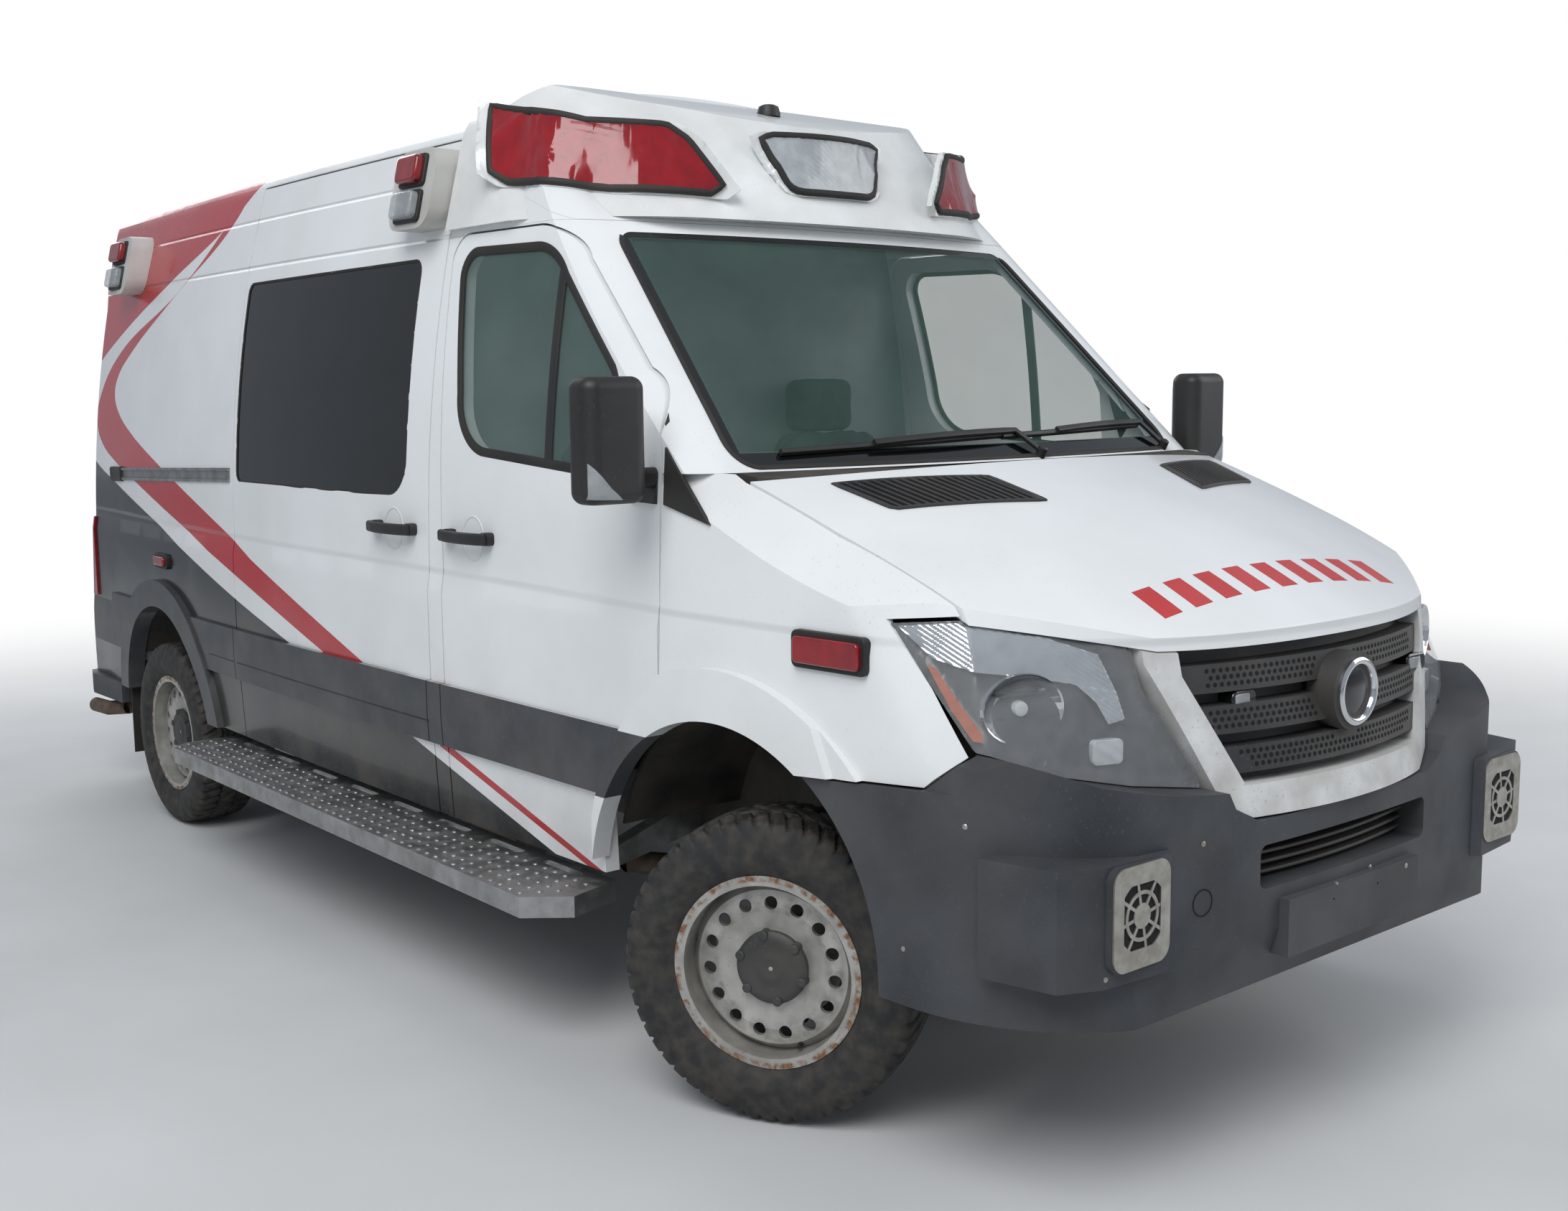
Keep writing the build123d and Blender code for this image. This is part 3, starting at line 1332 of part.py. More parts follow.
# Seats on their plinths
seat_x, seat_half = 430.0, 235.0
seat_outline = [
    (-1100, floor_high_z), (-1100, 850), (-1205, 860), (-1215, 955), (-1170, 985), (-800, 965), (-775, 1020),
    (-690, 1550), (-640, 1562), (-612, 1540), (-668, 1020), (-690, 850), (-760, 840), (-760, floor_high_z),
]
head_outline = [(-672, 1560), (-690, 1620), (-668, 1775), (-620, 1785), (-604, 1640), (-622, 1560)]
with BuildPart() as seats:
    for s in (1, -1):
        add(prism_x(seat_outline, s * seat_x - seat_half, s * seat_x + seat_half))
        add(prism_x(head_outline, s * seat_x - 125, s * seat_x + 125))
    with BuildSketch(Plane.XZ.offset(1300)):
        for s in (1, -1):
            with Locations((s * seat_x, 1240)):
                RectangleRounded(2 * seat_half, 1240, 90)
            with Locations((s * seat_x, 1690)):
                RectangleRounded(250, 230, 50)
    extrude(amount=-800, mode=Mode.INTERSECT)
seats.part.label = "seats"
export_step(seats.part, "parts/seats.step")

# Roof fairing over the windscreen, seated on the roof, with its lenses
fairing_plans = [
    (2190.0, -1275.0, (430.0, -1245.0), (790.0, -1075.0), (916.0, -790.0), 920.0),
    (2480.0, -1090.0, (450.0, -1040.0), (735.0, -865.0), (850.0, -590.0), 852.0),
]
fairing_rear_y = -549.0
fairing_out = 26.0
fairing_top = [
    (-1400, 2100), (-1400, 2300), (-1170, 2452), (-1020, 2520), (-800, 2585), (fairing_rear_y, 2641),
    (fairing_rear_y, 2100),
]
lens_out = 9.0


def fairing_solid(grow):
    """The fairing's outer form down through the roof, drawn out by a growth."""
    low, high = fairing_plans
    with BuildPart() as solid:
        for z in (2150.0, 2700.0):
            t = (z - low[0]) / (high[0] - low[0])
            middle = low[1] + t * (high[1] - low[1]) - grow
            knots = [
                (a[0] + t * (b[0] - a[0]) + grow / 2, a[1] + t * (b[1] - a[1]) - grow)
                for a, b in zip(low[2:5], high[2:5])
            ]
            side_x = low[5] + t * (high[5] - low[5]) + grow
            with BuildSketch(Plane.XY.offset(z)):
                with BuildLine():
                    ThreePointArc((-knots[0][0], knots[0][1]), (0, middle), knots[0])
                    for s in (1, -1):
                        ThreePointArc(*[(s * x, y) for x, y in knots])
                        Polyline((s * knots[2][0], knots[2][1]), (s * side_x, -300), (s * side_x, -200))
                    Line((-side_x, -200), (side_x, -200))
                make_face()
        loft(ruled=True)
    return solid.part


def roof_solid(grow):
    """The body's roof under the fairing, drawn out by a clearance."""
    with BuildPart() as solid:
        add(body_solid(-grow))
        add(slope_keep(-grow * 1.3), clean=False, mode=Mode.INTERSECT)
        add(screen_keep(-grow * 1.5), clean=False, mode=Mode.INTERSECT)
    return solid.part


with BuildPart() as roof_fairing:
    add(fairing_solid(0))
    add(prism_x(fairing_top, -1300, 1300), clean=False, mode=Mode.INTERSECT)
    add(body_solid(-fairing_out), clean=False, mode=Mode.INTERSECT)
    with BuildSketch(Plane.XY.offset(2190)):
        with Locations((0, -1000)):
            Rectangle(2600, 2000)
    extrude(amount=600, mode=Mode.INTERSECT, clean=False)
    add(roof_solid(seat_gap), clean=False, mode=Mode.SUBTRACT)
roof_fairing.part.label = "roof_fairing"
export_step(roof_fairing.part, "parts/roof_fairing.step")

side_lens = [(421, 2256), (447, 2440), (560, 2446), (690, 2430), (838, 2366), (848, 2318), (640, 2262)]
middle_lens = [(119, 2259), (226, 2446), (-226, 2446), (-119, 2259)]
with BuildPart() as fairing_lenses:
    add(fairing_solid(lens_out))
    add(fairing_solid(seat_gap), clean=False, mode=Mode.SUBTRACT)
    add(roof_solid(seat_gap), clean=False, mode=Mode.SUBTRACT)
    with BuildSketch(Plane.XZ.offset(600)):
        for points in (side_lens, [(-x, z) for x, z in side_lens], middle_lens):
            with BuildLine():
                Polyline(*points, close=True)
            make_face()
    extrude(amount=900, mode=Mode.INTERSECT, clean=False)
    add(prism_x([(-1500, 2200), (-1500, 2500), (-1040, 2500), (-600, 2380), (-600, 2200)], -1300, 1300), clean=False,
        mode=Mode.INTERSECT)
    with Locations((850, -800, 2340), (-850, -800, 2340)):
        Box(100, 200, 240, mode=Mode.SUBTRACT)
fairing_lenses.part.label = "fairing_lenses"
export_step(fairing_lenses.part, "parts/fairing_lenses.step")


def flank_pads(outlines, grow):
    """Pads standing off both flanks of the body under side-view outlines."""
    with BuildPart() as pads:
        add(body_solid(-grow))
        add(body_solid(-seat_gap), clean=False, mode=Mode.SUBTRACT)
        with BuildSketch(Plane.YZ.offset(-1300)):
            for y_low, y_high, z_low, z_high, corner in outlines:
                with Locations(((y_low + y_high) / 2, (z_low + z_high) / 2)):
                    RectangleRounded(y_high - y_low, z_high - z_low, corner)
        extrude(amount=2600, mode=Mode.INTERSECT, clean=False)
    return pads.part


# Corner beacons on the roof's shoulders and tail lamps at the rear corners
beacon_pads = [(-540, -300, 2200, 2432, 60), (2120, 2370, 2150, 2385, 60)]
beacon_out = 85.0
with BuildPart() as corner_beacons:
    add(flank_pads(beacon_pads, beacon_out))
corner_beacons.part.label = "corner_beacons"
export_step(corner_beacons.part, "parts/corner_beacons.step")

tail_lamp_out = 9.0
with BuildPart() as tail_lamps:
    add(body_solid(-tail_lamp_out))
    add(rear_keep(-tail_lamp_out), clean=False, mode=Mode.INTERSECT)
    with BuildSketch(Plane.XZ.offset(-2690)):
        for s in (1, -1):
            with Locations((s * 940, 1025)):
                Rectangle(200, 350)
    extrude(amount=-300, mode=Mode.INTERSECT, clean=False)
    add(rear_keep(-seat_gap) & body_solid(-seat_gap), clean=False, mode=Mode.SUBTRACT)
tail_lamps.part.label = "tail_lamps"
export_step(tail_lamps.part, "parts/tail_lamps.step")

# Door mirrors on arms from the doors' front corners
mirror_x_low, mirror_x_high, mirror_front_y, mirror_rear_y = 1040.0, 1214.0, -1738.0, -1634.0
mirror_low_z, mirror_high_z = 1463.0, 1758.0
for side, s in (("left", 1), ("right", -1)):
    with BuildPart() as mirror:
        with BuildSketch(Plane.XY.offset(mirror_low_z)):
            with Locations((s * (mirror_x_low + mirror_x_high) / 2, (mirror_front_y + mirror_rear_y) / 2)):
                RectangleRounded(mirror_x_high - mirror_x_low, mirror_rear_y - mirror_front_y, 40)
        extrude(amount=mirror_high_z - mirror_low_z)
        fillet(mirror.faces().sort_by(Axis.Z)[0].edges(), 30)
        fillet(mirror.faces().sort_by(Axis.Z)[-1].edges(), 30)
        with BuildSketch(Plane.XZ.offset(-mirror_rear_y)):
            with Locations((s * (mirror_x_low + mirror_x_high) / 2, (mirror_low_z + mirror_high_z) / 2)):
                RectangleRounded(mirror_x_high - mirror_x_low - 22, mirror_high_z - mirror_low_z - 26, 28)
        extrude(amount=8, mode=Mode.SUBTRACT)
        with BuildSketch(Plane.YZ.offset(s * 900)):
            with Locations((-1628, 1516)):
                RectangleRounded(44, 50, 18)
        extrude(amount=s * (mirror_x_low + 20 - 900))
        add(body_solid(-seat_gap), clean=False, mode=Mode.SUBTRACT)
    mirror.part.label = "mirror_" + side
    export_step(mirror.part, "parts/mirror_" + side + ".step")
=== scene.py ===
"""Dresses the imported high-roof van ambulance: finishes, trim, lamps, glass, wheels and a plain studio."""

import json
import logging
import math
from dataclasses import dataclass
from enum import Enum
from typing import Callable

import bmesh
import bpy
import numpy as np
from mathutils import Matrix, Vector
from mathutils.bvhtree import BVHTree


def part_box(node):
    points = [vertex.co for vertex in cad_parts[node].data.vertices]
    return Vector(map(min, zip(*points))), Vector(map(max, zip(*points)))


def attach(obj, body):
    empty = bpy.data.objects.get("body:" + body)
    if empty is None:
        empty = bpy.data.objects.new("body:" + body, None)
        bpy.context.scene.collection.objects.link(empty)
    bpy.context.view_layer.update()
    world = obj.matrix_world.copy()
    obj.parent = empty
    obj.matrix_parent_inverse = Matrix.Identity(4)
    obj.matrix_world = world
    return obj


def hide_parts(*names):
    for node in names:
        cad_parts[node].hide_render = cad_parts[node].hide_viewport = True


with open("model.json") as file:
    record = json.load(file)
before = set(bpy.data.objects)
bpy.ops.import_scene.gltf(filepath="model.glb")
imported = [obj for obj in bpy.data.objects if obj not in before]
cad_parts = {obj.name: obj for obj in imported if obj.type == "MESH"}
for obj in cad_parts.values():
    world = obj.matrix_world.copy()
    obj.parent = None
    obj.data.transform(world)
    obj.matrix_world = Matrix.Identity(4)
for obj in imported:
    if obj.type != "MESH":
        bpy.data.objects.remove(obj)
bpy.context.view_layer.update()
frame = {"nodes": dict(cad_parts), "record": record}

log = logging.getLogger("van")
Array = np.ndarray
Socket = bpy.types.NodeSocket
Point = tuple[float, float, float]
Rows = np.ndarray | list | tuple

NODES = frame["nodes"]
BODY_OF = {node: body for body, nodes in frame["record"]["behaviour"]["bodies"].items() for node in nodes}

# Places in metres
FRONT_AXLE_Y, REAR_AXLE_Y = -1.923, 1.744
WHEEL_Z, WHEEL_X, KINGPIN_X = 0.370, 0.855, 0.785
STEER = math.radians(30.0)
# Directions, and where rays that look for the body start, outside it
UP, DOWN = (0, 0, 1), (0, 0, -1)
AHEAD, ASTERN = (0, -1, 0), (0, 1, 0)
BESIDE, BEFORE, BEHIND, ABOVE = 1.3, -3.2, 3.2, 3.0
MILLIMETRE = 0.001


class Side(Enum):
    """Which flank of the vehicle a piece is on, as the sign of X."""

    LEFT = 1
    RIGHT = -1


def linear(hex_code: str) -> tuple[float, float, float, float]:
    """Turns an sRGB hex value to a linear colour.

    Args:
        hex_code: six hex digits.

    Returns:
        The linear red, green, blue and an alpha of 1.
    """
    channels = [int(hex_code[i : i + 2], 16) / 255 for i in (0, 2, 4)]
    red, green, blue = (c / 12.92 if c <= 0.04045 else ((c + 0.055) / 1.055) ** 2.4 for c in channels)
    return red, green, blue, 1.0


class Graph:
    """A material's node tree with short ways to add and join nodes."""

    # A curve node holds 0 to 1, so the vehicle's length is spread over that
    CURVE_BASE, CURVE_SPAN = -3.5, 7.0

    def __init__(self, name: str) -> None:
        """Starts a material with one Principled shader.

        Args:
            name: the real material and how its surface was made.
        """
        self.material = bpy.data.materials.new(name)
        self.material.use_nodes = True
        self.tree = self.material.node_tree
        self.shader = self.tree.nodes["Principled BSDF"]
        self.place = self.add("TexCoord", out="Object")

    @classmethod
    def on(cls, tree: bpy.types.NodeTree) -> "Graph":
        """The same ways to add nodes on a tree that is there already."""
        graph = cls.__new__(cls)
        graph.tree = tree
        return graph

    def add(self, kind: str, links: dict | None = None, out: int | str = 0, **settings: object) -> Socket:
        """Adds a node, sets its properties, and links or sets its inputs.

        Args:
            kind: the node's type without its ShaderNode prefix.
            links: input name or number to a socket or a value.
            out: the output that is returned.
            settings: properties of the node.

        Returns:
            One output of the new node.
        """
        node = self.tree.nodes.new("ShaderNode" + kind)
        for key, value in settings.items():
            setattr(node, key, value)
        for key, value in (links or {}).items():
            if isinstance(value, Socket):
                self.tree.links.new(value, node.inputs[key])
            else:
                node.inputs[key].default_value = value
        return node.outputs[out]

    def noise(self, size_mm: float, low: float = 0.35, high: float = 0.65, detail: float = 3.0) -> Socket:
        """Soft noise from 0 to 1.

        Args:
            size_mm: about how wide its blotches are.
            low: noise value that gives 0.
            high: noise value that gives 1.
            detail: octaves.

        Returns:
            The stretched noise.
        """
        raw = self.add("TexNoise", {"Vector": self.place, "Scale": 1000.0 / size_mm, "Detail": detail})
        return self.add("MapRange", {0: raw, 1: low, 2: high})

    def curve(self, value: Socket, points: list[tuple[float, float]]) -> Socket:
        """A smooth curve through points, of one coordinate.

        Args:
            value: the coordinate in metres.
            points: coordinate in, coordinate out, in metres.

        Returns:
            The curve's value in metres.
        """
        low, high = points[0][0], points[-1][0]
        base, span = self.CURVE_BASE, self.CURVE_SPAN
        share = self.add("MapRange", {0: value, 1: low, 2: high})
        node = self.tree.nodes.new("ShaderNodeFloatCurve")
        spots = node.mapping.curves[0].points
        for spot, (at, to) in zip((spots[0], spots[-1]), (points[0], points[-1])):
            spot.location = ((at - low) / (high - low), (to - base) / span)
        for at, to in points[1:-1]:
            spots.new((at - low) / (high - low), (to - base) / span)
        node.mapping.update()
        self.tree.links.new(share, node.inputs["Value"])
        return self.add("MapRange", {0: node.outputs[0], 3: base, 4: base + span})

    def beyond(self, value: Socket | float, limit: Socket | float, soft_mm: float = 1.0) -> Socket:
        """1 where a value is over a limit, 0 under it, with a short soft edge."""
        gap = self.add("Math", {0: value, 1: limit}, operation="SUBTRACT")
        return self.add("MapRange", {0: gap, 1: -soft_mm / 2000, 2: soft_mm / 2000})

    def within(self, value: Socket, low: float, high: float) -> Socket:
        """1 where a value lies between two limits."""
        return self.all_of(self.beyond(value, low), self.beyond(high, value))

    def fold(self, operation: str, *values: Socket | float) -> Socket:
        """Several numbers joined one after the other by an operation."""
        result = values[0]
        for value in values[1:]:
            result = self.add("Math", {0: result, 1: value}, operation=operation)
        return result

    def all_of(self, *masks: Socket | float) -> Socket:
        """The product of several masks."""
        return self.fold("MULTIPLY", *masks)

    def any_of(self, *masks: Socket | float) -> Socket:
        """The largest of several masks."""
        return self.fold("MAXIMUM", *masks)

    def mix(self, share: Socket | float, a: object, b: object) -> Socket:
        """Turns colour a to colour b by a share."""
        return self.add("Mix", {0: share, 6: a, 7: b}, out=2, data_type="RGBA")

    def blend(self, share: Socket | float, a: object, b: object) -> Socket:
        """Turns number a to number b by a share."""
        return self.add("Mix", {0: share, 2: a, 3: b}, data_type="FLOAT")

    def bump(self, height: Socket, depth_mm: float, under: Socket | None = None) -> Socket:
        """A bump normal from a height of 0 to 1 and its real depth in millimetres."""
        links = {"Height": height, "Distance": depth_mm * MILLIMETRE, "Strength": 1.0}
        if under is not None:
            links["Normal"] = under
        return self.add("Bump", links)

    def join(self, **values: object) -> bpy.types.Material:
        """Links or sets inputs of the shader, with _ for a space in their names.

        Returns:
            The material.
        """
        for key, value in values.items():
            socket = self.shader.inputs[key.replace("_", " ")]
            if isinstance(value, Socket):
                self.tree.links.new(value, socket)
            else:
                socket.default_value = value
        return self.material


@dataclass(frozen=True)
class Finish:
    """A finish with mottled colour, wandering roughness and a fine bump.

    Args:
        name: the real material and how its surface was made.
        light: sRGB hex of its lighter parts.
        dark: sRGB hex of its darker parts.
        roughness: its middle roughness.
        spread: how far the roughness wanders.
        metallic: 1 for bare metal.
        patch_mm: width of the colour patches.
        grain_mm: width of the surface grain.
        grain_depth_mm: depth of the grain.
        coat: clear coat weight.
        alpha: how much of what is behind it stays hidden.
        soil: share of dust and splashes on it.
        soil_hex: the dust's colour.
    """

    name: str
    light: str
    dark: str
    roughness: float
    spread: float = 0.06
    metallic: float = 0.0
    patch_mm: float = 180.0
    grain_mm: float = 2.0
    grain_depth_mm: float = 0.04
    coat: float = 0.0
    alpha: float = 1.0
    soil: float = 0.0
    soil_hex: str = "8A8074"

    def build(self) -> bpy.types.Material:
        """Makes the material."""
        g = Graph(self.name)
        patch = g.noise(self.patch_mm)
        colour = g.mix(patch, linear(self.light), linear(self.dark))
        rough = g.blend(patch, self.roughness - self.spread, self.roughness + self.spread)
        if self.soil:
            cloud = g.noise(self.patch_mm * 1.7, 0.3, 0.75, 6.0)
            speck = g.noise(7.0, 0.62, 0.70, 2.0)
            dirt = g.any_of(g.all_of(cloud, self.soil), g.all_of(speck, self.soil))
            colour = g.mix(dirt, colour, linear(self.soil_hex))
            rough = g.blend(dirt, rough, 0.85)
        if self.alpha < 1:
            g.material.surface_render_method = "BLENDED"
        if self.grain_depth_mm:
            g.join(Normal=g.bump(g.noise(self.grain_mm, 0.3, 0.7, 2.0), self.grain_depth_mm))
        g.join(Base_Color=colour, Roughness=rough, Metallic=self.metallic)
        return g.join(Coat_Weight=self.coat, Alpha=self.alpha)


# Stripe edges on the flanks: z, then y of the white field's edge, the red band's and the white strip's
INNER_EDGE = [
    (0.80, -0.38), (0.88, -0.12), (1.13, 0.70), (1.245, 1.06), (1.395, 1.56), (1.454, 1.76), (1.586, 2.17),
    (1.66, 2.33), (1.736, 2.40), (1.82, 2.36), (1.913, 2.194), (2.10, 1.75), (2.349, 1.19), (2.53, 1.03),
]
RED_EDGE = [
    (0.80, -0.14), (0.876, 0.15), (1.10, 0.99), (1.374, 2.067), (1.45, 2.36), (1.52, 2.56), (1.62, 2.66),
    (1.737, 2.62), (1.917, 2.354), (2.137, 1.664), (2.39, 1.20), (2.53, 1.00),
]
WHITE_EDGE = [
    (0.80, 0.08), (0.873, 0.40), (0.999, 0.948), (1.194, 1.695), (1.363, 2.365), (1.45, 2.68), (1.55, 2.83),
    (1.70, 2.86), (1.847, 2.72), (1.979, 2.40), (2.186, 1.76), (2.356, 1.24), (2.53, 0.90),
]
# Three slanting edges on the lower front door: y at the door's foot and at the wedge's head
WEDGE_FOOT, WEDGE_HEAD = 0.478, 0.690
WEDGE_EDGES = [(-1.400, -0.660), (-1.330, -0.570), (-1.180, -0.410)]
# The black field turns red over this height
RED_FIELD_Z = 1.70
# Lower and upper height, front and rear end of the dark cladding and of the rear corner piece
CLADDING, CORNER_PIECE = (0.700, 0.885, -1.645, 2.43), (0.640, 0.840, 2.20, 2.83)
# Middle, radius and top of the rear wheel's dark flare
FLARE_MIDDLE, FLARE_RADIUS, FLARE_TOP = (0.0, 1.768, 0.372), 0.6225, 1.02
# The pressed waist line: y and z along it
CREASE = [(-1.70, 1.195), (-0.60, 1.212), (0.90, 1.222), (2.40, 1.240)]
# Pressed flutes along the upper flank: height, and depth in millimetres. They end behind the front doors.
UPPER_LINES = [(2.345, 4.0), (2.175, 5.0)]
UPPER_LINES_FRONT = -0.62


def livery_paint() -> bpy.types.Material:
    """Gloss enamel in white with red, white and black bands, grained plastic cladding and flares, and road dirt."""
    g = Graph("gloss_enamel_livery")
    y, z = (g.add("SeparateXYZ", {0: g.place}, out=i) for i in (1, 2))
    white, red, black = linear("E9EBEC"), linear("B4101D"), linear("17181A")
    colour = g.mix(g.noise(420), white, linear("E2E4E4"))
    inner, outer, rim = (g.beyond(y, g.curve(z, edge)) for edge in (INNER_EDGE, RED_EDGE, WHITE_EDGE))
    field = g.mix(g.beyond(z, RED_FIELD_Z, 30), black, red)
    banded = colour
    for mask, shade in ((inner, red), (outer, colour), (rim, field)):
        banded = g.mix(mask, banded, shade)
    low_bands = colour
    for (foot, head), shade in zip(WEDGE_EDGES, (red, colour, black)):
        edge = g.add("MapRange", {0: z, 1: WEDGE_FOOT, 2: WEDGE_HEAD, 3: foot, 4: head})
        low_bands = g.mix(g.beyond(y, edge), low_bands, shade)
    paint = g.mix(g.beyond(z, CLADDING[1]), low_bands, banded)
    # Cladding, rear flares and corner pieces
    belt, corner = (g.all_of(g.within(z, foot, top), g.within(y, front, rear))
                    for foot, top, front, rear in (CLADDING, CORNER_PIECE))
    across = g.add("CombineXYZ", {1: y, 2: z})
    away = g.add("VectorMath", {0: across, 1: FLARE_MIDDLE}, out=1, operation="DISTANCE")
    flare = g.all_of(g.beyond(FLARE_RADIUS, away), g.beyond(FLARE_TOP, z))
    plastic = g.any_of(belt, corner, flare)
    paint = g.mix(plastic, paint, g.mix(g.noise(90), linear("3A3D42"), linear("2E3136")))
    # Dust rises from the sills, and fine specks lie all over
    low = g.add("MapRange", {0: z, 1: 1.15, 2: 0.45})
    cloud = g.noise(260, 0.35, 0.85, 7.0)
    speck = g.noise(6.0, 0.66, 0.72, 2.0)
    dust = g.any_of(g.all_of(cloud, low, 0.42), g.all_of(speck, g.noise(500), 0.35))
    paint = g.mix(dust, paint, linear("8C8478"))
    rough = g.blend(plastic, g.blend(g.noise(300), 0.16, 0.24), 0.62)
    rough = g.blend(dust, rough, 0.8)
    # Pressed lines: a soft step at the waist and two flutes on the upper flank
    crease = g.fold("SUBTRACT", z, g.curve(y, CREASE))
    step = g.add("MapRange", {0: crease, 1: -0.012, 2: 0.012}, interpolation_type="SMOOTHSTEP")
    normal = g.bump(step, 5.0)
    for line_z, depth in UPPER_LINES:
        off = g.add("Math", {0: g.fold("SUBTRACT", z, line_z)}, operation="ABSOLUTE")
        flute = g.add("MapRange", {0: off, 1: 0.0, 2: 0.009}, interpolation_type="SMOOTHSTEP")
        normal = g.bump(g.any_of(flute, g.beyond(UPPER_LINES_FRONT, y)), depth, normal)
    normal = g.bump(g.all_of(g.noise(1.6, 0.3, 0.7, 2.0), plastic), 0.10, normal)
    g.join(Base_Color=paint, Roughness=rough, Normal=normal)
    return g.join(Coat_Weight=0.35, Coat_Roughness=0.06)


# The windscreen's clear field: foot and head, its half width at the body's opening, and the border's width
SCREEN_FOOT, SCREEN_HEAD, SCREEN_HALF = (1.536, 1.572), (2.146, 2.128), (0.838, 0.742)
SCREEN_BORDER = 0.030


def tinted_screen() -> bpy.types.Material:
    """Laminated green-tinted windscreen glass with a black baked border."""
    g = Graph("laminated_glass_green_tint")
    x, z = (g.add("SeparateXYZ", {0: g.place}, out=i) for i in (0, 2))
    reach = g.add("Math", {0: x}, operation="ABSOLUTE")
    foot, head = (half - SCREEN_BORDER for half in SCREEN_HALF)
    side = g.add("MapRange", {0: z, 1: SCREEN_FOOT[0], 2: SCREEN_HEAD[0], 3: foot, 4: head})
    border = g.any_of(g.beyond(reach, side, 3), g.beyond(z, SCREEN_HEAD[1], 3), g.beyond(SCREEN_FOOT[1], z, 3))
    g.material.surface_render_method = "BLENDED"
    haze = g.all_of(g.noise(340, 0.4, 0.8, 6.0), 0.06)
    alpha = g.blend(border, g.fold("ADD", haze, 0.12), 1.0)
    colour = g.mix(border, linear("5F8276"), linear("0C0D0E"))
    return g.join(Base_Color=colour, Alpha=alpha, Roughness=g.blend(haze, 0.03, 0.2), Specular_IOR_Level=0.8)


# Distances from the axle where the rim's lip starts, its ring of holes lies and the tread starts
RIM_LIP, RIM_HOLES, TREAD_FOOT = 0.219, (0.136, 0.181), 0.352


def rim_enamel() -> bpy.types.Material:
    """Silver wheel enamel on pressed steel, with rust along the lip and round the holes and a sooty well."""
    g = Graph("silver_wheel_enamel")
    reach = g.add("Attribute", out="Fac", attribute_name="reach")
    lip = g.beyond(reach, RIM_LIP, 6)
    near_holes = g.all_of(g.beyond(reach, RIM_HOLES[0], 8), g.beyond(RIM_HOLES[1], reach, 8))
    colour = g.mix(g.noise(60), linear("B9B7B1"), linear("A09E98"))
    soot = g.all_of(near_holes, g.noise(30, 0.4, 0.8, 5.0), 0.55)
    colour = g.mix(soot, colour, linear("5A5550"))
    rust = g.all_of(lip, g.noise(22, 0.42, 0.60, 6.0))
    spots = g.all_of(g.noise(5, 0.66, 0.72, 2.0), 0.5)
    rust = g.any_of(rust, spots)
    colour = g.mix(rust, colour, g.mix(g.noise(9), linear("6B4A36"), linear("8A6A50")))
    rough = g.blend(rust, g.blend(g.noise(40), 0.34, 0.46), 0.9)
    g.join(Base_Color=colour, Roughness=rough)
    return g.join(Metallic=g.blend(rust, 0.55, 0.0), Normal=g.bump(g.noise(3), 0.05))


def tyre_rubber() -> bpy.types.Material:
    """Vulcanised tyre rubber with brown dust in the tread and on the shoulder."""
    g = Graph("vulcanised_tyre_rubber")
    reach = g.add("Attribute", out="Fac", attribute_name="reach")
    tread = g.beyond(reach, TREAD_FOOT, 14)
    colour = g.mix(g.noise(70), linear("222223"), linear("2B2A29"))
    dust = g.all_of(g.noise(35, 0.4, 0.8, 6.0), g.blend(tread, 0.30, 0.55))
    colour = g.mix(dust, colour, linear("6B6459"))
    return g.join(Base_Color=colour, Roughness=g.blend(dust, 0.72, 0.95), Normal=g.bump(g.noise(1.5), 0.12))


def lens(name: str, hex_code: str, alpha: float, pitch_mm: float, depth_mm: float) -> bpy.types.Material:
    """A moulded lens with fine upright prisms.

    Args:
        name: material name.
        hex_code: sRGB colour.
        alpha: how much it hides.
        pitch_mm: distance between prisms.
        depth_mm: their depth, or 0 for a plain face.

    Returns:
        The material.
    """
    g = Graph(name)
    g.material.surface_render_method = "BLENDED"
    colour = linear(hex_code)
    darker = tuple(channel * 0.8 for channel in colour[:3]) + (1.0,)
    if depth_mm:
        scale = 1000.0 / pitch_mm / (2 * math.pi)
        wave = g.add("TexWave", {"Vector": g.place, "Scale": scale}, bands_direction="DIAGONAL")
        g.join(Normal=g.bump(wave, depth_mm))
    g.join(Base_Color=g.mix(g.noise(40), colour, darker), Alpha=alpha)
    return g.join(Roughness=g.blend(g.noise(50), 0.06, 0.16), Coat_Weight=0.6)


def board_metal() -> bpy.types.Material:
    """Worn bare aluminium tread plate with dirt between its raised dimples."""
    g = Graph("worn_tread_aluminium")
    patch = g.noise(120, 0.3, 0.7, 6.0)
    colour = g.mix(patch, linear("B4B5B5"), linear("8E8E8C"))
    dirt = g.all_of(g.noise(45, 0.45, 0.75, 6.0), 0.6)
    colour = g.mix(dirt, colour, linear("6A655D"))
    return g.join(
        Base_Color=colour,
        Roughness=g.blend(dirt, 0.38, 0.75),
        Metallic=g.blend(dirt, 0.9, 0.1),
        Normal=g.bump(g.noise(4), 0.15),
    )


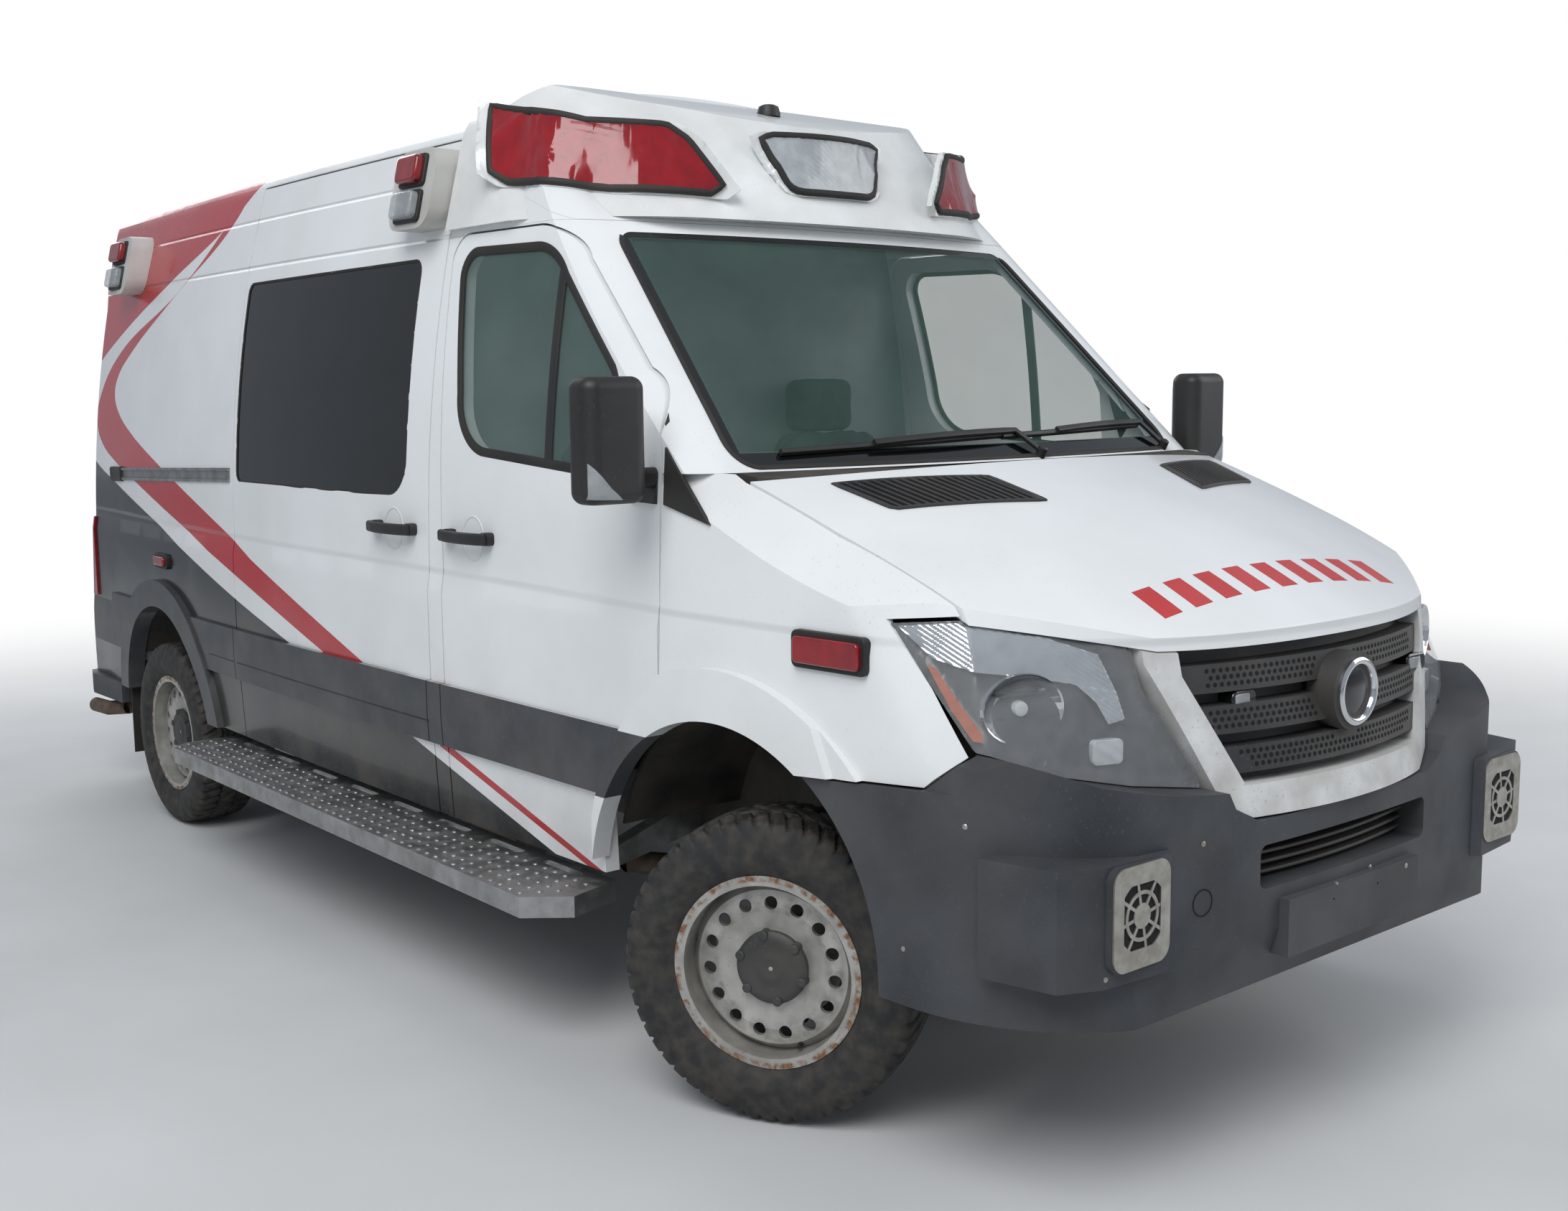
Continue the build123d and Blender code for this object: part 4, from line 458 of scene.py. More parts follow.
class Paint(Enum):
    """Every finish in the scene, by the part it is on."""

    LIVERY = "livery"
    ENAMEL = "enamel"
    SURROUND = "surround"
    BUMPER = "bumper"
    TRIM = "trim"
    GLOSS_BLACK = "gloss_black"
    RUBBER = "rubber"
    GRILLE = "grille"
    CHASSIS = "chassis"
    CAST = "cast"
    TANK = "tank"
    RUST = "rust"
    BOARD = "board"
    INTERIOR = "interior"
    PANEL = "panel"
    DASH = "dash"
    SEAT = "seat"
    SCREEN = "screen"
    CAB_GLASS = "cab_glass"
    DARK_GLASS = "dark_glass"
    BEACON = "beacon"
    RED = "red"
    RED_SOLID = "red_solid"
    CLEAR = "clear"
    LAMP_COVER = "lamp_cover"
    AMBER = "amber"
    CHROME = "chrome"
    RIBBED = "ribbed"
    LAMP_DARK = "lamp_dark"
    STAINLESS = "stainless"
    RAIL = "rail"
    DECAL_RED = "decal_red"
    RIM = "rim"
    TYRE = "tyre"
    CAP = "cap"
    LED = "led"
    VOID = "void"


FINISHES = {
    Paint.ENAMEL: Finish("gloss_enamel_white", "E8EAEA", "DADCDB", 0.22, soil=0.16, coat=0.35, grain_depth_mm=0.01),
    Paint.SURROUND: Finish(
        "gloss_enamel_white_stone_chipped", "E4E6E6", "D8DAD8", 0.30, coat=0.2, patch_mm=60, soil=0.55,
        grain_depth_mm=0.02,
    ),
    Paint.BUMPER: Finish(
        "grained_polypropylene", "3B3F45", "2F3338", 0.58, grain_mm=1.6, grain_depth_mm=0.10, soil=0.14
    ),
    Paint.TRIM: Finish("grained_nylon_black", "1D1E20", "151617", 0.5, grain_mm=1.2, soil=0.08),
    Paint.GLOSS_BLACK: Finish("moulded_acrylic_black", "0E0F10", "131415", 0.12, coat=0.5),
    Paint.RUBBER: Finish("extruded_rubber_black", "141414", "1C1C1C", 0.7, grain_mm=1.0, soil=0.1),
    Paint.GRILLE: Finish("moulded_nylon_charcoal", "2B2D30", "222427", 0.5, grain_mm=1.4, soil=0.22),
    Paint.CHASSIS: Finish("chassis_enamel_black", "1B1B1B", "262422", 0.65, patch_mm=90, grain_mm=5, soil=0.3),
    Paint.CAST: Finish(
        "cast_aluminium", "8A8A86", "6E6C68", 0.55, metallic=0.8, grain_mm=3, grain_depth_mm=0.2, soil=0.5
    ),
    Paint.TANK: Finish("blow_moulded_polyethylene", "222325", "2C2C2C", 0.6, soil=0.45),
    Paint.RUST: Finish(
        "rusted_exhaust_steel", "6E5B4C", "4A3C33", 0.8, metallic=0.3, patch_mm=50, grain_mm=3, soil=0.3
    ),
    Paint.INTERIOR: Finish("moulded_abs_grey", "9A9C9C", "8C8E8F", 0.6, grain_mm=1.2),
    # The partition's white laminate is laid grey: painted shade of the dim cab inside
    Paint.PANEL: Finish("laminate_lining_grey", "A3A7A9", "989C9E", 0.5),
    Paint.DASH: Finish("grained_vinyl_dark_grey", "3F4347", "34373A", 0.6, grain_mm=1.4, grain_depth_mm=0.12),
    Paint.SEAT: Finish("woven_seat_fabric", "33363A", "26282B", 0.9, patch_mm=60, grain_mm=2.2, grain_depth_mm=0.12),
    Paint.CAB_GLASS: Finish(
        "tempered_glass_green_tint", "5F7A72", "58716A", 0.03, 0.01, grain_depth_mm=0.0, alpha=0.34
    ),
    Paint.DARK_GLASS: Finish("privacy_glass", "0B0D0F", "101214", 0.04, 0.01, grain_depth_mm=0.0, alpha=0.94),
    Paint.RED_SOLID: Finish("red_acrylic_opaque", "8E0F18", "7A0D15", 0.18, coat=0.6, patch_mm=40),
    Paint.CHROME: Finish("vapour_chromed_reflector", "DCDEE0", "C8CACC", 0.10, 0.03, metallic=1.0, grain_depth_mm=0.0),
    Paint.LAMP_DARK: Finish("lamp_bezel_grey", "2C2F32", "34373A", 0.28, coat=0.3, grain_depth_mm=0.0),
    Paint.STAINLESS: Finish("brushed_stainless", "B9B6AE", "A29E95", 0.36, metallic=0.9, patch_mm=30, soil=0.25),
    Paint.RAIL: Finish("extruded_aluminium_rail", "A6A8A9", "8C8E8F", 0.40, metallic=0.9, patch_mm=60, soil=0.2),
    Paint.DECAL_RED: Finish("cast_vinyl_red", "C23A3C", "B83033", 0.4, soil=0.1),
    Paint.BEACON: Finish("moulded_polycarbonate_grey", "D5D6D3", "BDBDB8", 0.45, soil=0.35),
    Paint.CAP: Finish("moulded_nylon_cap", "2C2E31", "232527", 0.48, soil=0.25),
    Paint.LED: Finish("led_module_white", "D9DCDD", "C4C8CA", 0.3, grain_mm=4, grain_depth_mm=0.3),
    # Painted shade: matt black that stands for the shade inside the grille's holes, the hood vents, the siren wells
    # and the tow cover's seam
    Paint.VOID: Finish("matt_black_inside", "070707", "0B0B0B", 0.9),
}


class Palette:
    """Makes each material once and hands it out."""

    def __init__(self) -> None:
        """Starts with the special materials."""
        self.made: dict[Paint, bpy.types.Material] = {
            Paint.LIVERY: livery_paint(),
            Paint.SCREEN: tinted_screen(),
            Paint.RIM: rim_enamel(),
            Paint.TYRE: tyre_rubber(),
            Paint.BOARD: board_metal(),
            Paint.RED: lens("red_polycarbonate_lens", "A0101C", 0.82, 6.0, 0.25),
            Paint.CLEAR: lens("clear_polycarbonate_lens", "C9CED1", 0.55, 5.0, 0.3),
            Paint.LAMP_COVER: lens("clear_headlamp_cover", "E2E6E8", 0.10, 60.0, 0.0),
            Paint.AMBER: lens("amber_polycarbonate", "B4521C", 0.97, 4.0, 0.2),
            Paint.RIBBED: lens("ribbed_chrome_optic", "C4C8CB", 1.0, 7.0, 0.9),
        }

    def __getitem__(self, paint: Paint) -> bpy.types.Material:
        """The material of a finish."""
        if paint not in self.made:
            self.made[paint] = FINISHES[paint].build()
        return self.made[paint]


PALETTE = Palette()


def put(
    name: str,
    verts: Array,
    faces: list,
    body: str,
    paint: Paint,
    sharp_deg: float = 35.0,
    bevel_mm: float = 0.0,
    fields: dict[str, Array] | None = None,
) -> bpy.types.Object:
    """Makes a closed smooth-shaded piece that rides on a body.

    Args:
        name: piece name.
        verts: places in metres, one row each.
        faces: vertex numbers of each face.
        body: body it rides on.
        paint: its finish.
        sharp_deg: edges that bend more than this stay sharp.
        bevel_mm: width of a bevel on sharp edges, or 0.
        fields: numbers per vertex for the material to read.

    Returns:
        The piece.
    """
    mesh = bpy.data.meshes.new(name)
    mesh.from_pydata(np.asarray(verts, float).tolist(), [], [list(map(int, f)) for f in faces])
    for key, values in (fields or {}).items():
        mesh.attributes.new(key, "FLOAT", "POINT").data.foreach_set("value", np.asarray(values, np.float32))
    bm = bmesh.new()
    bm.from_mesh(mesh)
    bmesh.ops.remove_doubles(bm, verts=bm.verts, dist=2e-6)
    bmesh.ops.dissolve_degenerate(bm, edges=bm.edges, dist=1e-7)
    bmesh.ops.recalc_face_normals(bm, faces=bm.faces)
    finish_mesh(bm, mesh, sharp_deg)
    piece = bpy.data.objects.new(name, mesh)
    bpy.context.scene.collection.objects.link(piece)
    mesh.materials.append(PALETTE[paint])
    if bevel_mm:
        bevel = piece.modifiers.new("edge", "BEVEL")
        bevel.width, bevel.segments, bevel.limit_method = bevel_mm / 1000, 3, "ANGLE"
        bevel.angle_limit = math.radians(30)
    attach(piece, body)
    log.info("%s: %d faces", name, len(mesh.polygons))
    return piece


def finish_mesh(bm: bmesh.types.BMesh, mesh: bpy.types.Mesh, sharp_deg: float) -> None:
    """Marks sharp edges, shades the faces smooth, and writes the working mesh back."""
    limit = math.radians(sharp_deg)
    for face in bm.faces:
        face.smooth = True
    for edge in bm.edges:
        edge.smooth = len(edge.link_faces) == 2 and edge.calc_face_angle(0.0) < limit
    bm.to_mesh(mesh)
    bm.free()


def dress(
    node: str, paint: Paint, sharp_deg: float = 24.0, axle: tuple[Vector, Vector] | None = None
) -> bpy.types.Object:
    """A welded, smoothly shaded copy of a CAD node in its finish, which stands for the node.

    Args:
        node: CAD node.
        paint: finish.
        sharp_deg: edges that bend more than this stay sharp.
        axle: a point and a direction; each vertex stores its distance from this line.

    Returns:
        The copy.
    """
    mesh = NODES[node].data.copy()
    mesh.materials.clear()
    bm = bmesh.new()
    bm.from_mesh(mesh)
    bmesh.ops.remove_doubles(bm, verts=bm.verts, dist=1e-5)
    finish_mesh(bm, mesh, sharp_deg)
    if mesh.attributes.get("custom_normal"):
        mesh.attributes.remove(mesh.attributes["custom_normal"])
    if axle:
        places = np.empty(len(mesh.vertices) * 3, np.float32)
        mesh.vertices.foreach_get("co", places)
        offset = places.reshape(-1, 3) - np.array(axle[0])
        reach = np.linalg.norm(np.cross(offset, np.array(axle[1])), axis=1)
        mesh.attributes.new("reach", "FLOAT", "POINT").data.foreach_set("value", reach.astype(np.float32))
    piece = bpy.data.objects.new(node + "_skin", mesh)
    bpy.context.scene.collection.objects.link(piece)
    mesh.materials.append(PALETTE[paint])
    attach(piece, BODY_OF[node])
    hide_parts(node)
    return piece


def coat_node(node: str, paint: Paint) -> None:
    """Gives a CAD node that stays as it is its finish."""
    data = NODES[node].data
    data.materials.clear()
    data.materials.append(PALETTE[paint])


def unit(rows: Array) -> Array:
    """Vectors scaled to length 1, row by row."""
    return rows / np.maximum(np.linalg.norm(rows, axis=-1, keepdims=True), 1e-12)


def round_angles(count: int) -> Array:
    """Even angles once round."""
    return np.linspace(0, 2 * np.pi, count, endpoint=False)


def tube_faces(rows: int, around: int, closed: bool) -> list:
    """The faces of a grid whose rows go round: each joins a point, the next of its row, and both of the next row.

    Args:
        rows: number of rows.
        around: points in a row.
        closed: whether the last row joins the first.

    Returns:
        Faces of four vertex numbers.
    """
    grid = np.arange(rows * around).reshape(rows, around)
    here, following = (grid, np.roll(grid, -1, 0)) if closed else (grid[:-1], grid[1:])
    corners = [here, np.roll(here, -1, 1), np.roll(following, -1, 1), following]
    return np.stack(corners, -1).reshape(-1, 4).tolist()


def sweep(path: Rows, up: Rows, profile: Rows, closed: bool) -> tuple[Array, list]:
    """Carries a closed profile along a path: each point is the path's, plus the profile's first number
    along the side direction (tangent cross up) and its second along up.

    Args:
        path: points, one row each.
        up: one direction, or one per point.
        profile: side and up offsets, going round once.
        closed: whether the path's end joins its start.

    Returns:
        Vertices and faces.
    """
    path, profile = np.asarray(path, float), np.asarray(profile, float)
    if closed:
        tangent = np.roll(path, -1, 0) - np.roll(path, 1, 0)
    else:
        tangent = np.gradient(path, axis=0)
    up = np.broadcast_to(np.asarray(up, float), path.shape)
    side = unit(np.cross(unit(tangent), unit(up)))
    rise = unit(np.cross(side, unit(tangent)))
    verts = path[:, None] + side[:, None] * profile[None, :, :1] + rise[:, None] * profile[None, :, 1:2]
    count, around = len(path), len(profile)
    faces = tube_faces(count, around, closed)
    if not closed:
        faces += [list(range(around)), list(range((count - 1) * around, count * around))]
    return verts.reshape(-1, 3), faces


def lathe(profile: Rows, origin: Point | Vector, axis: Point | Vector, steps: int = 48) -> tuple[Array, list]:
    """Turns a closed profile of (along, out) pairs about an axis.

    Args:
        profile: distance along the axis and out from it, going round once.
        origin: point on the axis.
        axis: its direction.
        steps: facets round.

    Returns:
        Vertices and faces.
    """
    axis = Vector(axis).normalized()
    one = axis.orthogonal().normalized()
    two = axis.cross(one)
    angle = round_angles(steps)
    spin = np.cos(angle)[:, None] * np.array(one) + np.sin(angle)[:, None] * np.array(two)
    profile = np.asarray(profile, float)
    verts = np.array(origin) + profile[None, :, :1] * np.array(axis) + profile[None, :, 1:2] * spin[:, None, :]
    return verts.reshape(-1, 3), tube_faces(steps, len(profile), True)


def ring(radius: float, count: int = 10) -> Array:
    """A round profile."""
    angle = round_angles(count)
    return np.stack([np.cos(angle), np.sin(angle)], 1) * radius


def strip(width: float, thick: float) -> Array:
    """A flat profile with slightly rounded shoulders, standing on the surface."""
    w, t = width / 2, thick
    return np.array([(-w, -t * 0.5), (-w, t * 0.6), (-w + t * 0.5, t), (w - t * 0.5, t), (w, t * 0.6), (w, -t * 0.5)])


def rounded(width: float, height: float, corner: float, steps: int = 6) -> Array:
    """A rounded rectangle about the origin, going round once."""
    arcs = []
    for k, (sx, sy) in enumerate(((1, 1), (-1, 1), (-1, -1), (1, -1))):
        angle = np.linspace(k * np.pi / 2, (k + 1) * np.pi / 2, steps)
        across = sx * (width / 2 - corner) + corner * np.cos(angle)
        along = sy * (height / 2 - corner) + corner * np.sin(angle)
        arcs.append(np.stack([across, along], 1))
    return np.concatenate(arcs)


def merge(parts: list[tuple[Array, list]]) -> tuple[Array, list]:
    """Several vertex and face lists as one."""
    verts, faces, base = [], [], 0
    for v, f in parts:
        verts.append(np.asarray(v, float))
        faces += [[base + i for i in face] for face in f]
        base += len(v)
    return np.concatenate(verts), faces


def frame_of(normal: Array, up: Point = UP) -> tuple[Array, Array]:
    """Two directions across a normal: sideways and up."""
    normal = unit(np.asarray(normal, float))
    side = unit(np.cross(np.asarray(up, float), normal))
    return side, np.cross(normal, side)


def prism(
    outline: Array, origin: Array, normal: Array, low: float, high: float, up: Point = UP
) -> tuple[Array, list]:
    """A flat outline at a place, carried along a normal from low to high."""
    side, rise = frame_of(normal, up)
    outline = np.asarray(outline, float)
    flat = np.asarray(origin, float) + outline[:, :1] * side + outline[:, 1:2] * rise
    return slab(flat, normal, low, high)


class Skin:
    """The outer surface of some CAD nodes, to lay trim on."""

    # How far outside the vehicle's middle the rays start, in metres
    RETREAT = 4.0

    def __init__(self, *nodes: str, side: Side | None = None) -> None:
        """Gathers the nodes' triangles.

        Args:
            nodes: CAD nodes.
            side: keeps only what is on this side.
        """
        verts, faces, base = [], [], 0
        for node in nodes:
            data = NODES[node].data
            verts += [v.co.copy() for v in data.vertices]
            kept = (p for p in data.polygons if side is None or p.center.x * side.value > 0)
            faces += [[base + i for i in p.vertices] for p in kept]
            base += len(data.vertices)
        self.tree = BVHTree.FromPolygons(verts, faces)

    @classmethod
    def of(cls, verts: Array, faces: list) -> "Skin":
        """The surface of a mesh made here."""
        skin = cls.__new__(cls)
        skin.tree = BVHTree.FromPolygons(np.asarray(verts, float).tolist(), faces)
        return skin

    def hit(self, origin: Point | Vector, toward: Point | Vector) -> tuple[Vector | None, Vector | None]:
        """Where a ray first meets the surface, and the normal there."""
        place, normal, _, _ = self.tree.ray_cast(Vector(origin), Vector(toward).normalized())
        if normal is not None and normal.dot(Vector(toward)) > 0:
            normal = -normal
        return place, normal

    def lay(self, points: Rows, toward: Point) -> Array:
        """Points moved along a direction onto the surface; those that miss take the nearest other point's depth."""
        toward = unit(np.asarray(toward, float))
        points = np.asarray(points, float)
        starts = points - toward * (points @ toward)[:, None] - toward * self.RETREAT
        depth = np.full(len(points), np.nan)
        for i, start in enumerate(starts):
            place, _ = self.hit(start, toward)
            if place is not None:
                depth[i] = (np.array(place) - start) @ toward
        found = np.isfinite(depth)
        for i in np.flatnonzero(~found):
            near = np.linalg.norm(starts[found] - starts[i], axis=1)
            depth[i] = depth[found][near.argmin()] if len(near) else self.RETREAT
        return starts + toward * depth[:, None]


def grid_fill(outline: Array, step: float) -> tuple[Array, list, Array]:
    """Fills a flat outline with small faces.

    Args:
        outline: flat points going round once.
        step: size of the faces.

    Returns:
        Flat points, faces, and each point's distance from the outline.
    """
    bm = bmesh.new()
    bm.faces.new([bm.verts.new((float(u), float(v), 0.0)) for u, v in outline])
    bmesh.ops.triangulate(bm, faces=bm.faces)
    low, high = outline.min(0), outline.max(0)
    for axis, normal in ((0, (1, 0, 0)), (1, (0, 1, 0))):
        for at in np.arange(low[axis] + step, high[axis], step):
            place = (float(at), 0, 0) if axis == 0 else (0, float(at), 0)
            geom = bm.verts[:] + bm.edges[:] + bm.faces[:]
            bmesh.ops.bisect_plane(bm, geom=geom, plane_co=place, plane_no=normal)
    bm.verts.index_update()
    points = np.array([v.co[:2] for v in bm.verts])
    faces = [[v.index for v in f.verts] for f in bm.faces]
    bm.free()
    start, end = outline, np.roll(outline, -1, 0)
    run = end - start
    share = ((points[:, None] - start) * run).sum(-1) / np.maximum((run**2).sum(-1), 1e-12)
    near = start + np.clip(share, 0, 1)[..., None] * run
    return points, faces, np.linalg.norm(points[:, None] - near, axis=-1).min(1)


def plate(
    skin: Skin,
    outline: Array,
    toward: Point,
    thick: float,
    sink: float = 0.002,
    step: float = 0.03,
    rise: Callable[[Array, Array], Array] | None = None,
    drape: int = 0,
) -> tuple[Array, list]:
    """A plate that lies on a surface: its top is the surface plus a thickness, its foot a little under it.

    Args:
        skin: the surface.
        outline: places whose view along the direction gives the plate's outline.
        toward: the direction the plate is laid along.
        thick: height over the surface in metres.
        sink: depth of its foot under the surface.
        step: face size.
        rise: extra height from distance to the edge and the flat points.
        drape: rounds of stretching it over hollows like a skin.

    Returns:
        Vertices and faces.
    """
    toward = unit(np.asarray(toward, float))
    side, up = frame_of(-toward, UP if abs(toward[2]) < 0.9 else ASTERN)
    outline = np.asarray(outline, float)
    flat = np.stack([outline @ side, outline @ up], 1)
    points, faces, edge = grid_fill(flat, step)
    places = skin.lay(points[:, :1] * side + points[:, 1:2] * up, tuple(toward))
    if drape:
        # Each point rises to the mean of its neighbours, and none sinks under the surface
        pairs = np.array([pair for face in faces for pair in zip(face, face[1:] + face[:1])])
        ground = -(places @ toward)
        level, near = ground.copy(), np.bincount(pairs.ravel(), minlength=len(points))
        for _ in range(drape):
            total = np.bincount(pairs[:, 0], level[pairs[:, 1]], len(points))
            total += np.bincount(pairs[:, 1], level[pairs[:, 0]], len(points))
            level = np.maximum(ground, total / near)
        places = places - toward * (level - ground)[:, None]
    n = len(points)
    extra = rise(edge, points) if rise else np.zeros(n)
    top = places - toward * (np.full(n, thick) + extra)[:, None]
    foot = places + toward * (sink - extra)[:, None]
    count: dict[tuple[int, int], int] = {}
    for face in faces:
        for a, b in zip(face, face[1:] + face[:1]):
            count[(min(a, b), max(a, b))] = count.get((min(a, b), max(a, b)), 0) + 1
    walls = [[a, b, n + b, n + a] for (a, b), times in count.items() if times == 1]
    return np.concatenate([top, foot]), faces + [[n + i for i in face[::-1]] for face in faces] + walls


def slab(corners: Array, away: Point, low: float, high: float) -> tuple[Array, list]:
    """A thin plate through corner places, from low to high along a direction."""
    corners, away = np.asarray(corners, float), unit(np.asarray(away, float))
    n = len(corners)
    sides = [[i, (i + 1) % n, n + (i + 1) % n, n + i] for i in range(n)]
    faces = [list(range(n)), list(range(n, 2 * n))] + sides
    return np.concatenate([corners + away * low, corners + away * high]), faces


def rim_loop(node: str, outward: Point, share: float = 0.5, low_x: float = -9.0, high_x: float = 9.0) -> Array:
    """The outline of a pane's outer face: the longest chain of edges between faces that look outward and the rest.

    Args:
        node: CAD node.
        outward: the way its outer face looks.
        share: cosine over which a face counts as looking outward.
        low_x: lowest X of its faces' middles.
        high_x: highest X of its faces' middles.

    Returns:
        Places going round once.
    """
    bm = bmesh.new()
    bm.from_mesh(NODES[node].data)
    bmesh.ops.remove_doubles(bm, verts=bm.verts, dist=1e-5)
    bm.normal_update()
    out = Vector(outward).normalized()
    front = {f for f in bm.faces if f.normal.dot(out) > share and low_x < f.calc_center_median().x < high_x}
    links: dict[int, list[int]] = {}
    bm.verts.index_update()
    for e in bm.edges:
        if sum(f in front for f in e.link_faces) == 1:
            a, b = (v.index for v in e.verts)
            links.setdefault(a, []).append(b)
            links.setdefault(b, []).append(a)
    bm.verts.ensure_lookup_table()
    best: list[int] = []
    while links:
        start = next(iter(links))
        chain, here = [start], start
        while links.get(here):
            step = links[here].pop()
            links[step].remove(here)
            chain.append(step)
            here = step
        links = {k: v for k, v in links.items() if v}
        best = chain if len(chain) > len(best) else best
    points = np.array([bm.verts[i].co[:] for i in best])
    bm.free()
    keep = np.linalg.norm(points - np.roll(points, 1, 0), axis=1) > 1e-4
    return points[keep]


def resample(loop: Array, spacing: float) -> Array:
    """A closed loop with points at an even spacing."""
    ends = np.concatenate([loop, loop[:1]])
    reach = np.concatenate([[0], np.cumsum(np.linalg.norm(np.diff(ends, axis=0), axis=1))])
    at = np.linspace(0, reach[-1], max(8, int(reach[-1] / spacing)), endpoint=False)
    return np.stack([np.interp(at, reach, ends[:, k]) for k in range(3)], 1)


class Photo:
    """The photograph's camera, for places read off it in pixels of 2184 by 1687."""

    PLACE = np.array((-3.30996, -4.90594, 1.72262))
    VIEW = np.array((0.62749, 0.76821, -0.12690))
    RIGHT = np.array((0.77344, -0.63375, -0.01206))
    UP = np.array((0.08969, 0.09058, 0.99184))
    FOCAL, MIDDLE = 2315.67, (1056.36, 839.66)

    @classmethod
    def ray(cls, px: tuple[float, float]) -> Array:
        """The direction through a pixel."""
        u, v = (px[0] - cls.MIDDLE[0]) / cls.FOCAL, (cls.MIDDLE[1] - px[1]) / cls.FOCAL
        return unit(cls.VIEW + cls.RIGHT * u + cls.UP * v)

    @classmethod
    def on(cls, skin: Skin, pixels: list[tuple[float, float]]) -> Array:
        """Where pixels lie on a surface."""
        spots = []
        for px in pixels:
            place, _ = skin.hit(Vector(cls.PLACE), Vector(cls.ray(px)))
            if place is None:
                along = (Vector(cls.PLACE + cls.ray(px) * reach) for reach in np.arange(2.0, 9.0, 0.02))
                place = min((skin.tree.find_nearest(p) for p in along), key=lambda found: found[3])[0]
            spots.append(place[:])
        return np.array(spots)


def mirrored(points: Array, side: Side) -> Array:
    """Places read on the right flank, moved to the side asked for."""
    points = np.array(points, float)
    return points if side is Side.RIGHT else points * (-1, 1, 1)


WELDED_LIVERY = [
    "door_left", "door_right", "sliding_door", "rear_door_left", "rear_door_right", "side_wall_left",
    "side_wall_right", "roof_panel", "rear_frame", "cab_frame", "hood", "fender_left", "fender_right",
]
WELDED = {
    "roof_fairing": Paint.ENAMEL, "grille_surround": Paint.SURROUND, "front_bumper": Paint.BUMPER,
    "grille": Paint.GRILLE, "siren_pods": Paint.BUMPER, "mirror_left": Paint.TRIM, "mirror_right": Paint.TRIM,
    "windshield": Paint.SCREEN, "door_glass_left": Paint.CAB_GLASS, "door_glass_right": Paint.CAB_GLASS,
    "slider_glass": Paint.DARK_GLASS, "rear_glass_left": Paint.DARK_GLASS, "rear_glass_right": Paint.DARK_GLASS,
    "corner_beacons": Paint.BEACON, "dashboard": Paint.DASH, "steering_wheel": Paint.TRIM, "rear_bumper": Paint.BUMPER,
}
COATED = {
    "underframe": Paint.CHASSIS, "front_structure": Paint.CHASSIS, "front_suspension": Paint.CHASSIS,
    "rear_axle": Paint.CHASSIS, "knuckle_left": Paint.CHASSIS, "knuckle_right": Paint.CHASSIS,
    "drivetrain": Paint.CAST, "fuel_tank": Paint.TANK, "exhaust": Paint.RUST, "running_boards": Paint.BOARD,
    # The partition's grey is painted shade on white laminate
    "mudflaps": Paint.RUBBER, "floor_pan": Paint.INTERIOR, "wheelhouses": Paint.CHASSIS, "partition": Paint.PANEL,
    "tail_lamps": Paint.RED_SOLID, "fairing_lenses": Paint.RED,
}


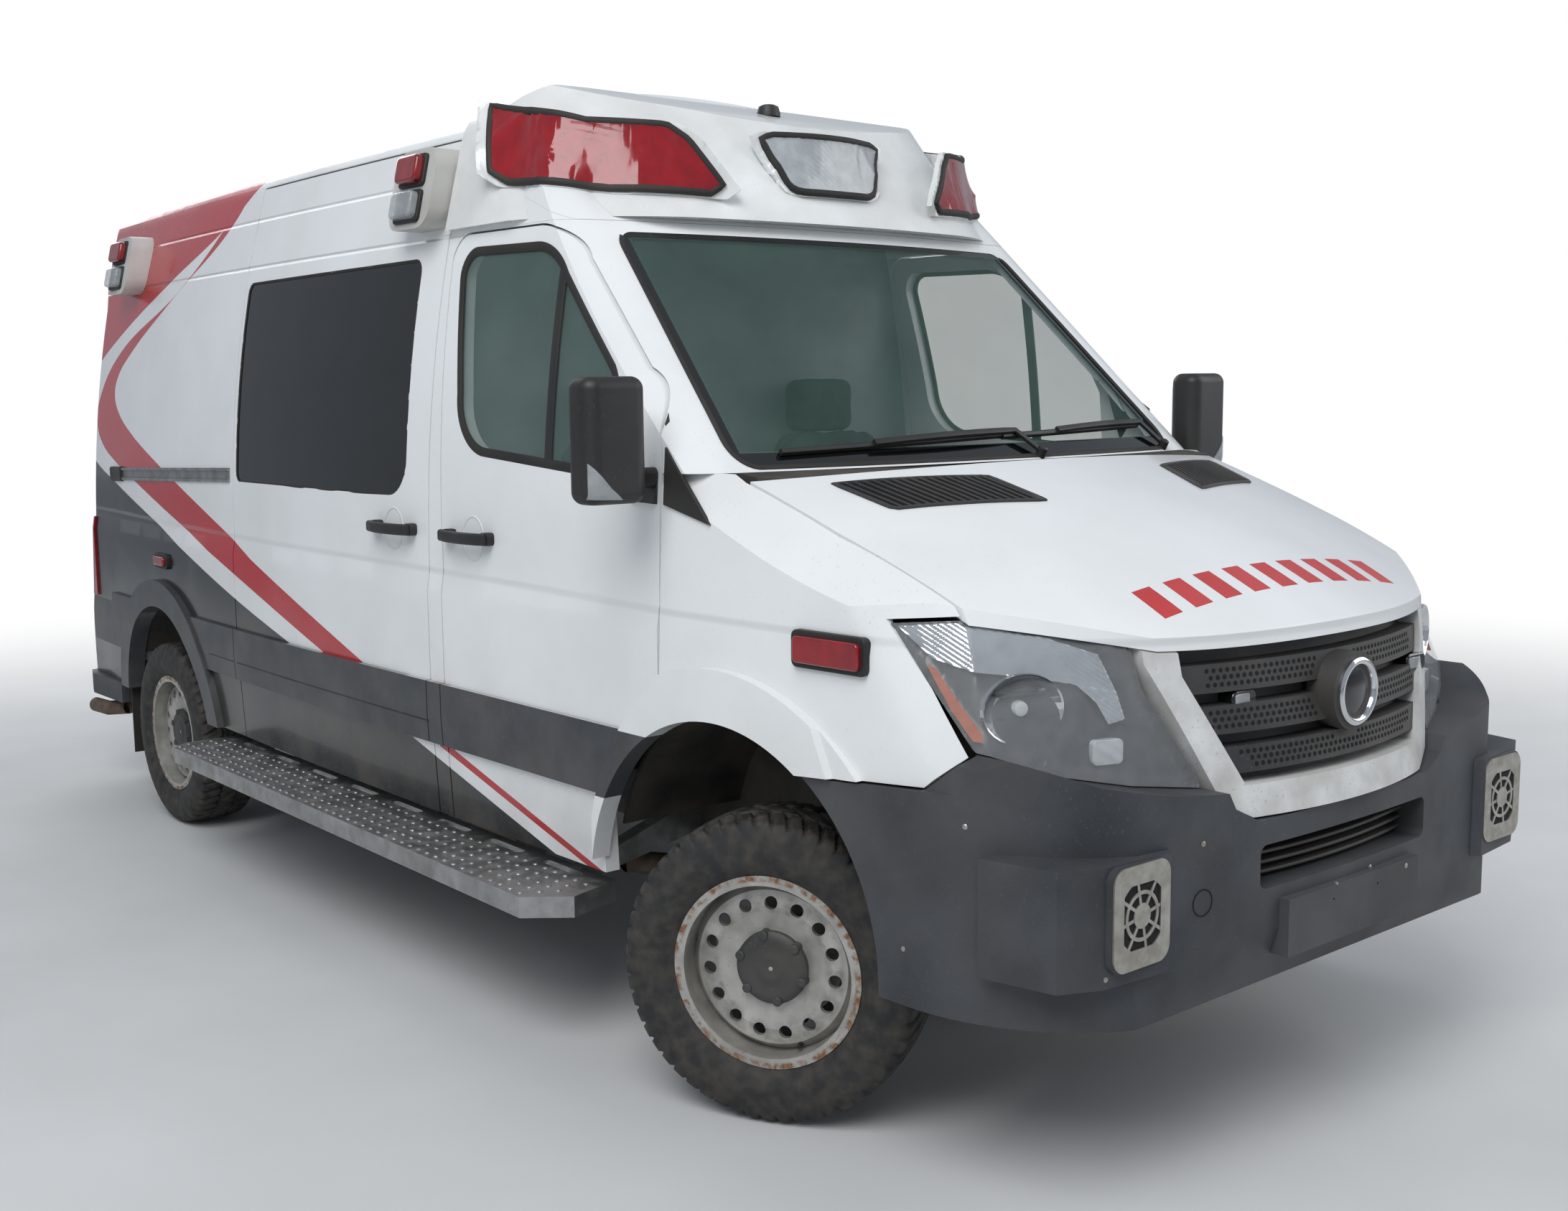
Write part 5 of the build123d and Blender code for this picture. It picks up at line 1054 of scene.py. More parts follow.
@dataclass(frozen=True)
class Wheel:
    """One wheel: tyre with its tread, rim, cap and bolts.

    Args:
        place: front_left and so on.
        side: flank.
        axle_y: the axle's place along the vehicle.
        steered: whether it stands at the steering angle.
        radius: over the tread.
        half_width: half of the tyre's width.
        bead_half: half of the width between the beads.
        bead_radius: top of the rim's flange.
        bore: radius of the bead.
        lugs: tread blocks round the tyre.
        per_lug: steps round each block.
        groove: depth of the tread.
        shoulder: how far the flat tread ends from the wall.
        crown: how much the tread's edge is lower than its middle.
        bolt_circle: radius of the wheel bolts' circle.
        valve_circle: distance of the valve from the axle.
    """

    place: str
    side: Side
    axle_y: float
    steered: bool
    radius: float = 0.370
    half_width: float = 0.1225
    bead_half: float = 0.0947
    bead_radius: float = 0.235
    bore: float = 0.2184
    lugs: int = 54
    per_lug: int = 10
    groove: float = 0.0085
    shoulder: float = 0.034
    crown: float = 0.006
    bolt_circle: float = 0.080
    valve_circle: float = 0.196

    # Turned sections: distance outboard and distance from the piece's own axis
    CAP = (
        (0.0715, 0.0), (0.0735, 0.020), (0.0745, 0.030), (0.0725, 0.034), (0.0725, 0.060), (0.0745, 0.066),
        (0.0740, 0.078), (0.066, 0.088), (0.052, 0.0885), (0.060, 0.03), (0.060, 0.0),
    )
    BOLT = ((0.050, 0.0), (0.0768, 0.0), (0.0785, 0.004), (0.0785, 0.008), (0.0765, 0.0115), (0.050, 0.013))
    VALVE = ((0.030, 0.0), (0.070, 0.0), (0.072, 0.002), (0.072, 0.0045), (0.052, 0.005), (0.030, 0.006))

    def axis(self) -> tuple[Vector, Vector]:
        """The wheel's middle and its outboard direction."""
        turn = STEER if self.steered else 0.0
        s = self.side.value
        out = Vector((s * math.cos(turn), s * math.sin(turn), 0.0))
        return Vector((s * KINGPIN_X, self.axle_y, WHEEL_Z)) + out * (WHEEL_X - KINGPIN_X), out

    def section(self) -> tuple[Array, Array, Array]:
        """The tyre's closed cross-section, from the inner bead over the wall, the shoulder and the crowned tread.

        Returns:
            Places along the axle, radii, and how far the tread's pattern reaches at each.
        """
        half, r = self.half_width, self.radius
        side_a = [self.bead_half, self.bead_half + 0.006, half - 0.011, half - 0.002, half, half - 0.002, half - 0.006]
        side_r = [self.bore, self.bead_radius, self.bead_radius + 0.012, 0.268, 0.292, 0.318, 0.338]
        shoulder_a = [half - 0.010, half - 0.016, half - 0.026]
        shoulder_r = [r - 0.022, r - 0.012, r - 0.0065]
        flat = half - self.shoulder
        tread_a = np.linspace(flat, -flat, 30)
        tread_r = r - self.crown * (tread_a / flat) ** 2
        a = np.concatenate([side_a, shoulder_a, tread_a, -np.array(shoulder_a[::-1]), -np.array(side_a[::-1])])
        rr = np.concatenate([side_r, shoulder_r, tread_r, shoulder_r[::-1], side_r[::-1]])
        tread = np.clip((rr - (r - 0.024)) / 0.010, 0, 1)
        return a, rr, tread

    def tread(self, angle: Array, along: Array) -> Array:
        """Depth share of the all-terrain pattern: two zigzag grooves, lateral slots at the shoulders and
        slanting slots between the middle blocks, each a narrow band where a saw of the angle is near zero."""
        phase = angle * self.lugs / (2 * np.pi)
        saw = np.abs(phase % 1.0 - 0.5) * 2
        zig = np.abs(np.abs(along) - (0.030 + 0.007 * saw)) < 0.0036
        slant = 9.0 * np.abs(along)
        outer = (np.abs(along) > 0.034) & (np.abs((phase + slant) % 1.0 - 0.5) < 0.14)
        middle = (np.abs(along) < 0.028) & (np.abs((phase * 0.5 + 14 * along) % 1.0 - 0.5) < 0.085)
        return np.maximum.reduce([zig, outer, middle]).astype(float)

    def build_tyre(self) -> None:
        """Turns the section about the axle, with the pattern cut into its radius."""
        along, radius, share = self.section()
        steps = self.lugs * self.per_lug
        angle = round_angles(steps)[:, None]
        cut = self.tread(angle, along[None]) * share[None] * self.groove
        on_wall = np.abs(radius - 0.336) < 0.012
        rib = on_wall * (np.abs((angle * self.lugs / (2 * np.pi)) % 1.0 - 0.5) < 0.2) * 0.0018
        r = radius[None] - cut - rib * (1 - share[None])
        middle, out = self.axis()
        one = Vector(UP)
        two = out.cross(one)
        spin = np.cos(angle)[..., None] * np.array(one) + np.sin(angle)[..., None] * np.array(two)
        verts = np.array(middle) + along[None, :, None] * np.array(out) + r[..., None] * spin
        faces = tube_faces(steps, len(along), True)
        fields = {"reach": r.ravel()}
        body = BODY_OF["tyre_" + self.place]
        tyre = put("tyre_tread_" + self.place, verts.reshape(-1, 3), faces, body, Paint.TYRE, 50, fields=fields)
        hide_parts("tyre_" + self.place)

    def build(self) -> None:
        """Makes the tyre, the rim's skin, the cap, its bolts and the valve."""
        self.build_tyre()
        middle, out = self.axis()
        body = BODY_OF["rim_" + self.place]
        dress("rim_" + self.place, Paint.RIM, 22, (middle, out))
        parts = [lathe(self.CAP, middle, out, 72)]
        parts += [lathe(self.BOLT, self.round_axle(60 * k + 12, self.bolt_circle), out, 16) for k in range(6)]
        put("hub_cap_" + self.place, *merge(parts), body, Paint.CAP, 40)
        stem = lathe(self.VALVE, self.round_axle(200, self.valve_circle), out, 12)
        put("valve_" + self.place, *stem, body, Paint.RUBBER)

    def round_axle(self, degrees: float, reach: float) -> Vector:
        """A place beside the axle, at an angle from the top and a distance."""
        middle, out = self.axis()
        turn, top = math.radians(degrees), Vector(UP)
        return middle + (top * math.cos(turn) + out.cross(top) * math.sin(turn)) * reach


@dataclass(frozen=True)
class Glazing:
    """Seals round the panes, the quarter light's bar and the wipers.

    Args:
        bar_y: place of the quarter light's bar along the vehicle.
        bar: its width and thickness.
        blade: width and thickness of a wiper blade.
        arm: width, thickness and corner radius of a wiper arm.
        lift: height of the blades over the glass.
    """

    bar_y: float = -1.165
    bar: tuple[float, float] = (0.034, 0.006)
    blade: tuple[float, float] = (0.014, 0.010)
    arm: Point = (0.018, 0.010, 0.003)
    lift: float = 0.008

    # The way the windscreen faces, and each blade's outer and inner end as X and Z
    SCREEN_OUT = (0, -0.72, 0.69)
    BLADES = (((0.10, 1.590), (-0.70, 1.566)), ((0.72, 1.600), (0.05, 1.585)))
    PIVOT = ((-0.02, 0), (0.014, 0.0), (0.016, 0.006), (0.012, 0.013), (-0.02, 0.014))
    # Each pane: the way it faces, and its seal's width and thickness
    SEALS = {
        "slider_glass": ((-1, 0, 0), 0.010, 0.004), "door_glass_left": ((1, 0, 0), 0.026, 0.006),
        "door_glass_right": ((-1, 0, 0), 0.026, 0.006), "windshield": ((0, -0.7, 0.7), 0.014, 0.005),
        "rear_glass_left": (ASTERN, 0.020, 0.005), "rear_glass_right": (ASTERN, 0.020, 0.005),
    }

    def seals(self) -> None:
        """A flat rubber seal swept round each pane's outer edge."""
        for node, (outward, width, thick) in self.SEALS.items():
            loop = resample(rim_loop(node, outward), 0.015)
            verts, faces = sweep(loop, outward, strip(width, thick), True)
            put("seal_" + node, verts, faces, BODY_OF[node], Paint.RUBBER, 50)

    def quarter_bars(self) -> None:
        """The upright bar between each front door's window and its quarter light."""
        for side in Side:
            label = side.name.lower()
            skin = Skin("door_glass_" + label)
            s = side.value
            heights = np.arange(1.45, 2.15, 0.01)
            seen = [z for z in heights if skin.hit((s * BESIDE, self.bar_y, z), (-s, 0, 0))[0] is not None]
            line = np.array([(s * BESIDE, self.bar_y, z) for z in np.linspace(seen[0], seen[-1], 14)])
            path = skin.lay(line, (-s, 0, 0))
            bar = sweep(path, (s, 0, 0), strip(*self.bar), False)
            put("quarter_bar_" + label, *bar, "door_" + label, Paint.TRIM, 50)

    def wipers(self) -> None:
        """Two blades that lie along the foot of the windscreen, with arms that arch over them from their pivots."""
        screen = Skin("windshield")
        out = np.array(self.SCREEN_OUT)
        parts = []
        for (x0, z0), (x1, z1) in self.BLADES:
            t = np.linspace(0, 1, 18)
            row = np.stack([x0 + (x1 - x0) * t, np.zeros(18), z0 + (z1 - z0) * t], 1)
            blade = screen.lay(row, ASTERN) + out * self.lift
            parts.append(sweep(blade, out, strip(*self.blade), False))
            arm = blade[:12] + out * (0.010 + 0.010 * np.sin(np.linspace(0.6, 3.0, 12)))[:, None]
            arm = np.concatenate([[(x0 + 0.06, blade[0, 1] - 0.055, 1.548)], arm])
            parts.append(sweep(arm, out, rounded(*self.arm), False))
            parts.append(lathe(self.PIVOT, arm[0], (0, -0.5, 0.86), 20))
        put("wipers", *merge(parts), "body", Paint.TRIM, 40)

    def build(self) -> None:
        """Makes every piece of the glazing."""
        self.seals()
        self.quarter_bars()
        self.wipers()


@dataclass
class Flank:
    """Trim on both flanks: handles, rail, marker lamps, mirror sails and cladding lines.

    Args:
        grip: width, thickness and corner radius of a handle.
        foot: width, height and corner radius of its feet.
        dish: half length and half height of the dish behind it.
        rail_ends: the rail's front and rear end as Y and Z.
        line_z: height of the shadow line in the cladding.
    """

    grip: Point = (0.034, 0.020, 0.009)
    foot: Point = (0.044, 0.036, 0.012)
    dish: tuple[float, float] = (0.056, 0.062)
    rail_ends: tuple = ((0.962, 1.441), (2.400, 1.399))
    line_z: float = 0.765

    # The rail's section: across it and out from the flank
    CHANNEL = (
        (-0.026, -0.006), (-0.026, 0.008), (-0.016, 0.010), (-0.014, 0.003),
        (0.014, 0.003), (0.016, 0.010), (0.026, 0.008), (0.026, -0.006),
    )
    # Between which places along the vehicle a front door lies
    DOOR_SPAN = (-1.6, -0.6)
    # The mirror's sail on the door and its front part on the fender, as Y and Z
    DOOR_SAIL = [(-1.650, 1.650), (-1.560, 1.760), (-1.545, 1.455), (-1.650, 1.452)]
    COWL_SAIL = [(-1.858, 1.412), (-1.680, 1.590), (-1.680, 1.452)]

    def __post_init__(self) -> None:
        """Gathers the flank's surface."""
        self.skin = Skin(*[n for n in WELDED_LIVERY if n not in ("hood", "roof_panel")], "slider_glass")

    def at(self, side: Side, points: list[tuple[float, float]]) -> Array:
        """Places on a flank from (y, z) pairs."""
        s = side.value
        return self.skin.lay([(s * BESIDE, y, z) for y, z in points], (-s, 0, 0))

    def handle(self, side: Side, name: str, y0: float, y1: float, z: float, body: str, dish_y: float) -> None:
        """A pull handle that arches between two feet, with a pressed dish behind it.

        Args:
            side: flank.
            name: piece name.
            y0: its front end.
            y1: its rear end.
            z: its height.
            body: body it rides on.
            dish_y: middle of the dish.
        """
        s = side.value
        share = np.linspace(0, 1, 20)
        base = self.at(side, [(y0 + (y1 - y0) * k, z) for k in share])
        lift = 0.016 + 0.028 * np.sin(np.pi * np.clip(share, 0.04, 0.96)) ** 0.45
        grip = [sweep(base + np.outer(lift, (s, 0, 0)), (s, 0, 0), rounded(*self.grip), False)]
        for y in (y0 + 0.018, y1 - 0.022):
            spot = self.at(side, [(y, z)])[0]
            grip.append(prism(rounded(*self.foot), spot, (s, 0, 0), -0.004, 0.022))
        put("handle_" + name, *merge(grip), body, Paint.TRIM, 40, bevel_mm=1.5)
        long, tall = self.dish
        dish = [(dish_y + long * math.cos(a), z - 0.004 + tall * math.sin(a)) for a in round_angles(40)]
        rim = sweep(self.at(side, dish), (s, 0, 0), strip(0.006, 0.0015), True)
        put("handle_dish_" + name, *rim, body, Paint.ENAMEL, 60)

    def lamp(self, name: str, side: Side, low: tuple[float, float], high: tuple[float, float], deep: float) -> None:
        """A red marker lamp in a black frame.

        Args:
            name: piece name.
            side: flank.
            low: one corner as Y and Z.
            high: the corner across from it.
            deep: how far its lens stands out.
        """
        s = side.value
        (y0, z0), (y1, z1) = low, high
        a, b = self.at(side, [(y0, (z0 + z1) / 2), (y1, (z0 + z1) / 2)])
        across = np.cross(b - a, UP)
        normal = unit(across) * (1 if across[0] * s > 0 else -1)
        middle = (a + b) / 2
        wide, tall = abs(y1 - y0), abs(z1 - z0)
        body = self.body_at(side, (y0 + y1) / 2)
        surround = prism(rounded(wide, tall, 0.016), middle, normal, -0.012, deep * 0.55)
        put(name + "_frame", *surround, body, Paint.TRIM, 40, bevel_mm=3)
        glass = prism(rounded(wide - 0.026, tall - 0.024, 0.012), middle, normal, deep * 0.3, deep)
        put(name + "_lens", *glass, body, Paint.RED_SOLID, 40, bevel_mm=5)

    def body_at(self, side: Side, y: float) -> str:
        """The body under a place on a flank."""
        front, rear = self.DOOR_SPAN
        return "door_" + side.name.lower() if front < y < rear else "body"

    def sail(self, side: Side) -> None:
        """The black corner plate at the mirror's foot."""
        label = side.name.lower()
        s = side.value
        out = (s, 0, 0.1)
        mount = slab(self.at(side, self.DOOR_SAIL), out, -0.004, 0.012)
        put("mirror_sail_" + label, *mount, "door_" + label, Paint.TRIM, 40, bevel_mm=2)
        front = slab(self.at(side, self.COWL_SAIL), out, -0.004, 0.007)
        put("cowl_sail_" + label, *front, "body", Paint.TRIM, 40, bevel_mm=1.5)

    def rail(self) -> None:
        """The sliding door's rail along the rear flank, with its black end."""
        (front, high), (rear, low) = self.rail_ends
        y = np.linspace(front, rear, 40)
        path = self.at(Side.RIGHT, list(zip(y, np.interp(y, (front, rear), (high, low)))))
        put("slider_rail", *sweep(path, (-1, 0, 0), self.CHANNEL, False), "body", Paint.RAIL, 40)
        cover = sweep(path[-5:], (-1, 0, 0), strip(0.062, 0.014), False)
        put("slider_rail_end", *cover, "body", Paint.TRIM, 40)

    def cladding_edges(self) -> None:
        """A dark shadow line in the lower cladding on both flanks."""
        parts = []
        for side in Side:
            for y0, y1 in ((-0.545, 0.900), (0.940, 1.190)):
                line = self.at(side, [(y, self.line_z) for y in np.linspace(y0, y1, 20)])
                parts.append(sweep(line, (side.value, 0, 0), strip(0.004, 0.0012), False))
        put("cladding_lines", *merge(parts), "body", Paint.TRIM, 50)

    def build(self) -> None:
        """Makes the flank's trim."""
        for side in Side:
            label = side.name.lower()
            self.handle(side, "door_" + label, -0.900, -0.655, 1.322, "door_" + label, -0.790)
            self.lamp("fender_marker_" + label, side, (-2.375, 1.118), (-2.150, 1.202), 0.026)
            self.lamp("rear_marker_" + label, side, (1.640, 1.045), (1.790, 1.105), 0.024)
            self.sail(side)
        self.handle(Side.RIGHT, "slider", -0.465, -0.215, 1.325, "body", -0.325)
        self.rail()
        self.cladding_edges()


class Headlamp:
    """A headlamp: a clear cover over a dark dished housing with a ribbed upper optic, bowl, small lamp and amber."""

    RIBBED = [
        (1250, 872), (1340, 868), (1460, 890), (1530, 912), (1556, 965), (1568, 1003), (1545, 1010), (1528, 980),
        (1500, 955), (1440, 945), (1360, 938), (1300, 918),
    ]
    AMBER = [(1290, 925), (1303, 931), (1340, 985), (1368, 1022), (1370, 1036), (1356, 1034), (1325, 990)]
    BOWL, SMALL = (1428, 990), (1548, 1050)
    # The way both lamps face, and turned sections: along the lamp's axis and out from it
    FACING = (0.62, 0.78, -0.05)
    DISH = (
        (-0.050, 0.0), (-0.048, 0.020), (-0.036, 0.044), (-0.014, 0.066), (-0.008, 0.071), (-0.006, 0.074),
        (-0.014, 0.076), (-0.046, 0.060), (-0.058, 0.02), (-0.058, 0.0),
    )
    BULB = ((-0.052, 0.0), (-0.016, 0.0), (-0.013, 0.008), (-0.016, 0.015), (-0.030, 0.017), (-0.052, 0.020))
    # How much wider than tall the bowl is
    STRETCH = 0.26

    def __init__(self, side: Side) -> None:
        """Sets the side up.

        Args:
            side: which lamp.
        """
        self.side = side
        self.skin = Skin("headlamps", side=side)
        self.toward = mirrored(np.array([self.FACING]), side)[0]

    def outline(self) -> Array:
        """The lamp's outline on its outer face."""
        loop = rim_loop("headlamps", (-0.62, -0.78, 0.05), 0.30, -2.0, 0.0)
        return mirrored(loop, self.side)

    def build(self) -> None:
        """Makes the lamp's pieces."""
        name = self.side.name.lower()
        away, toward = -self.toward, tuple(self.toward)
        loop = resample(self.outline(), 0.012)
        # The housing sinks towards its middle, and the cover lies over it
        dished = lambda edge, flat: -0.022 * np.clip(edge / 0.028, 0, 1) ** 0.7 - 0.004
        housing = plate(self.skin, loop, toward, 0.0, sink=0.004, step=0.014, rise=dished)
        piece = put("headlamp_housing_" + name, *housing, "body", Paint.LAMP_DARK, 60)
        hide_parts("headlamps")
        cover = plate(self.skin, loop, toward, 0.0, sink=0.003, step=0.020)
        put("headlamp_cover_" + name, *cover, "body", Paint.LAMP_COVER, 60)
        # Photograph pixels go with the right lamp; the left one is its mirror image
        right = Skin("headlamps", side=Side.RIGHT)
        ribbed, amber, (spot,), (low,) = (
            mirrored(Photo.on(right, pixels), self.side)
            for pixels in (self.RIBBED, self.AMBER, [self.BOWL], [self.SMALL])
        )
        ribs = lambda edge, flat: 0.0011 * np.sin(flat @ (0.55, 0.83) * 2 * np.pi / 0.009)
        optic = plate(self.skin, ribbed, toward, -0.0075, sink=0.013, step=0.0035, rise=ribs)
        put("headlamp_optic_" + name, *optic, "body", Paint.CHROME, 80)
        turn_lamp = plate(self.skin, amber, toward, -0.005, sink=0.012, step=0.02)
        put("headlamp_amber_" + name, *turn_lamp, "body", Paint.AMBER, 60)
        facing = unit(np.array((away[0] * 0.6, away[1] * 1.3, 0.0)))
        wide = frame_of(facing)[0]
        verts, faces = lathe(self.DISH, spot, facing, 30)
        verts = verts + np.outer((verts - spot) @ wide, wide) * self.STRETCH
        put("headlamp_bowl_" + name, verts, faces, "body", Paint.CHROME, 8)
        # Two gloss black bars across the bowl are painted shadow: the dark horizontal bands that lie across the
        # reflector
        bar = rounded(0.120, 0.007, 0.003)
        painted_shadow_bars = [prism(bar, spot + (x, 0, z), facing, -0.040, -0.020) for x, z in ((0, 0.030), (0.01, -0.022))]
        put("headlamp_shades_" + name, *merge(painted_shadow_bars), "body", Paint.GLOSS_BLACK, 40)
        put("headlamp_bulb_" + name, *lathe(self.BULB, spot, facing, 32), "body", Paint.LED, 50)
        small = prism(rounded(0.072, 0.054, 0.012), low, facing, -0.030, -0.012)
        put("headlamp_small_" + name, *small, "body", Paint.RIBBED, 40, bevel_mm=2)


@dataclass(frozen=True)
class Nose:
    """Hood vents, bars, grille lamps and perforation, boss, bumper trim and sirens.

    Args:
        bar_half: half width and half length of a red bar on the hood.
        hole_radius: radius of a hole in the grille's slats.
        hole_pitch: distance between holes.
        boss: middle of the grille's boss.
        siren: place of the left siren speaker's plate.
        siren_plate: width, height and corner radius of that plate.
        siren_opening: radius of its opening.
    """

    bar_half: tuple[float, float] = (0.030, 0.045)
    hole_radius: float = 0.0052
    hole_pitch: float = 0.0175
    boss: Point = (0, -2.9415, 1.047)
    siren: Point = (0.720, -2.9182, 0.684)
    siren_plate: Point = (0.176, 0.212, 0.034)
    siren_opening: float = 0.074

    # Turned sections: along the axis and out from it
    BOSS_RING = ((-0.012, 0.060), (0.004, 0.060), (0.008, 0.064), (0.008, 0.071), (0.004, 0.076), (-0.012, 0.076))
    BOSS_DISH = ((-0.012, 0.0), (0.001, 0.0), (-0.001, 0.034), (-0.006, 0.061), (-0.012, 0.061))
    FASTENER = ((-0.003, 0.0), (0.003, 0.0), (0.0026, 0.004), (0.001, 0.0062), (-0.003, 0.0065))
    # Foot and head of each slat
    SLATS = ((0.905, 0.962), (0.990, 1.050), (1.078, 1.138))
    # Places read off the photograph in pixels
    GRILLE_LAMPS = (("right", (1718, 972)), ("left", (1957, 920)))
    TOW_COVER = (1675, 1258)
    FASTENERS = ((1344, 1152), (1676, 1176), (1258, 1322), (1540, 1365), (1860, 1230), (1908, 1208), (1958, 1206))
    RIGHT_VENT = [(1162, 675), (1375, 664), (1455, 697), (1245, 709)]
    BARS_FROM, BARS_TO = (1612, 830), (1905, 790)

    def vents(self) -> None:
        """Two air inlets with fine ribs on the hood, over a matt black plate of painted shade."""
        skin = Skin("hood")
        corners = Photo.on(skin, self.RIGHT_VENT)
        for side in Side:
            shape = mirrored(corners, side)
            name = side.name.lower()
            # The inlet's opening is a flat matt black plate: painted shade
            put("hood_vent_" + name, *plate(skin, shape, DOWN, 0.0012, 0.004, 0.06), "hood", Paint.VOID, 40)
            ribs = []
            for k in np.linspace(0.05, 0.95, 16):
                a = shape[0] + (shape[1] - shape[0]) * k
                b = shape[3] + (shape[2] - shape[3]) * k
                line = skin.lay(np.linspace(a, b, 6) + UP, DOWN)
                ribs.append(sweep(line, UP, rounded(0.0055, 0.006, 0.002) + (0, 0.003), False))
            loop = resample(skin.lay(shape, DOWN), 0.02)
            ribs.append(sweep(skin.lay(loop, DOWN), UP, strip(0.016, 0.005), True))
            put("hood_vent_ribs_" + name, *merge(ribs), "hood", Paint.GRILLE, 40)

    def bars(self) -> None:
        """A plain row of red bars across the hood's front."""
        skin = Skin("hood")
        a, b = Photo.on(skin, [self.BARS_FROM, self.BARS_TO])
        reach = 0.5 * (abs(a[0]) + abs(b[0]))
        half, long = self.bar_half
        front, rear = sorted((a[1] - 0.02, b[1] - 0.02))
        parts = []
        for x in np.linspace(-reach, reach, 9):
            y = np.interp(abs(x), (0, reach), (front, rear))
            outline = [(x + half * i, y + long * k, 0) for i, k in ((-1, -1), (1, -1), (1, 1), (-1, 1))]
            parts.append(plate(skin, np.array(outline), DOWN, 0.0006, 0.001, 0.03))
        put("hood_bars", *merge(parts), "hood", Paint.DECAL_RED, 60)

    def grille(self) -> None:
        """Rows of holes in the slats, each a flat matt black disc of painted shade, two small lamps and the plain
        boss.
        """
        skin = Skin("grille")
        dots = []
        for low, high in self.SLATS:
            for k, share in enumerate((0.27, 0.52, 0.77)):
                z = low + (high - low) * share
                reach = 0.40 - 0.13 * max(0.0, (1.0 - z) / 0.1)
                for x in np.arange(-reach, reach + 0.001, self.hole_pitch) + self.hole_pitch / 2 * (k % 2):
                    place, normal = skin.hit((x, BEFORE, z), ASTERN)
                    near_boss = math.hypot(x, z - self.boss[2]) < 0.105
                    if near_boss or place is None or place.y > -2.70:
                        continue
                    # Each hole is a flat black disc on the slat: painted shade
                    dots.append(prism(ring(self.hole_radius, 8), place[:], normal[:], -0.002, 0.0007))
        put("grille_holes", *merge(dots), "body", Paint.VOID, 60)
        facing = (0, -1, 0.05)
        for name, px in self.GRILLE_LAMPS:
            spot = Photo.on(skin, [px])[0]
            shell = prism(rounded(0.086, 0.044, 0.018), spot, facing, -0.02, 0.030)
            put("grille_lamp_" + name, *shell, "body", Paint.GLOSS_BLACK, 40, bevel_mm=5)
            face = prism(rounded(0.086 * 0.56, 0.026, 0.006), spot + np.array((-0.012, 0, 0)), facing, 0.028, 0.034)
            put("grille_lamp_lens_" + name, *face, "body", Paint.CLEAR, 40, bevel_mm=1.5)
        put("grille_boss_ring", *lathe(self.BOSS_RING, self.boss, AHEAD, 64), "body", Paint.CHROME, 50)
        put("grille_boss", *lathe(self.BOSS_DISH, self.boss, AHEAD, 64), "body", Paint.GLOSS_BLACK, 40)

    def intake_y(self, x: Array | float, middle: float) -> Array | float:
        """The bumper's curve across the intake: a parabola that falls back to both sides."""
        return middle + 0.10 * (x / 0.62) ** 2

    def bumper(self) -> None:
        """Intake slats and uprights, tow cover, fasteners and the siren speakers' plates."""
        slats = []
        x = np.linspace(-0.335, 0.335, 24)
        for z in np.linspace(0.672, 0.738, 4):
            path = np.stack([x, self.intake_y(x, -2.872), np.full(24, z)], 1)
            slats.append(sweep(path, UP, rounded(0.050, 0.009, 0.004), False))
        for x in np.linspace(-0.30, 0.30, 13):
            spot = (x, self.intake_y(x, -2.850), 0.705)
            slats.append(prism(rounded(0.008, 0.092, 0.003), spot, AHEAD, -0.02, 0.012))
        put("intake_grille", *merge(slats), "body", Paint.GRILLE, 40)
        skin = Skin("front_bumper", "siren_pods")
        cover = Photo.on(skin, [self.TOW_COVER])[0]
        a = round_angles(32)
        circle = np.stack([cover[0] + 0.028 * np.cos(a), np.full(32, BEFORE), cover[2] + 0.028 * np.sin(a)], 1)
        # The cover's seam is a thin ring of the same matt black: painted shade of its gap
        seam = sweep(skin.lay(circle, ASTERN), AHEAD, strip(0.003, 0.0012), True)
        put("tow_cover", *seam, "body", Paint.VOID, 60)
        heads = []
        for px in self.FASTENERS:
            spot = Photo.on(skin, [px])[0]
            _, normal = skin.hit(Vector(Photo.PLACE), Vector(Photo.ray(px)))
            heads.append(lathe(self.FASTENER, spot, normal, 12))
        put("bumper_fasteners", *merge(heads), "body", Paint.STAINLESS, 40)
        for side in Side:
            self.speaker(side)

    def speaker(self, side: Side) -> None:
        """A stainless speaker plate whose round opening holds two hoops and eight spokes over a flat black disc of
        painted shade for its well.

        The plate is a band between a rounded rectangle and the circle that lies at the same angles."""
        name = side.name.lower()
        spot = np.array(self.siren) * (side.value, 1, 1)
        outer = rounded(*self.siren_plate, 24)
        angle = np.arctan2(outer[:, 1], outer[:, 0])
        inner = np.stack([np.cos(angle), np.sin(angle)], 1) * self.siren_opening
        n = len(outer)
        flat = np.concatenate([outer, inner])
        layers = [
            np.column_stack([spot[0] + flat[:, 0], np.full(2 * n, spot[1] - out), spot[2] + flat[:, 1]])
            for out in (-0.001, 0.004)
        ]
        faces = []
        for i in range(n):
            j = (i + 1) % n
            faces += [[i, j, n + j, n + i], [2 * n + i, 3 * n + i, 3 * n + j, 2 * n + j]]
            faces += [[i, 2 * n + i, 2 * n + j, j], [n + i, n + j, 3 * n + j, 3 * n + i]]
        parts = [(np.concatenate(layers), faces)]
        for low, high in ((0.0, 0.026), (0.044, 0.052)):
            hoop = np.array([(0.0, low), (0.0035, low), (0.0035, high), (0.0, high)])
            parts.append(lathe(hoop, spot, AHEAD, 48))
        for k in range(8):
            a = k * math.pi / 4 + 0.2
            middle = spot + np.array((math.cos(a), 0, math.sin(a))) * 0.050
            across = (-math.sin(a), 0, math.cos(a))
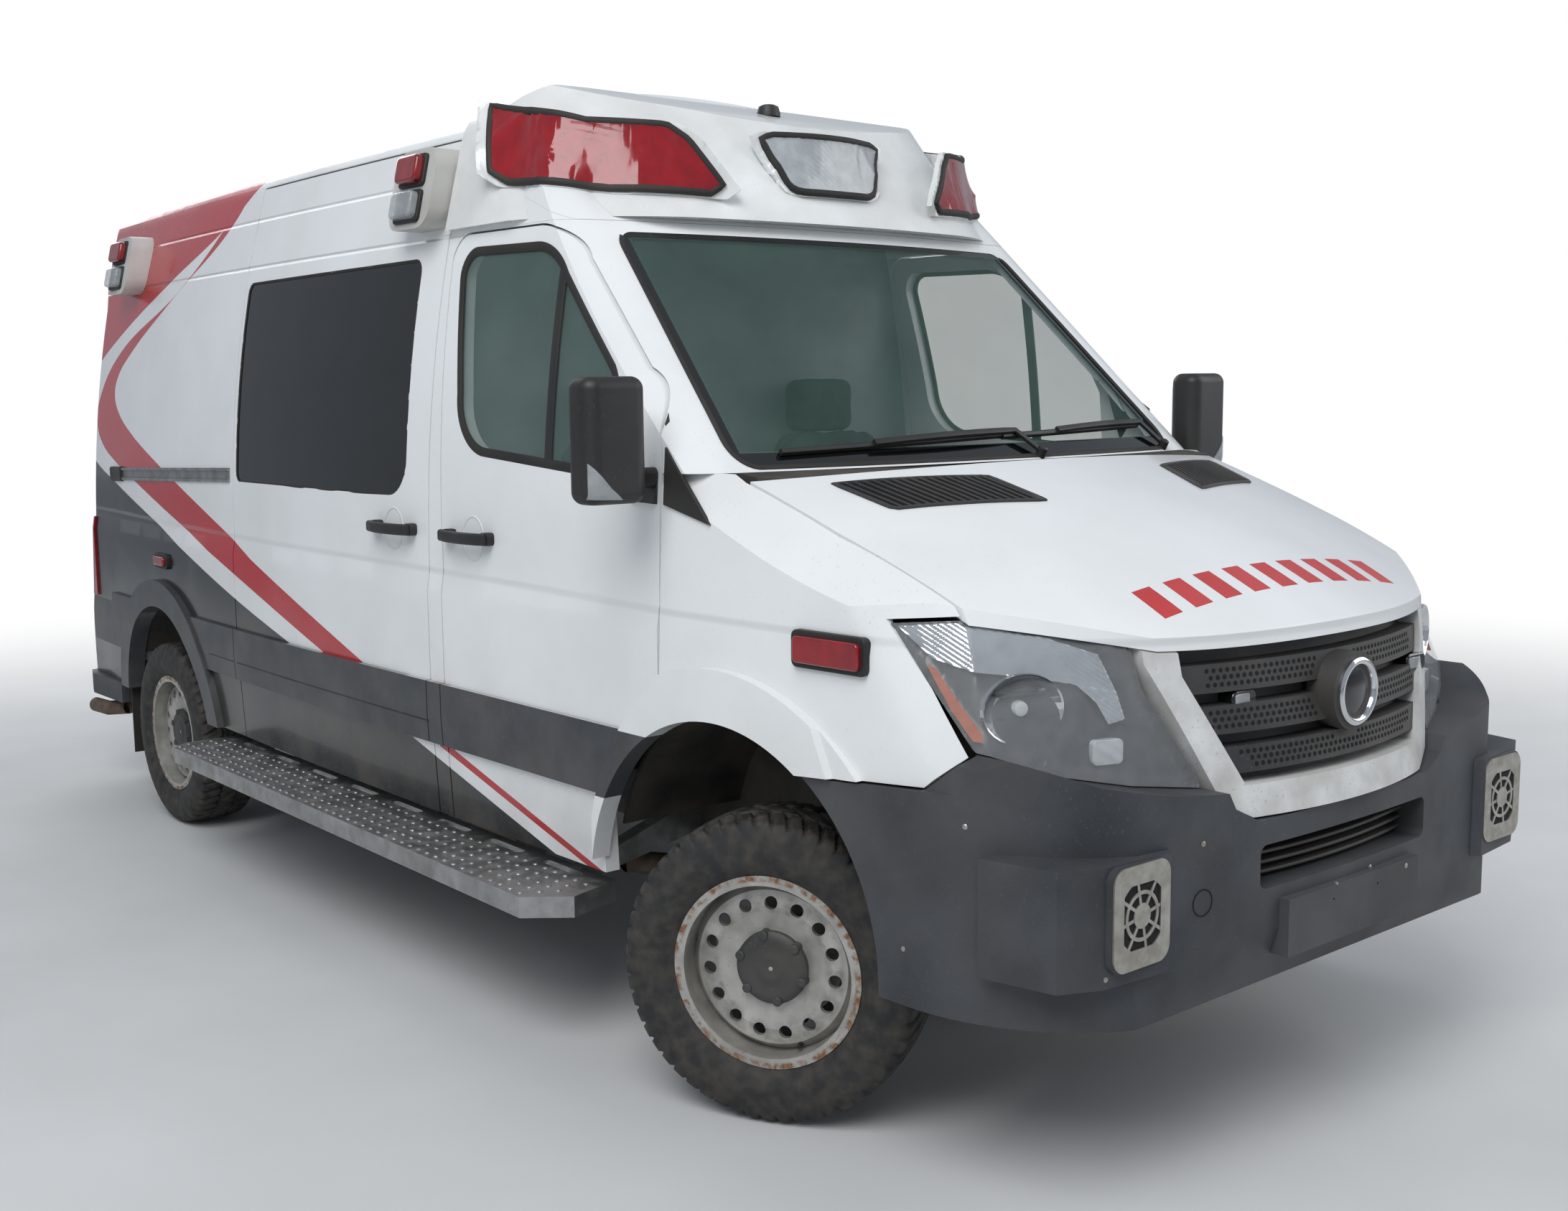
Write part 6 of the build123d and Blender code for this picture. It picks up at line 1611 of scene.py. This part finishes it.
            parts.append(prism(rounded(0.052, 0.007, 0.002), middle, AHEAD, 0.0, 0.003, up=across))
        put("siren_plate_" + name, *merge(parts), "body", Paint.STAINLESS, 40)
        # The well is a flat matt black disc: painted shade
        well = lathe([(-0.0005, 0.0), (0.0006, 0.0), (0.0006, 0.076), (-0.0005, 0.076)], spot, AHEAD, 48)
        put("siren_well_" + name, *well, "body", Paint.VOID, 40)

    def build(self) -> None:
        """Makes the nose's pieces."""
        self.vents()
        self.bars()
        self.grille()
        self.bumper()


@dataclass
class Roof:
    """The fairing's three lights, corner beacon lenses and the puck antenna.

    Args:
        spread: how much larger the white surround is than its light.
        drape: rounds in which the surround is stretched over the fairing's hollows.
        frame: width and height of the rubber frame.
        cover: height of the lens over the surround.
        module: height of the modules behind it.
        beacon_frame: width, height and corner radius of a beacon lens's frame.
        beacon_lens: the same of the lens.
    """

    spread: float = 1.14
    drape: int = 400
    frame: tuple[float, float] = (0.020, 0.012)
    cover: float = 0.0095
    module: float = 0.0045
    beacon_frame: Point = (0.148, 0.096, 0.014)
    beacon_lens: Point = (0.128, 0.080, 0.018)

    # End of the roof, place along the vehicle and height of each beacon, then each of its lenses
    BEACONS = (("front", -0.420, 2.316), ("rear", 2.250, 2.268))
    LENSES = (("upper", 0.052, Paint.RED_SOLID), ("lower", -0.052, Paint.CLEAR))
    PUCK = ((-0.006, 0.0), (0.030, 0.0), (0.0295, 0.018), (0.024, 0.030), (0.004, 0.036), (-0.006, 0.036))
    # Outlines of the right and the middle light and of the modules, in pixels of the photograph
    SIDE_LENS = [
        (690, 155), (755, 165), (820, 178), (930, 184), (960, 205), (1007, 262), (990, 270), (850, 263), (710, 255),
        (686, 242), (686, 178),
    ]
    MIDDLE_LENS = [
        (1045, 190), (1080, 190), (1200, 205), (1208, 218), (1214, 270), (1208, 283), (1125, 277), (1105, 260),
    ]
    SIDE_MODULES = [
        [(832, 208), (880, 210), (882, 250), (834, 247)], [(892, 211), (938, 213), (948, 251), (897, 250)],
    ]

    def __post_init__(self) -> None:
        """Gathers the fairing's surface."""
        self.skin = Skin("roof_fairing", "fairing_lenses", "roof_panel")

    def light(self, name: str, outline: Array, toward: Point, clear: bool, modules: list[Array]) -> None:
        """One light: a white surround draped over the fairing, and on it a base, modules, a lens and a rubber frame.

        Args:
            name: piece name.
            outline: places on the fairing.
            toward: direction the light is laid along.
            clear: whether the lens is clear.
            modules: outlines of the modules behind the lens.
        """
        loop = resample(outline, 0.02)
        middle = loop.mean(0)
        wider = middle + (loop - middle) * self.spread
        surround = plate(self.skin, wider, toward, 0.003, 0.012, 0.015, drape=self.drape)
        put("light_surround_" + name, *surround, "body", Paint.ENAMEL, 80)
        skin, out = Skin.of(*surround), -np.array(toward)
        paint = Paint.LED if clear else Paint.RED_SOLID
        base = put("light_base_" + name, *plate(skin, loop, toward, 0.003, 0.002, 0.015), "body", paint, 80)
        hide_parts("fairing_lenses")
        blocks = [plate(skin, shape, toward, self.module, 0.001, 0.015) for shape in modules]
        for shape in modules:
            for share in (0.25, 0.5, 0.75):
                a, b = shape[0] + (shape[3] - shape[0]) * share, shape[1] + (shape[2] - shape[1]) * share
                row = skin.lay(np.linspace(a, b, 6), toward) + out * self.module
                blocks.append(sweep(row, out, strip(0.006, 0.0012), False))
        put("light_modules_" + name, *merge(blocks), "body", Paint.CHROME if clear else Paint.DECAL_RED, 40)
        lens_plate = plate(skin, loop, toward, self.cover, 0.003 - self.cover, 0.015)
        put("light_lens_" + name, *lens_plate, "body", Paint.CLEAR if clear else Paint.RED, 80)
        edge = sweep(skin.lay(loop, toward), out, strip(*self.frame), True)
        put("light_frame_" + name, *edge, "body", Paint.RUBBER, 50)

    def fairing(self) -> None:
        """The two red side lights and the clear middle one, which is made even about the vehicle's middle."""
        side_shape = Photo.on(self.skin, self.SIDE_LENS)
        modules = [Photo.on(self.skin, quad) for quad in self.SIDE_MODULES]
        for side in Side:
            toward = mirrored(unit(np.array([Headlamp.FACING])), side)[0]
            shapes = [mirrored(quad, side) for quad in modules]
            self.light(side.name.lower(), mirrored(side_shape, side), tuple(toward), False, shapes)
        shape = Photo.on(self.skin, self.MIDDLE_LENS)
        top, foot = np.abs(shape[[0, 3]][:, 0]).mean(), np.abs(shape[[4, 7]][:, 0]).mean()
        high, low = shape[:4, 2].mean(), shape[4:, 2].mean()
        corners = [(-top, high), (top, high), (foot, low), (-foot, low)]
        quad = self.skin.lay([(x, -3.0, z) for x, z in corners], ASTERN)
        # Each corner is cut off a twelfth of the way to its neighbours
        outline = [quad[k] + (quad[m] - quad[k]) * 0.08 for k in range(4) for m in (k - 1, (k + 1) % 4)]
        module = quad.mean(0) + (quad - quad.mean(0)) * (0.30, 0.3, 0.34)
        outline, module = (self.skin.lay(np.array(places), ASTERN) for places in (outline, module))
        self.light("middle", outline, ASTERN, True, [module])

    def beacons(self) -> None:
        """Red over clear lens blocks in black frames on each corner beacon."""
        skin = Skin("corner_beacons")
        for side in Side:
            s = side.value
            for end, y, middle_z in self.BEACONS:
                up, down = skin.lay([(s * BESIDE, y, middle_z + dz) for dz in (0.08, -0.08)], (-s, 0, 0))
                normal = unit(np.cross(ASTERN, up - down)) * s
                normal = normal if normal[0] * s > 0 else -normal
                for label, dz, paint in self.LENSES:
                    spot = skin.lay([(s * BESIDE, y, middle_z + dz)], (-s, 0, 0))[0]
                    name = f"beacon_{label}_{end}_{side.name.lower()}"
                    surround = prism(rounded(*self.beacon_frame), spot, normal, -0.01, 0.010)
                    put(name + "_frame", *surround, "body", Paint.TRIM, 40, bevel_mm=3)
                    block = prism(rounded(*self.beacon_lens), spot, normal, 0.002, 0.034)
                    put(name, *block, "body", paint, 40, bevel_mm=9)

    def antenna(self) -> None:
        """A low puck antenna on the fairing's crown."""
        spot = Skin("roof_fairing").lay([(0.0, -0.93, ABOVE)], DOWN)[0]
        put("puck_antenna", *lathe(self.PUCK, spot, UP, 40), "body", Paint.TRIM, 40)

    def build(self) -> None:
        """Makes the roof's pieces."""
        self.fairing()
        self.beacons()
        self.antenna()


@dataclass(frozen=True)
class Boards:
    """Raised dimples on both running boards and ribs on the rear step.

    Args:
        rows: X of the first and the last row of dimples.
        pitch: distance between dimples in a row.
        tread_z: height over which a place belongs to a board's tread.
        step_z: the same for the rear step.
    """

    rows: tuple[float, float] = (0.985, 1.155)
    pitch: float = 0.050
    tread_z: float = 0.436
    step_z: float = 0.46

    DOME = ((-0.002, 0.0), (0.0042, 0.0), (0.0038, 0.004), (0.0022, 0.0075), (-0.0005, 0.0092), (-0.002, 0.0092))

    def build(self) -> None:
        """Lays rows of small domes on the treads, each second row set off by half a pitch."""
        skin = Skin("running_boards")
        for side in Side:
            parts = []
            for row, x in enumerate(np.linspace(*self.rows, 5)):
                for y in np.arange(-1.33, 1.13, self.pitch) + self.pitch / 2 * (row % 2):
                    place, _ = skin.hit((side.value * x, y, 0.6), DOWN)
                    if place is not None and place.z > self.tread_z:
                        parts.append(lathe(self.DOME, place, UP, 10))
            put("board_dimples_" + side.name.lower(), *merge(parts), "body", Paint.BOARD, 40)
        step = Skin("rear_bumper")
        ribs = []
        for y in np.arange(2.80, 2.925, 0.018):
            x = np.linspace(-0.60, 0.60, 13)
            row = step.lay(np.column_stack([x, np.full(13, y), np.full(13, 1.0)]), DOWN)
            if row[:, 2].min() > self.step_z:
                ribs.append(sweep(row, UP, strip(0.008, 0.0035), False))
        put("rear_step_ribs", *merge(ribs), "body", Paint.RUBBER, 40)


@dataclass(frozen=True)
class Rear:
    """Fittings of the rear: hinges, handle, plate panel and lamps.

    Args:
        hinge_z: height of each hinge on a door.
        strap: length, width, thickness and corner radius of a hinge's strap.
        lamp_corner: the left tail lamp's corner, as X and Y.
    """

    hinge_z: Point = (0.72, 1.36, 1.98)
    strap: tuple = (0.145, 0.036, 0.012, 0.004)
    lamp_corner: tuple[float, float] = (0.92, 2.86)

    KNUCKLE = ((-0.034, 0), (0.034, 0.0), (0.034, 0.010), (-0.034, 0.010))
    # Name, body, finish, X and Z, each block's width, height, corner radius, foot and head, and the bevel
    FITTINGS = (
        ("rear_handle", "rear_door_right", Paint.TRIM, (-0.075, 1.165),
         ((0.060, 0.200, 0.020, -0.004, 0.010), (0.028, 0.160, 0.012, 0.008, 0.034)), 2),
        ("rear_plate_panel", "rear_door_left", Paint.TRIM, (0.40, 1.02), ((0.40, 0.18, 0.02, -0.004, 0.006),), 2),
        ("rear_plate_lamp", "rear_door_left", Paint.TRIM, (0.40, 1.02), ((0.30, 0.030, 0.01, -0.004, 0.022),), 3),
        ("high_stop_lamp", "body", Paint.RED_SOLID, (0.0, 2.402), ((0.32, 0.030, 0.012, -0.004, 0.014),), 3),
    )
    # How much higher a piece sits than the place its depth is measured at
    RAISED = {"rear_plate_lamp": 0.115}
    TAIL_BANDS = (("amber", 1.105, 1.150, Paint.AMBER), ("reverse", 0.905, 0.955, Paint.CLEAR))

    def hinges(self, skin: Skin) -> None:
        """Three straps on each door, laid on its skin, each ending in an upright knuckle."""
        length, *section = self.strap
        for side in Side:
            label = side.name.lower()
            parts = []
            for z in self.hinge_z:
                outer = 0.800 if z < 1.4 else 0.745
                x = side.value * np.linspace(outer - length, outer, 8)
                row = skin.lay(np.column_stack([x, np.full(8, BEHIND), np.full(8, z)]), AHEAD)
                parts.append(sweep(row, ASTERN, rounded(*section) + (0, 0.002), False))
                parts.append(lathe(self.KNUCKLE, row[-1] + (0, 0.004, 0), UP, 16))
            put("rear_hinges_" + label, *merge(parts), "rear_door_" + label, Paint.LIVERY, 40)

    def tail_bands(self) -> None:
        """An amber and a clear band on each tail lamp, square to its corner."""
        lamps = Skin("tail_lamps")
        x, y = self.lamp_corner
        for side in Side:
            s = side.value
            away = unit(np.array((s * 0.72, 0.70, 0.0)))
            across = np.array((away[1], -away[0], 0))
            for label, low, high, paint in self.TAIL_BANDS:
                corners = ((-0.05, low), (0.05, low), (0.05, high), (-0.05, high))
                outline = np.array([np.array((s * x, y, z)) + across * k for k, z in corners])
                band = plate(lamps, outline, tuple(-away), 0.002, 0.003, 0.02)
                put(f"tail_{label}_{side.name.lower()}", *band, "body", paint, 50)

    def build(self) -> None:
        """Makes the rear fittings."""
        skin = Skin("rear_door_left", "rear_door_right", "rear_frame", "roof_panel")
        self.hinges(skin)
        for name, body, paint, (x, z), blocks, bevel in self.FITTINGS:
            spot = skin.lay([(x, BEHIND, z)], AHEAD)[0] + (0, 0, self.RAISED.get(name, 0.0))
            parts = [prism(rounded(*size), spot, ASTERN, foot, head) for *size, foot, head in blocks]
            put(name, *merge(parts), body, paint, 40, bevel_mm=bevel)
        self.tail_bands()


@dataclass(frozen=True)
class Cabin:
    """Padded front seats on their bases, and the door mirrors' glass and lamps.

    Args:
        seat_half: half width that a seat takes of the seats' box.
        fill: share of a cushion that its padding fills; not used.
        steps: points along each edge of a cushion's block.
        base: width, depth and corner radius of a seat's base.
        mirror_glass: width, height and corner radius of a mirror's glass.
        mirror_middle: its place on the left side.
    """

    seat_half: float = 0.25
    fill: float = 0.75
    steps: int = 26
    base: Point = (0.40, 0.40, 0.03)
    mirror_glass: Point = (0.142, 0.255, 0.028)
    mirror_middle: Point = (1.127, -1.6425, 1.6105)

    # Corners of the lamp on a mirror's front face, as X on the left side and Z
    MIRROR_LAMP = ((1.207, 1.560), (1.207, 1.478), (1.120, 1.474), (1.155, 1.502))

    def seat_parts(self, middle: float) -> list[tuple[str, Point, Point, float]]:
        """Name, centre, half size and crown of a seat's cushions, from the CAD seats' box."""
        low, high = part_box("seats")
        depth = high.y - low.y
        top = high.z
        return [
            ("cushion", (middle, low.y + depth * 0.40, low.z + 0.36), (0.235, 0.235, 0.070), 0.05),
            ("back", (middle, high.y - 0.115, low.z + 0.66), (0.225, 0.062, 0.300), 0.10),
            ("head", (middle, high.y - 0.075, top - 0.115), (0.125, 0.048, 0.090), 0.05),
        ]

    def cushion(self, name: str, centre: Point, half: Point, crown: float) -> bpy.types.Object:
        """A crowned cushion: a cube's points divided by their fifth-power norm, which rounds its edges, then
        drawn in towards the edges and along two sewn channels, and scaled to size.

        Args:
            name: piece name.
            centre: its middle.
            half: half of its width, depth and height.
            crown: how much its faces swell.

        Returns:
            The piece.
        """
        n = self.steps
        u = np.linspace(-1, 1, n)
        parts = []
        for axis in range(3):
            for sign in (-1, 1):
                a, b = np.meshgrid(u, u, indexing="ij")
                cube = np.zeros((n, n, 3))
                cube[..., axis] = sign
                cube[..., (axis + 1) % 3] = a
                cube[..., (axis + 2) % 3] = b
                grid = np.arange(n * n).reshape(n, n)
                quads = np.stack([grid[:-1, :-1], grid[1:, :-1], grid[1:, 1:], grid[:-1, 1:]], -1).reshape(-1, 4)
                parts.append((cube.reshape(-1, 3), quads.tolist()))
        verts, faces = merge(parts)
        power = (np.abs(verts) ** 5).sum(1, keepdims=True) ** 0.2
        round_form = verts / power
        bulge = 1 - crown * 0.8 * (1 - np.abs(round_form).min(1, keepdims=True))
        channel = 0.035 * np.exp(-((np.abs(verts[:, 0:1]) - 0.55) / 0.05) ** 2)
        shaped = round_form * bulge * (1 - channel)
        return put(name, shaped * np.array(half) + np.array(centre), faces, "body", Paint.SEAT, 60)

    def build(self) -> None:
        """Makes the cushions and the mirrors' glass and lamps."""
        low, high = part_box("seats")
        pieces = []
        for label, middle in (("right", low.x + self.seat_half), ("left", high.x - self.seat_half)):
            for part, centre, half, crown in self.seat_parts(middle):
                piece = self.cushion(f"seat_{part}_{label}", centre, half, crown)
                pieces.append(piece)
            foot = (middle, low.y + (high.y - low.y) * 0.42, low.z)
            legs = prism(rounded(*self.base), foot, UP, 0.002, 0.29, up=ASTERN)
            put("seat_base_" + label, *legs, "body", Paint.TRIM, 40, bevel_mm=4)
        for piece in pieces:
            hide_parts("seats")
        for side in Side:
            self.mirror(side)

    def mirror(self, side: Side) -> None:
        """The glass on a mirror's rear face and the wedge lamp on its front face."""
        s, label = side.value, side.name.lower()
        x, y, z = self.mirror_middle
        glass = prism(rounded(*self.mirror_glass), (s * x, y, z), ASTERN, -0.0005, 0.002)
        put("mirror_glass_" + label, *glass, "door_" + label, Paint.CHROME, 40)
        wedge = np.array([(s * x, -2.2, z) for x, z in self.MIRROR_LAMP])
        lamp = plate(Skin("mirror_" + label), wedge, ASTERN, 0.004, 0.003, 0.012)
        put("mirror_lamp_" + label, *lamp, "door_" + label, Paint.CLEAR, 40)


@dataclass(frozen=True)
class Studio:
    """Floor, world, lamps and the photograph's camera.

    Args:
        half_floor: half of the floor's width.
        floor_z: its height, a little under the tyres.
        fade: distances from the vehicle where the floor starts to turn white and is white.
        lamp_size: width of each soft lamp.
        sky_strength: strength of the light from all round.
    """

    half_floor: float = 60
    floor_z: float = -0.0005
    fade: tuple[float, float] = (3.6, 9.0)
    lamp_size: float = 6.0
    sky_strength: float = 0.45

    SKY = (0.78, 0.85, 0.95, 1)
    # Name, place, target and power in watts of each soft lamp
    LAMPS = (
        ("key", (-6.0, -5.0, 8.0), (0, 0, 1.0), 640),
        ("fill", (7.0, -6.0, 5.0), (0, -1, 1.0), 260),
        ("back", (2.0, 9.0, 6.0), (0, 1, 1.0), 300),
    )

    def floor(self) -> None:
        """A wide pale floor just under the tyres."""
        mesh = bpy.data.meshes.new("floor")
        half = self.half_floor
        corners = [(half * i, half * k, self.floor_z) for i, k in ((-1, -1), (1, -1), (1, 1), (-1, 1))]
        mesh.from_pydata(corners, [], [(0, 1, 2, 3)])
        g = Graph("pale_studio_floor")
        material = g.join(Base_Color=g.mix(g.noise(900), linear("D2D3D3"), linear("CBCCCC")), Roughness=0.85)
        away = g.add("VectorMath", {0: g.place}, out=1, operation="LENGTH")
        far = g.add("MapRange", {0: away, 1: self.fade[0], 2: self.fade[1]}, interpolation_type="SMOOTHSTEP")
        seen = g.all_of(far, g.add("LightPath", out="Is Camera Ray"))
        glow = g.add("Emission", {"Color": (1, 1, 1, 1), "Strength": 1.0})
        final = g.add("MixShader", {0: seen, 1: g.shader.outputs[0], 2: glow})
        g.tree.links.new(final, g.tree.nodes["Material Output"].inputs["Surface"])
        mesh.materials.append(material)
        piece = bpy.data.objects.new("floor", mesh)
        bpy.context.scene.collection.objects.link(piece)

    def world(self) -> None:
        """Soft bluish light from all round, and a white background where the camera sees it, also through glass."""
        world = bpy.data.worlds.new("studio")
        bpy.context.scene.world = world
        world.use_nodes = True
        g = Graph.on(world.node_tree)
        g.tree.nodes.clear()
        seen = g.any_of(*(g.add("LightPath", out=f"Is {kind} Ray") for kind in ("Camera", "Transmission")))
        soft = g.add("Background", {"Color": self.SKY, "Strength": self.sky_strength})
        white = g.add("Background", {"Color": (1, 1, 1, 1), "Strength": 1.0})
        both = g.add("MixShader", {0: seen, 1: soft, 2: white})
        g.tree.links.new(both, g.tree.nodes.new("ShaderNodeOutputWorld").inputs["Surface"])

    def lamp(self, name: str, place: Point, target: Point, watts: float) -> None:
        """A square soft lamp aimed at a point."""
        data = bpy.data.lights.new(name, "AREA")
        data.shape, data.size, data.energy = "SQUARE", self.lamp_size, watts
        piece = bpy.data.objects.new(name, data)
        piece.location = place
        piece.rotation_euler = (Vector(target) - Vector(place)).to_track_quat("-Z", "Y").to_euler()
        bpy.context.scene.collection.objects.link(piece)

    def camera(self) -> None:
        """The photograph's camera."""
        data = bpy.data.cameras.new("photo_camera")
        data.sensor_width, data.lens = 36.0, 38.17
        data.shift_x, data.shift_y = 0.0163, -0.0018
        data.clip_end = 300
        piece = bpy.data.objects.new("photo_camera", data)
        right, up, view = (Vector(v) for v in (Photo.RIGHT, Photo.UP, Photo.VIEW))
        turn = Matrix((right, up, -view)).transposed().to_4x4()
        piece.matrix_world = Matrix.Translation(Vector(Photo.PLACE)) @ turn
        bpy.context.scene.collection.objects.link(piece)
        bpy.context.scene.camera = piece

    def build(self) -> None:
        """Sets the studio up."""
        self.floor()
        self.world()
        for name, place, target, watts in self.LAMPS:
            self.lamp(name, place, target, watts)
        self.camera()
        bpy.context.scene.view_settings.view_transform = "Standard"


def dress_nodes() -> None:
    """Gives every CAD node its finish, on a welded smooth copy where it shows."""
    for node in WELDED_LIVERY:
        dress(node, Paint.LIVERY)
    for node, paint in WELDED.items():
        dress(node, paint)
    for node, paint in COATED.items():
        coat_node(node, paint)


def main() -> None:
    """Builds the scene."""
    logging.basicConfig(level=logging.INFO, format="%(message)s")
    dress_nodes()
    for wheel in (
        Wheel("front_left", Side.LEFT, FRONT_AXLE_Y, True),
        Wheel("front_right", Side.RIGHT, FRONT_AXLE_Y, True),
        Wheel("rear_left", Side.LEFT, REAR_AXLE_Y, False),
        Wheel("rear_right", Side.RIGHT, REAR_AXLE_Y, False),
    ):
        wheel.build()
    Glazing().build()
    Flank().build()
    for side in Side:
        Headlamp(side).build()
    Nose().build()
    Roof().build()
    Boards().build()
    Rear().build()
    Cabin().build()
    Studio().build()


if __name__ == "__main__":
    main()
